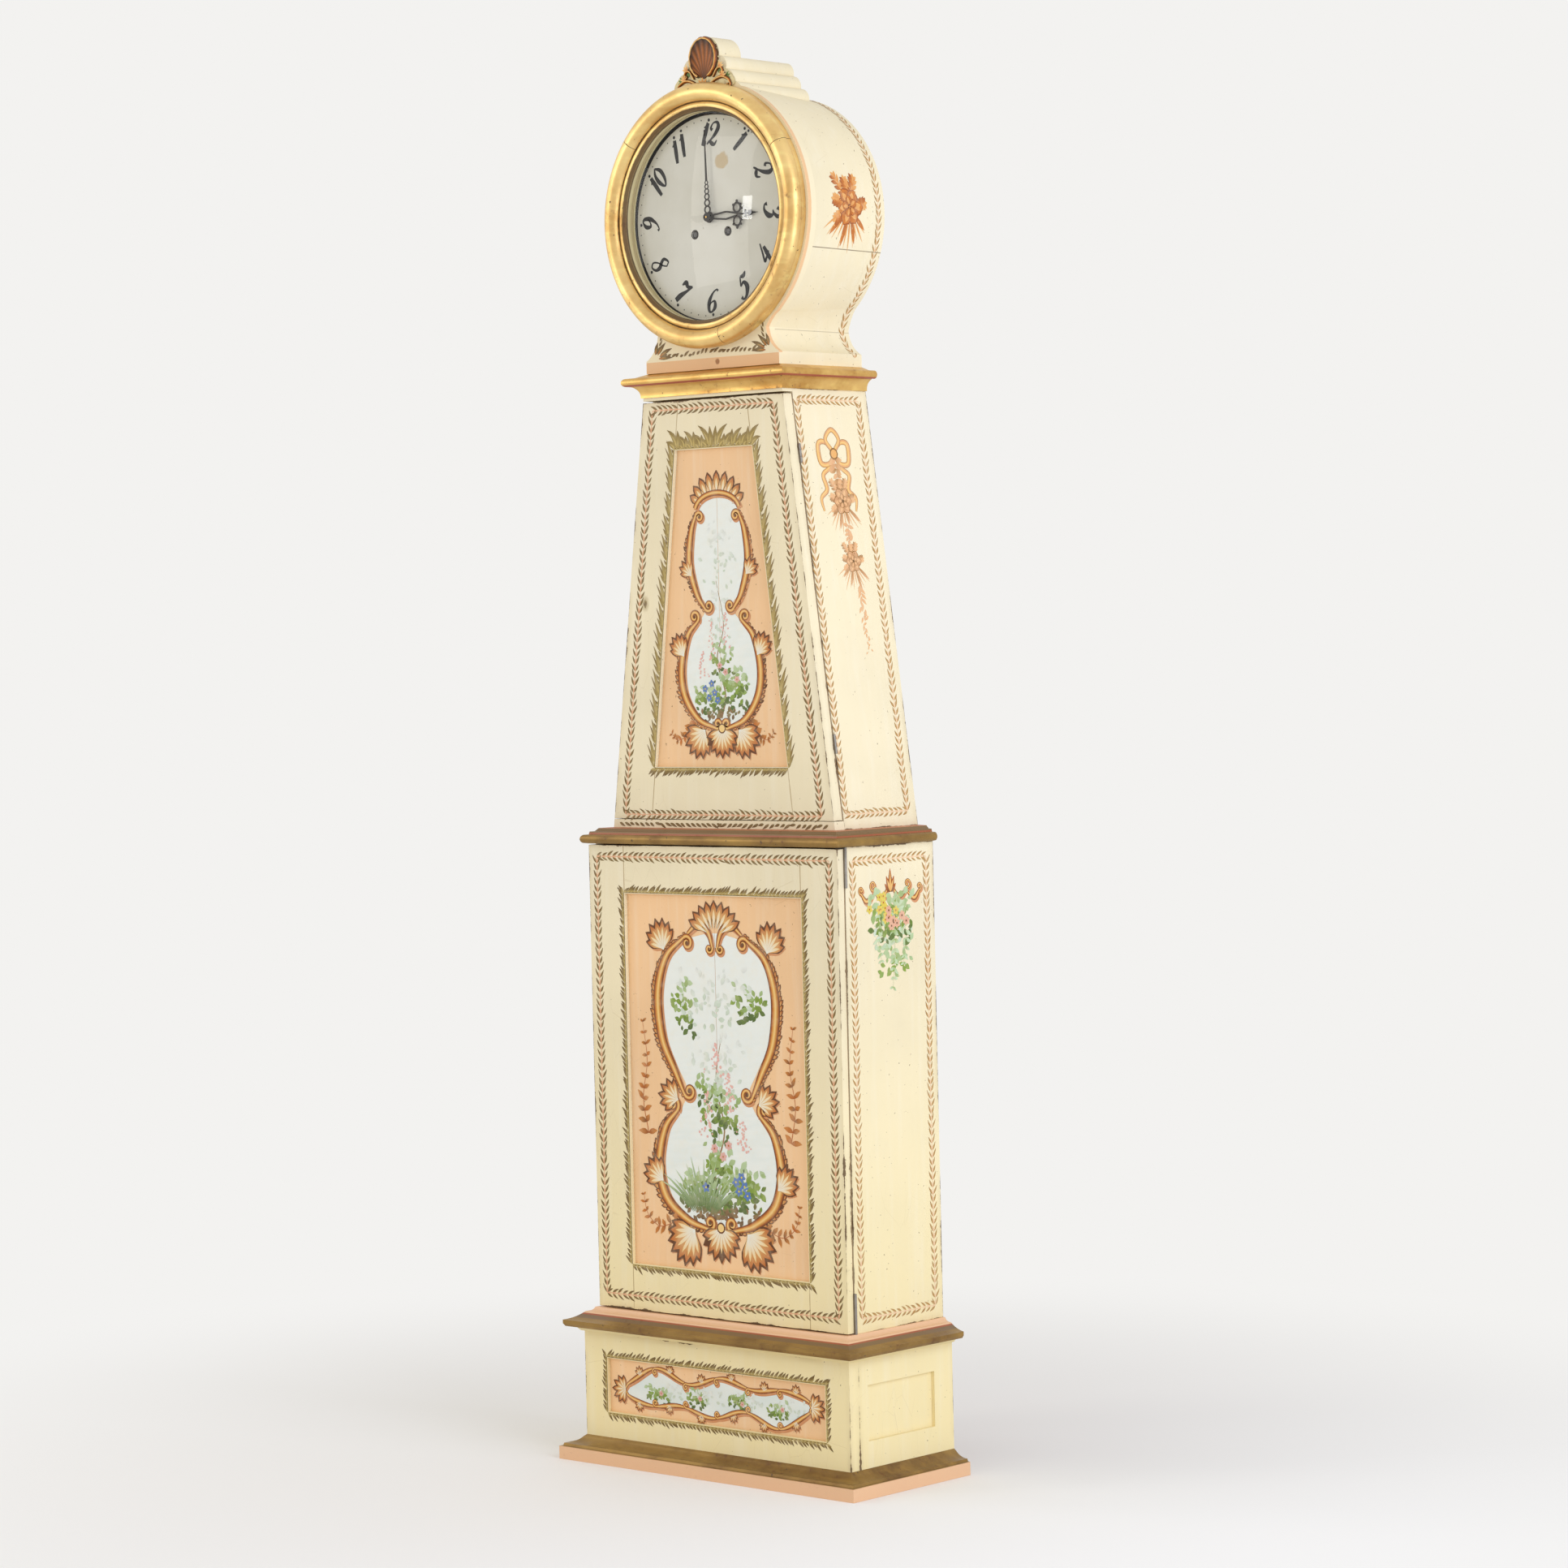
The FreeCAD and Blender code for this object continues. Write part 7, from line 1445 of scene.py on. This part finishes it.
# dial figures
# Each figure: strokes of rows x, y, pen width, in a box one high; leaning is added when they are set.
figures = {
    "1": [[(-0.13, 0.80, 0.02), (-0.03, 0.88, 0.05), (0.06, 1.0, 0.10)],
          [(0.06, 1.0, 0.13), (0.03, 0.6, 0.15), (0.0, 0.3, 0.14), (-0.02, 0.0, 0.11)]],
    "2": [[(-0.10, 0.66, 0.11), (-0.22, 0.76, 0.08), (-0.12, 0.97, 0.05), (0.12, 0.98, 0.10),
           (0.24, 0.76, 0.15), (0.12, 0.46, 0.12), (-0.10, 0.22, 0.06), (-0.28, 0.05, 0.04)],
          [(-0.28, 0.05, 0.05), (-0.14, 0.16, 0.09), (0.04, 0.05, 0.14), (0.20, 0.01, 0.09),
           (0.30, 0.18, 0.04)]],
    "3": [[(-0.20, 0.80, 0.12), (-0.10, 0.97, 0.06), (0.08, 1.0, 0.08), (0.20, 0.80, 0.13),
           (0.10, 0.60, 0.08), (-0.04, 0.54, 0.04)],
          [(-0.04, 0.54, 0.04), (0.18, 0.52, 0.09), (0.27, 0.27, 0.17), (0.10, 0.02, 0.10),
           (-0.14, 0.02, 0.06), (-0.24, 0.18, 0.13)]],
    "4": [[(0.10, 1.0, 0.05), (-0.08, 0.66, 0.07), (-0.26, 0.34, 0.08), (-0.08, 0.33, 0.08),
           (0.26, 0.36, 0.04)], [(0.17, 0.74, 0.11), (0.10, 0.34, 0.15), (0.04, 0.0, 0.10)]],
    "5": [[(0.30, 1.04, 0.05), (0.14, 0.92, 0.14), (-0.08, 0.98, 0.08)],
          [(-0.08, 0.98, 0.06), (-0.14, 0.58, 0.06)],
          [(-0.14, 0.58, 0.05), (0.08, 0.66, 0.10), (0.25, 0.38, 0.17), (0.12, 0.06, 0.11),
           (-0.10, -0.01, 0.06), (-0.22, 0.14, 0.12)]],
    "6": [[(0.20, 0.92, 0.09), (0.10, 1.0, 0.05), (-0.10, 0.84, 0.07), (-0.22, 0.46, 0.14),
           (-0.12, 0.08, 0.11), (0.06, 0.0, 0.06), (0.21, 0.20, 0.13), (0.12, 0.46, 0.09),
           (-0.06, 0.44, 0.04), (-0.17, 0.28, 0.03)]],
    "7": [[(-0.26, 0.80, 0.05), (-0.16, 1.0, 0.15), (0.06, 0.88, 0.12), (0.30, 1.0, 0.06)],
          [(0.30, 1.0, 0.06), (0.14, 0.62, 0.10), (0.0, 0.30, 0.17), (-0.06, 0.0, 0.16)]],
    "8": [[(0.18, 0.86, 0.04), (0.02, 1.0, 0.06), (-0.17, 0.84, 0.10), (-0.06, 0.62, 0.12),
           (0.15, 0.40, 0.14), (0.19, 0.14, 0.09), (0.0, 0.0, 0.06), (-0.20, 0.16, 0.06),
           (-0.12, 0.42, 0.05), (0.10, 0.62, 0.04), (0.20, 0.80, 0.04), (0.18, 0.86, 0.04)]],
    "0": [[(0.02, 1.0, 0.05), (-0.18, 0.80, 0.10), (-0.22, 0.42, 0.14), (-0.06, 0.0, 0.06),
           (0.16, 0.20, 0.11), (0.22, 0.62, 0.13), (0.02, 1.0, 0.05)]],
}
figures["9"] = [[(-x, 1 - y, w) for x, y, w in stroke] for stroke in figures["6"]]
dialArt = {"ring": 129.0, "tall": 34.0, "lean": 0.30, "dotRing": 152.0, "pen": 1.5}


def dialFigures():
    work = Brushwork()
    ink = np.zeros(3)
    for hour in range(1, 13):
        angle = math.pi / 2 - hour * math.pi / 6
        heading = angle - math.pi / 2 if hour not in (4, 5, 6, 7, 8) else angle + math.pi / 2
        text = str(hour)
        for place, letter in enumerate(text):
            shift = (place - (len(text) - 1) / 2) * 0.52
            for stroke in figures[letter]:
                rows = smoothLine(stroke, 9)
                x = (rows[:, 0] + shift + (rows[:, 1] - 0.5) * dialArt["lean"]) * dialArt["tall"]
                y = (rows[:, 1] - 0.5) * dialArt["tall"]
                c, s = math.cos(heading), math.sin(heading)
                cx, cy = dialArt["ring"] * math.cos(angle), dialArt["ring"] * math.sin(angle)
                line = np.column_stack([cx + c * x - s * y, cy + s * x + c * y])
                work.band(line, np.maximum(rows[:, 2], 0.045) * dialArt["tall"] * dialArt["pen"], ink, 0.15)
            if letter == "1":      # the long figure carries a dot over its head
                x = (shift + 0.08 + 0.62 * dialArt["lean"]) * dialArt["tall"]
                y = 0.64 * dialArt["tall"]
                work.discs([(cx + c * x - s * y, cy + s * x + c * y)], 2.3, ink, 0.16)
    minutes = np.arange(60) * math.pi / 30
    fives = np.arange(12) * math.pi / 6
    work.discs(np.column_stack([np.cos(minutes), np.sin(minutes)]) * dialArt["dotRing"], 1.15, ink, 0.15, 6)
    work.discs(np.column_stack([np.cos(fives), np.sin(fives)]) * (dialArt["dotRing"] - 1.5), 2.5, ink, 0.17)
    piece = work.lay("dialFigures", places["dial"], inkPaint.material, "case")


dialFigures()


def ringPiece(name, centre, radius, tube, material, body, count=72, sides=12, squash=1.0):
    # A ring about the Y axis: the tube's circle carried round the centre.
    a, b = np.meshgrid(np.linspace(0, 2 * np.pi, count, endpoint=False),
                       np.linspace(0, 2 * np.pi, sides, endpoint=False), indexing="ij")
    reach = radius + tube * np.cos(b)
    points = np.stack([centre[0] + reach * np.cos(a), centre[1] + tube * squash * np.sin(b),
                       centre[2] + reach * np.sin(a)], -1)
    piece = makePiece(name, points.reshape(-1, 3), gridFaces(count, sides, True, True)[:, ::-1], material,
                      body)
    return piece


darkRim = metalWork("darkRim", (60, 54, 46), (34, 30, 26), 0.2, 0.5)
# A dark ring at the dial's edge: painted shadow of the gap between the dial and the board.
ringPiece("dialGapShadowRing", (0, -0.0485, drum["dialCentre"]), 0.1598, 0.0016, darkRim, "case", 128,
          10, 0.6)
for side, word in ((1, "Right"), (-1, "Left")):
    ringPiece("windingEyelet" + word, (side * 0.035, -0.0492, 1.9335), 0.0066, 0.0009, darkRim, "case",
              40, 8, 0.5)
print("dial painted")

# room
room = {"skyStrength": 0.72, "backdrop": (243, 242, 240)}
# each lamp: place, target, size, power, tone
lamps = {"keyLamp": ((3.4, -0.6, 2.0), (0, 0, 1.2), (2.2, 2.6), 61.0, (0.92, 1.0, 1.2)),
         "sideLamp": ((-3.2, -1.4, 1.9), (0, 0, 1.6), (1.0, 2.4), 14.0, (1.0, 1.0, 1.0)),
         "windowLamp": ((-1.80, -3.11, 2.35), (0.105, -0.072, 1.964), (0.15, 0.25), 3.0, (1.0, 1.0, 1.0)),
         "fillLamp": ((-2.6, -3.4, 2.4), (0, 0, 1.2), (1.1, 1.8), 21.0, (1.0, 0.96, 0.9))}


def directRays(tree):
    # 1 for what the camera sees, straight, in gloss or through glass; 0 for light that falls on things.
    path = tree.nodes.new("ShaderNodeLightPath")
    socket = path.outputs["Is Camera Ray"]
    for ray in ("Is Glossy Ray", "Is Transmission Ray"):
        larger = tree.nodes.new("ShaderNodeMath")
        larger.operation = "MAXIMUM"
        tree.links.new(socket, larger.inputs[0])
        tree.links.new(path.outputs[ray], larger.inputs[1])
        socket = larger.outputs[0]
    return socket


def roomPaint():
    # Plain pale floor: away from the object it shows the backdrop's tone, near it the soft shadow stays.
    paint = Paint("roomPaint", Roughness=0.8, Specular_IOR_Level=0.1)
    across, depth, height = paint.axes()
    cloud = paint.noise(0.8, 2.0)
    paint.finish(Base_Color=paint.mix(cloud * 0.3, linear(244, 242, 239), linear(248, 246, 244)))
    distance = ((across + 0.1) ** 2.0 * 0.7 + depth ** 2.0 * 0.7) ** 0.5
    glow = paint.tree.nodes.new("ShaderNodeEmission")
    glow.inputs["Color"].default_value = (*linear(*room["backdrop"]), 1)
    seen = Value(paint, directRays(paint.tree))
    mixShaders(paint.tree, (distance.rise(0.5, 1.7) * seen).socket, paint.shader.outputs[0],
               glow.outputs[0], paint.output.inputs[0])
    return paint.material


floorPoints = np.array([(x, y, 0.0) for y in (-9.0, 9.0) for x in (-9.0, 9.0)])
floorMesh = bpy.data.meshes.new("floor")
floorMesh.from_pydata(floorPoints.tolist(), [], [[0, 1, 3, 2]])
floorMesh.materials.append(roomPaint())
floor = bpy.data.objects.new("floor", floorMesh)
bpy.context.scene.collection.objects.link(floor)

world = bpy.data.worlds.new("studio")
bpy.context.scene.world = world
world.use_nodes = True
tree = world.node_tree
tree.nodes.clear()
seen, lit, worldOutput = (tree.nodes.new("ShaderNode" + kind)
                          for kind in ("Background", "Background", "OutputWorld"))
for light, tone, strength in ((seen, room["backdrop"], 1.0), (lit, (250, 249, 247), room["skyStrength"])):
    light.inputs[0].default_value = (*linear(*tone), 1)
    light.inputs[1].default_value = strength
mixShaders(tree, directRays(tree), lit.outputs[0], seen.outputs[0], worldOutput.inputs[0])


def softBox(name, place, target, size, power, tone):
    lamp = bpy.data.lights.new(name, "AREA")
    lamp.shape = "RECTANGLE"
    lamp.size, lamp.size_y = size
    lamp.energy = power
    lamp.color = tone
    holder = bpy.data.objects.new(name, lamp)
    bpy.context.scene.collection.objects.link(holder)
    holder.location = place
    holder.rotation_euler = (Vector(target) - Vector(place)).to_track_quat("-Z", "Y").to_euler()


for name, setting in lamps.items():
    softBox(name, *setting)

# camera
view = {"place": (4.63088, -4.99934, 1.28645), "azimuth": 42.3057526, "elevation": 1.7847853,
        "roll": -1.3244380, "lens": 99.90}


def aimCamera():
    # Right and up lie across the line of sight, then both turn by the roll.
    azimuth, elevation, roll = (math.radians(view[key]) for key in ("azimuth", "elevation", "roll"))
    right = np.array([math.cos(azimuth), math.sin(azimuth), 0.0])
    back = np.array([math.sin(azimuth) * math.cos(elevation), -math.cos(azimuth) * math.cos(elevation),
                     math.sin(elevation)])
    up = np.cross(back, right)
    turnedRight = math.cos(roll) * right + math.sin(roll) * up
    turnedUp = -math.sin(roll) * right + math.cos(roll) * up
    camera = bpy.data.objects.new("camera", bpy.data.cameras.new("camera"))
    bpy.context.scene.collection.objects.link(camera)
    matrix = Matrix(np.column_stack([turnedRight, turnedUp, back]).tolist()).to_4x4()
    matrix.translation = Vector(view["place"])
    camera.matrix_world = matrix
    camera.data.lens = view["lens"]
    camera.data.sensor_width = 36.0
    camera.data.clip_end = 100.0
    bpy.context.scene.camera = camera


aimCamera()
bpy.context.scene.view_settings.view_transform = "Standard"
print("room and camera set")
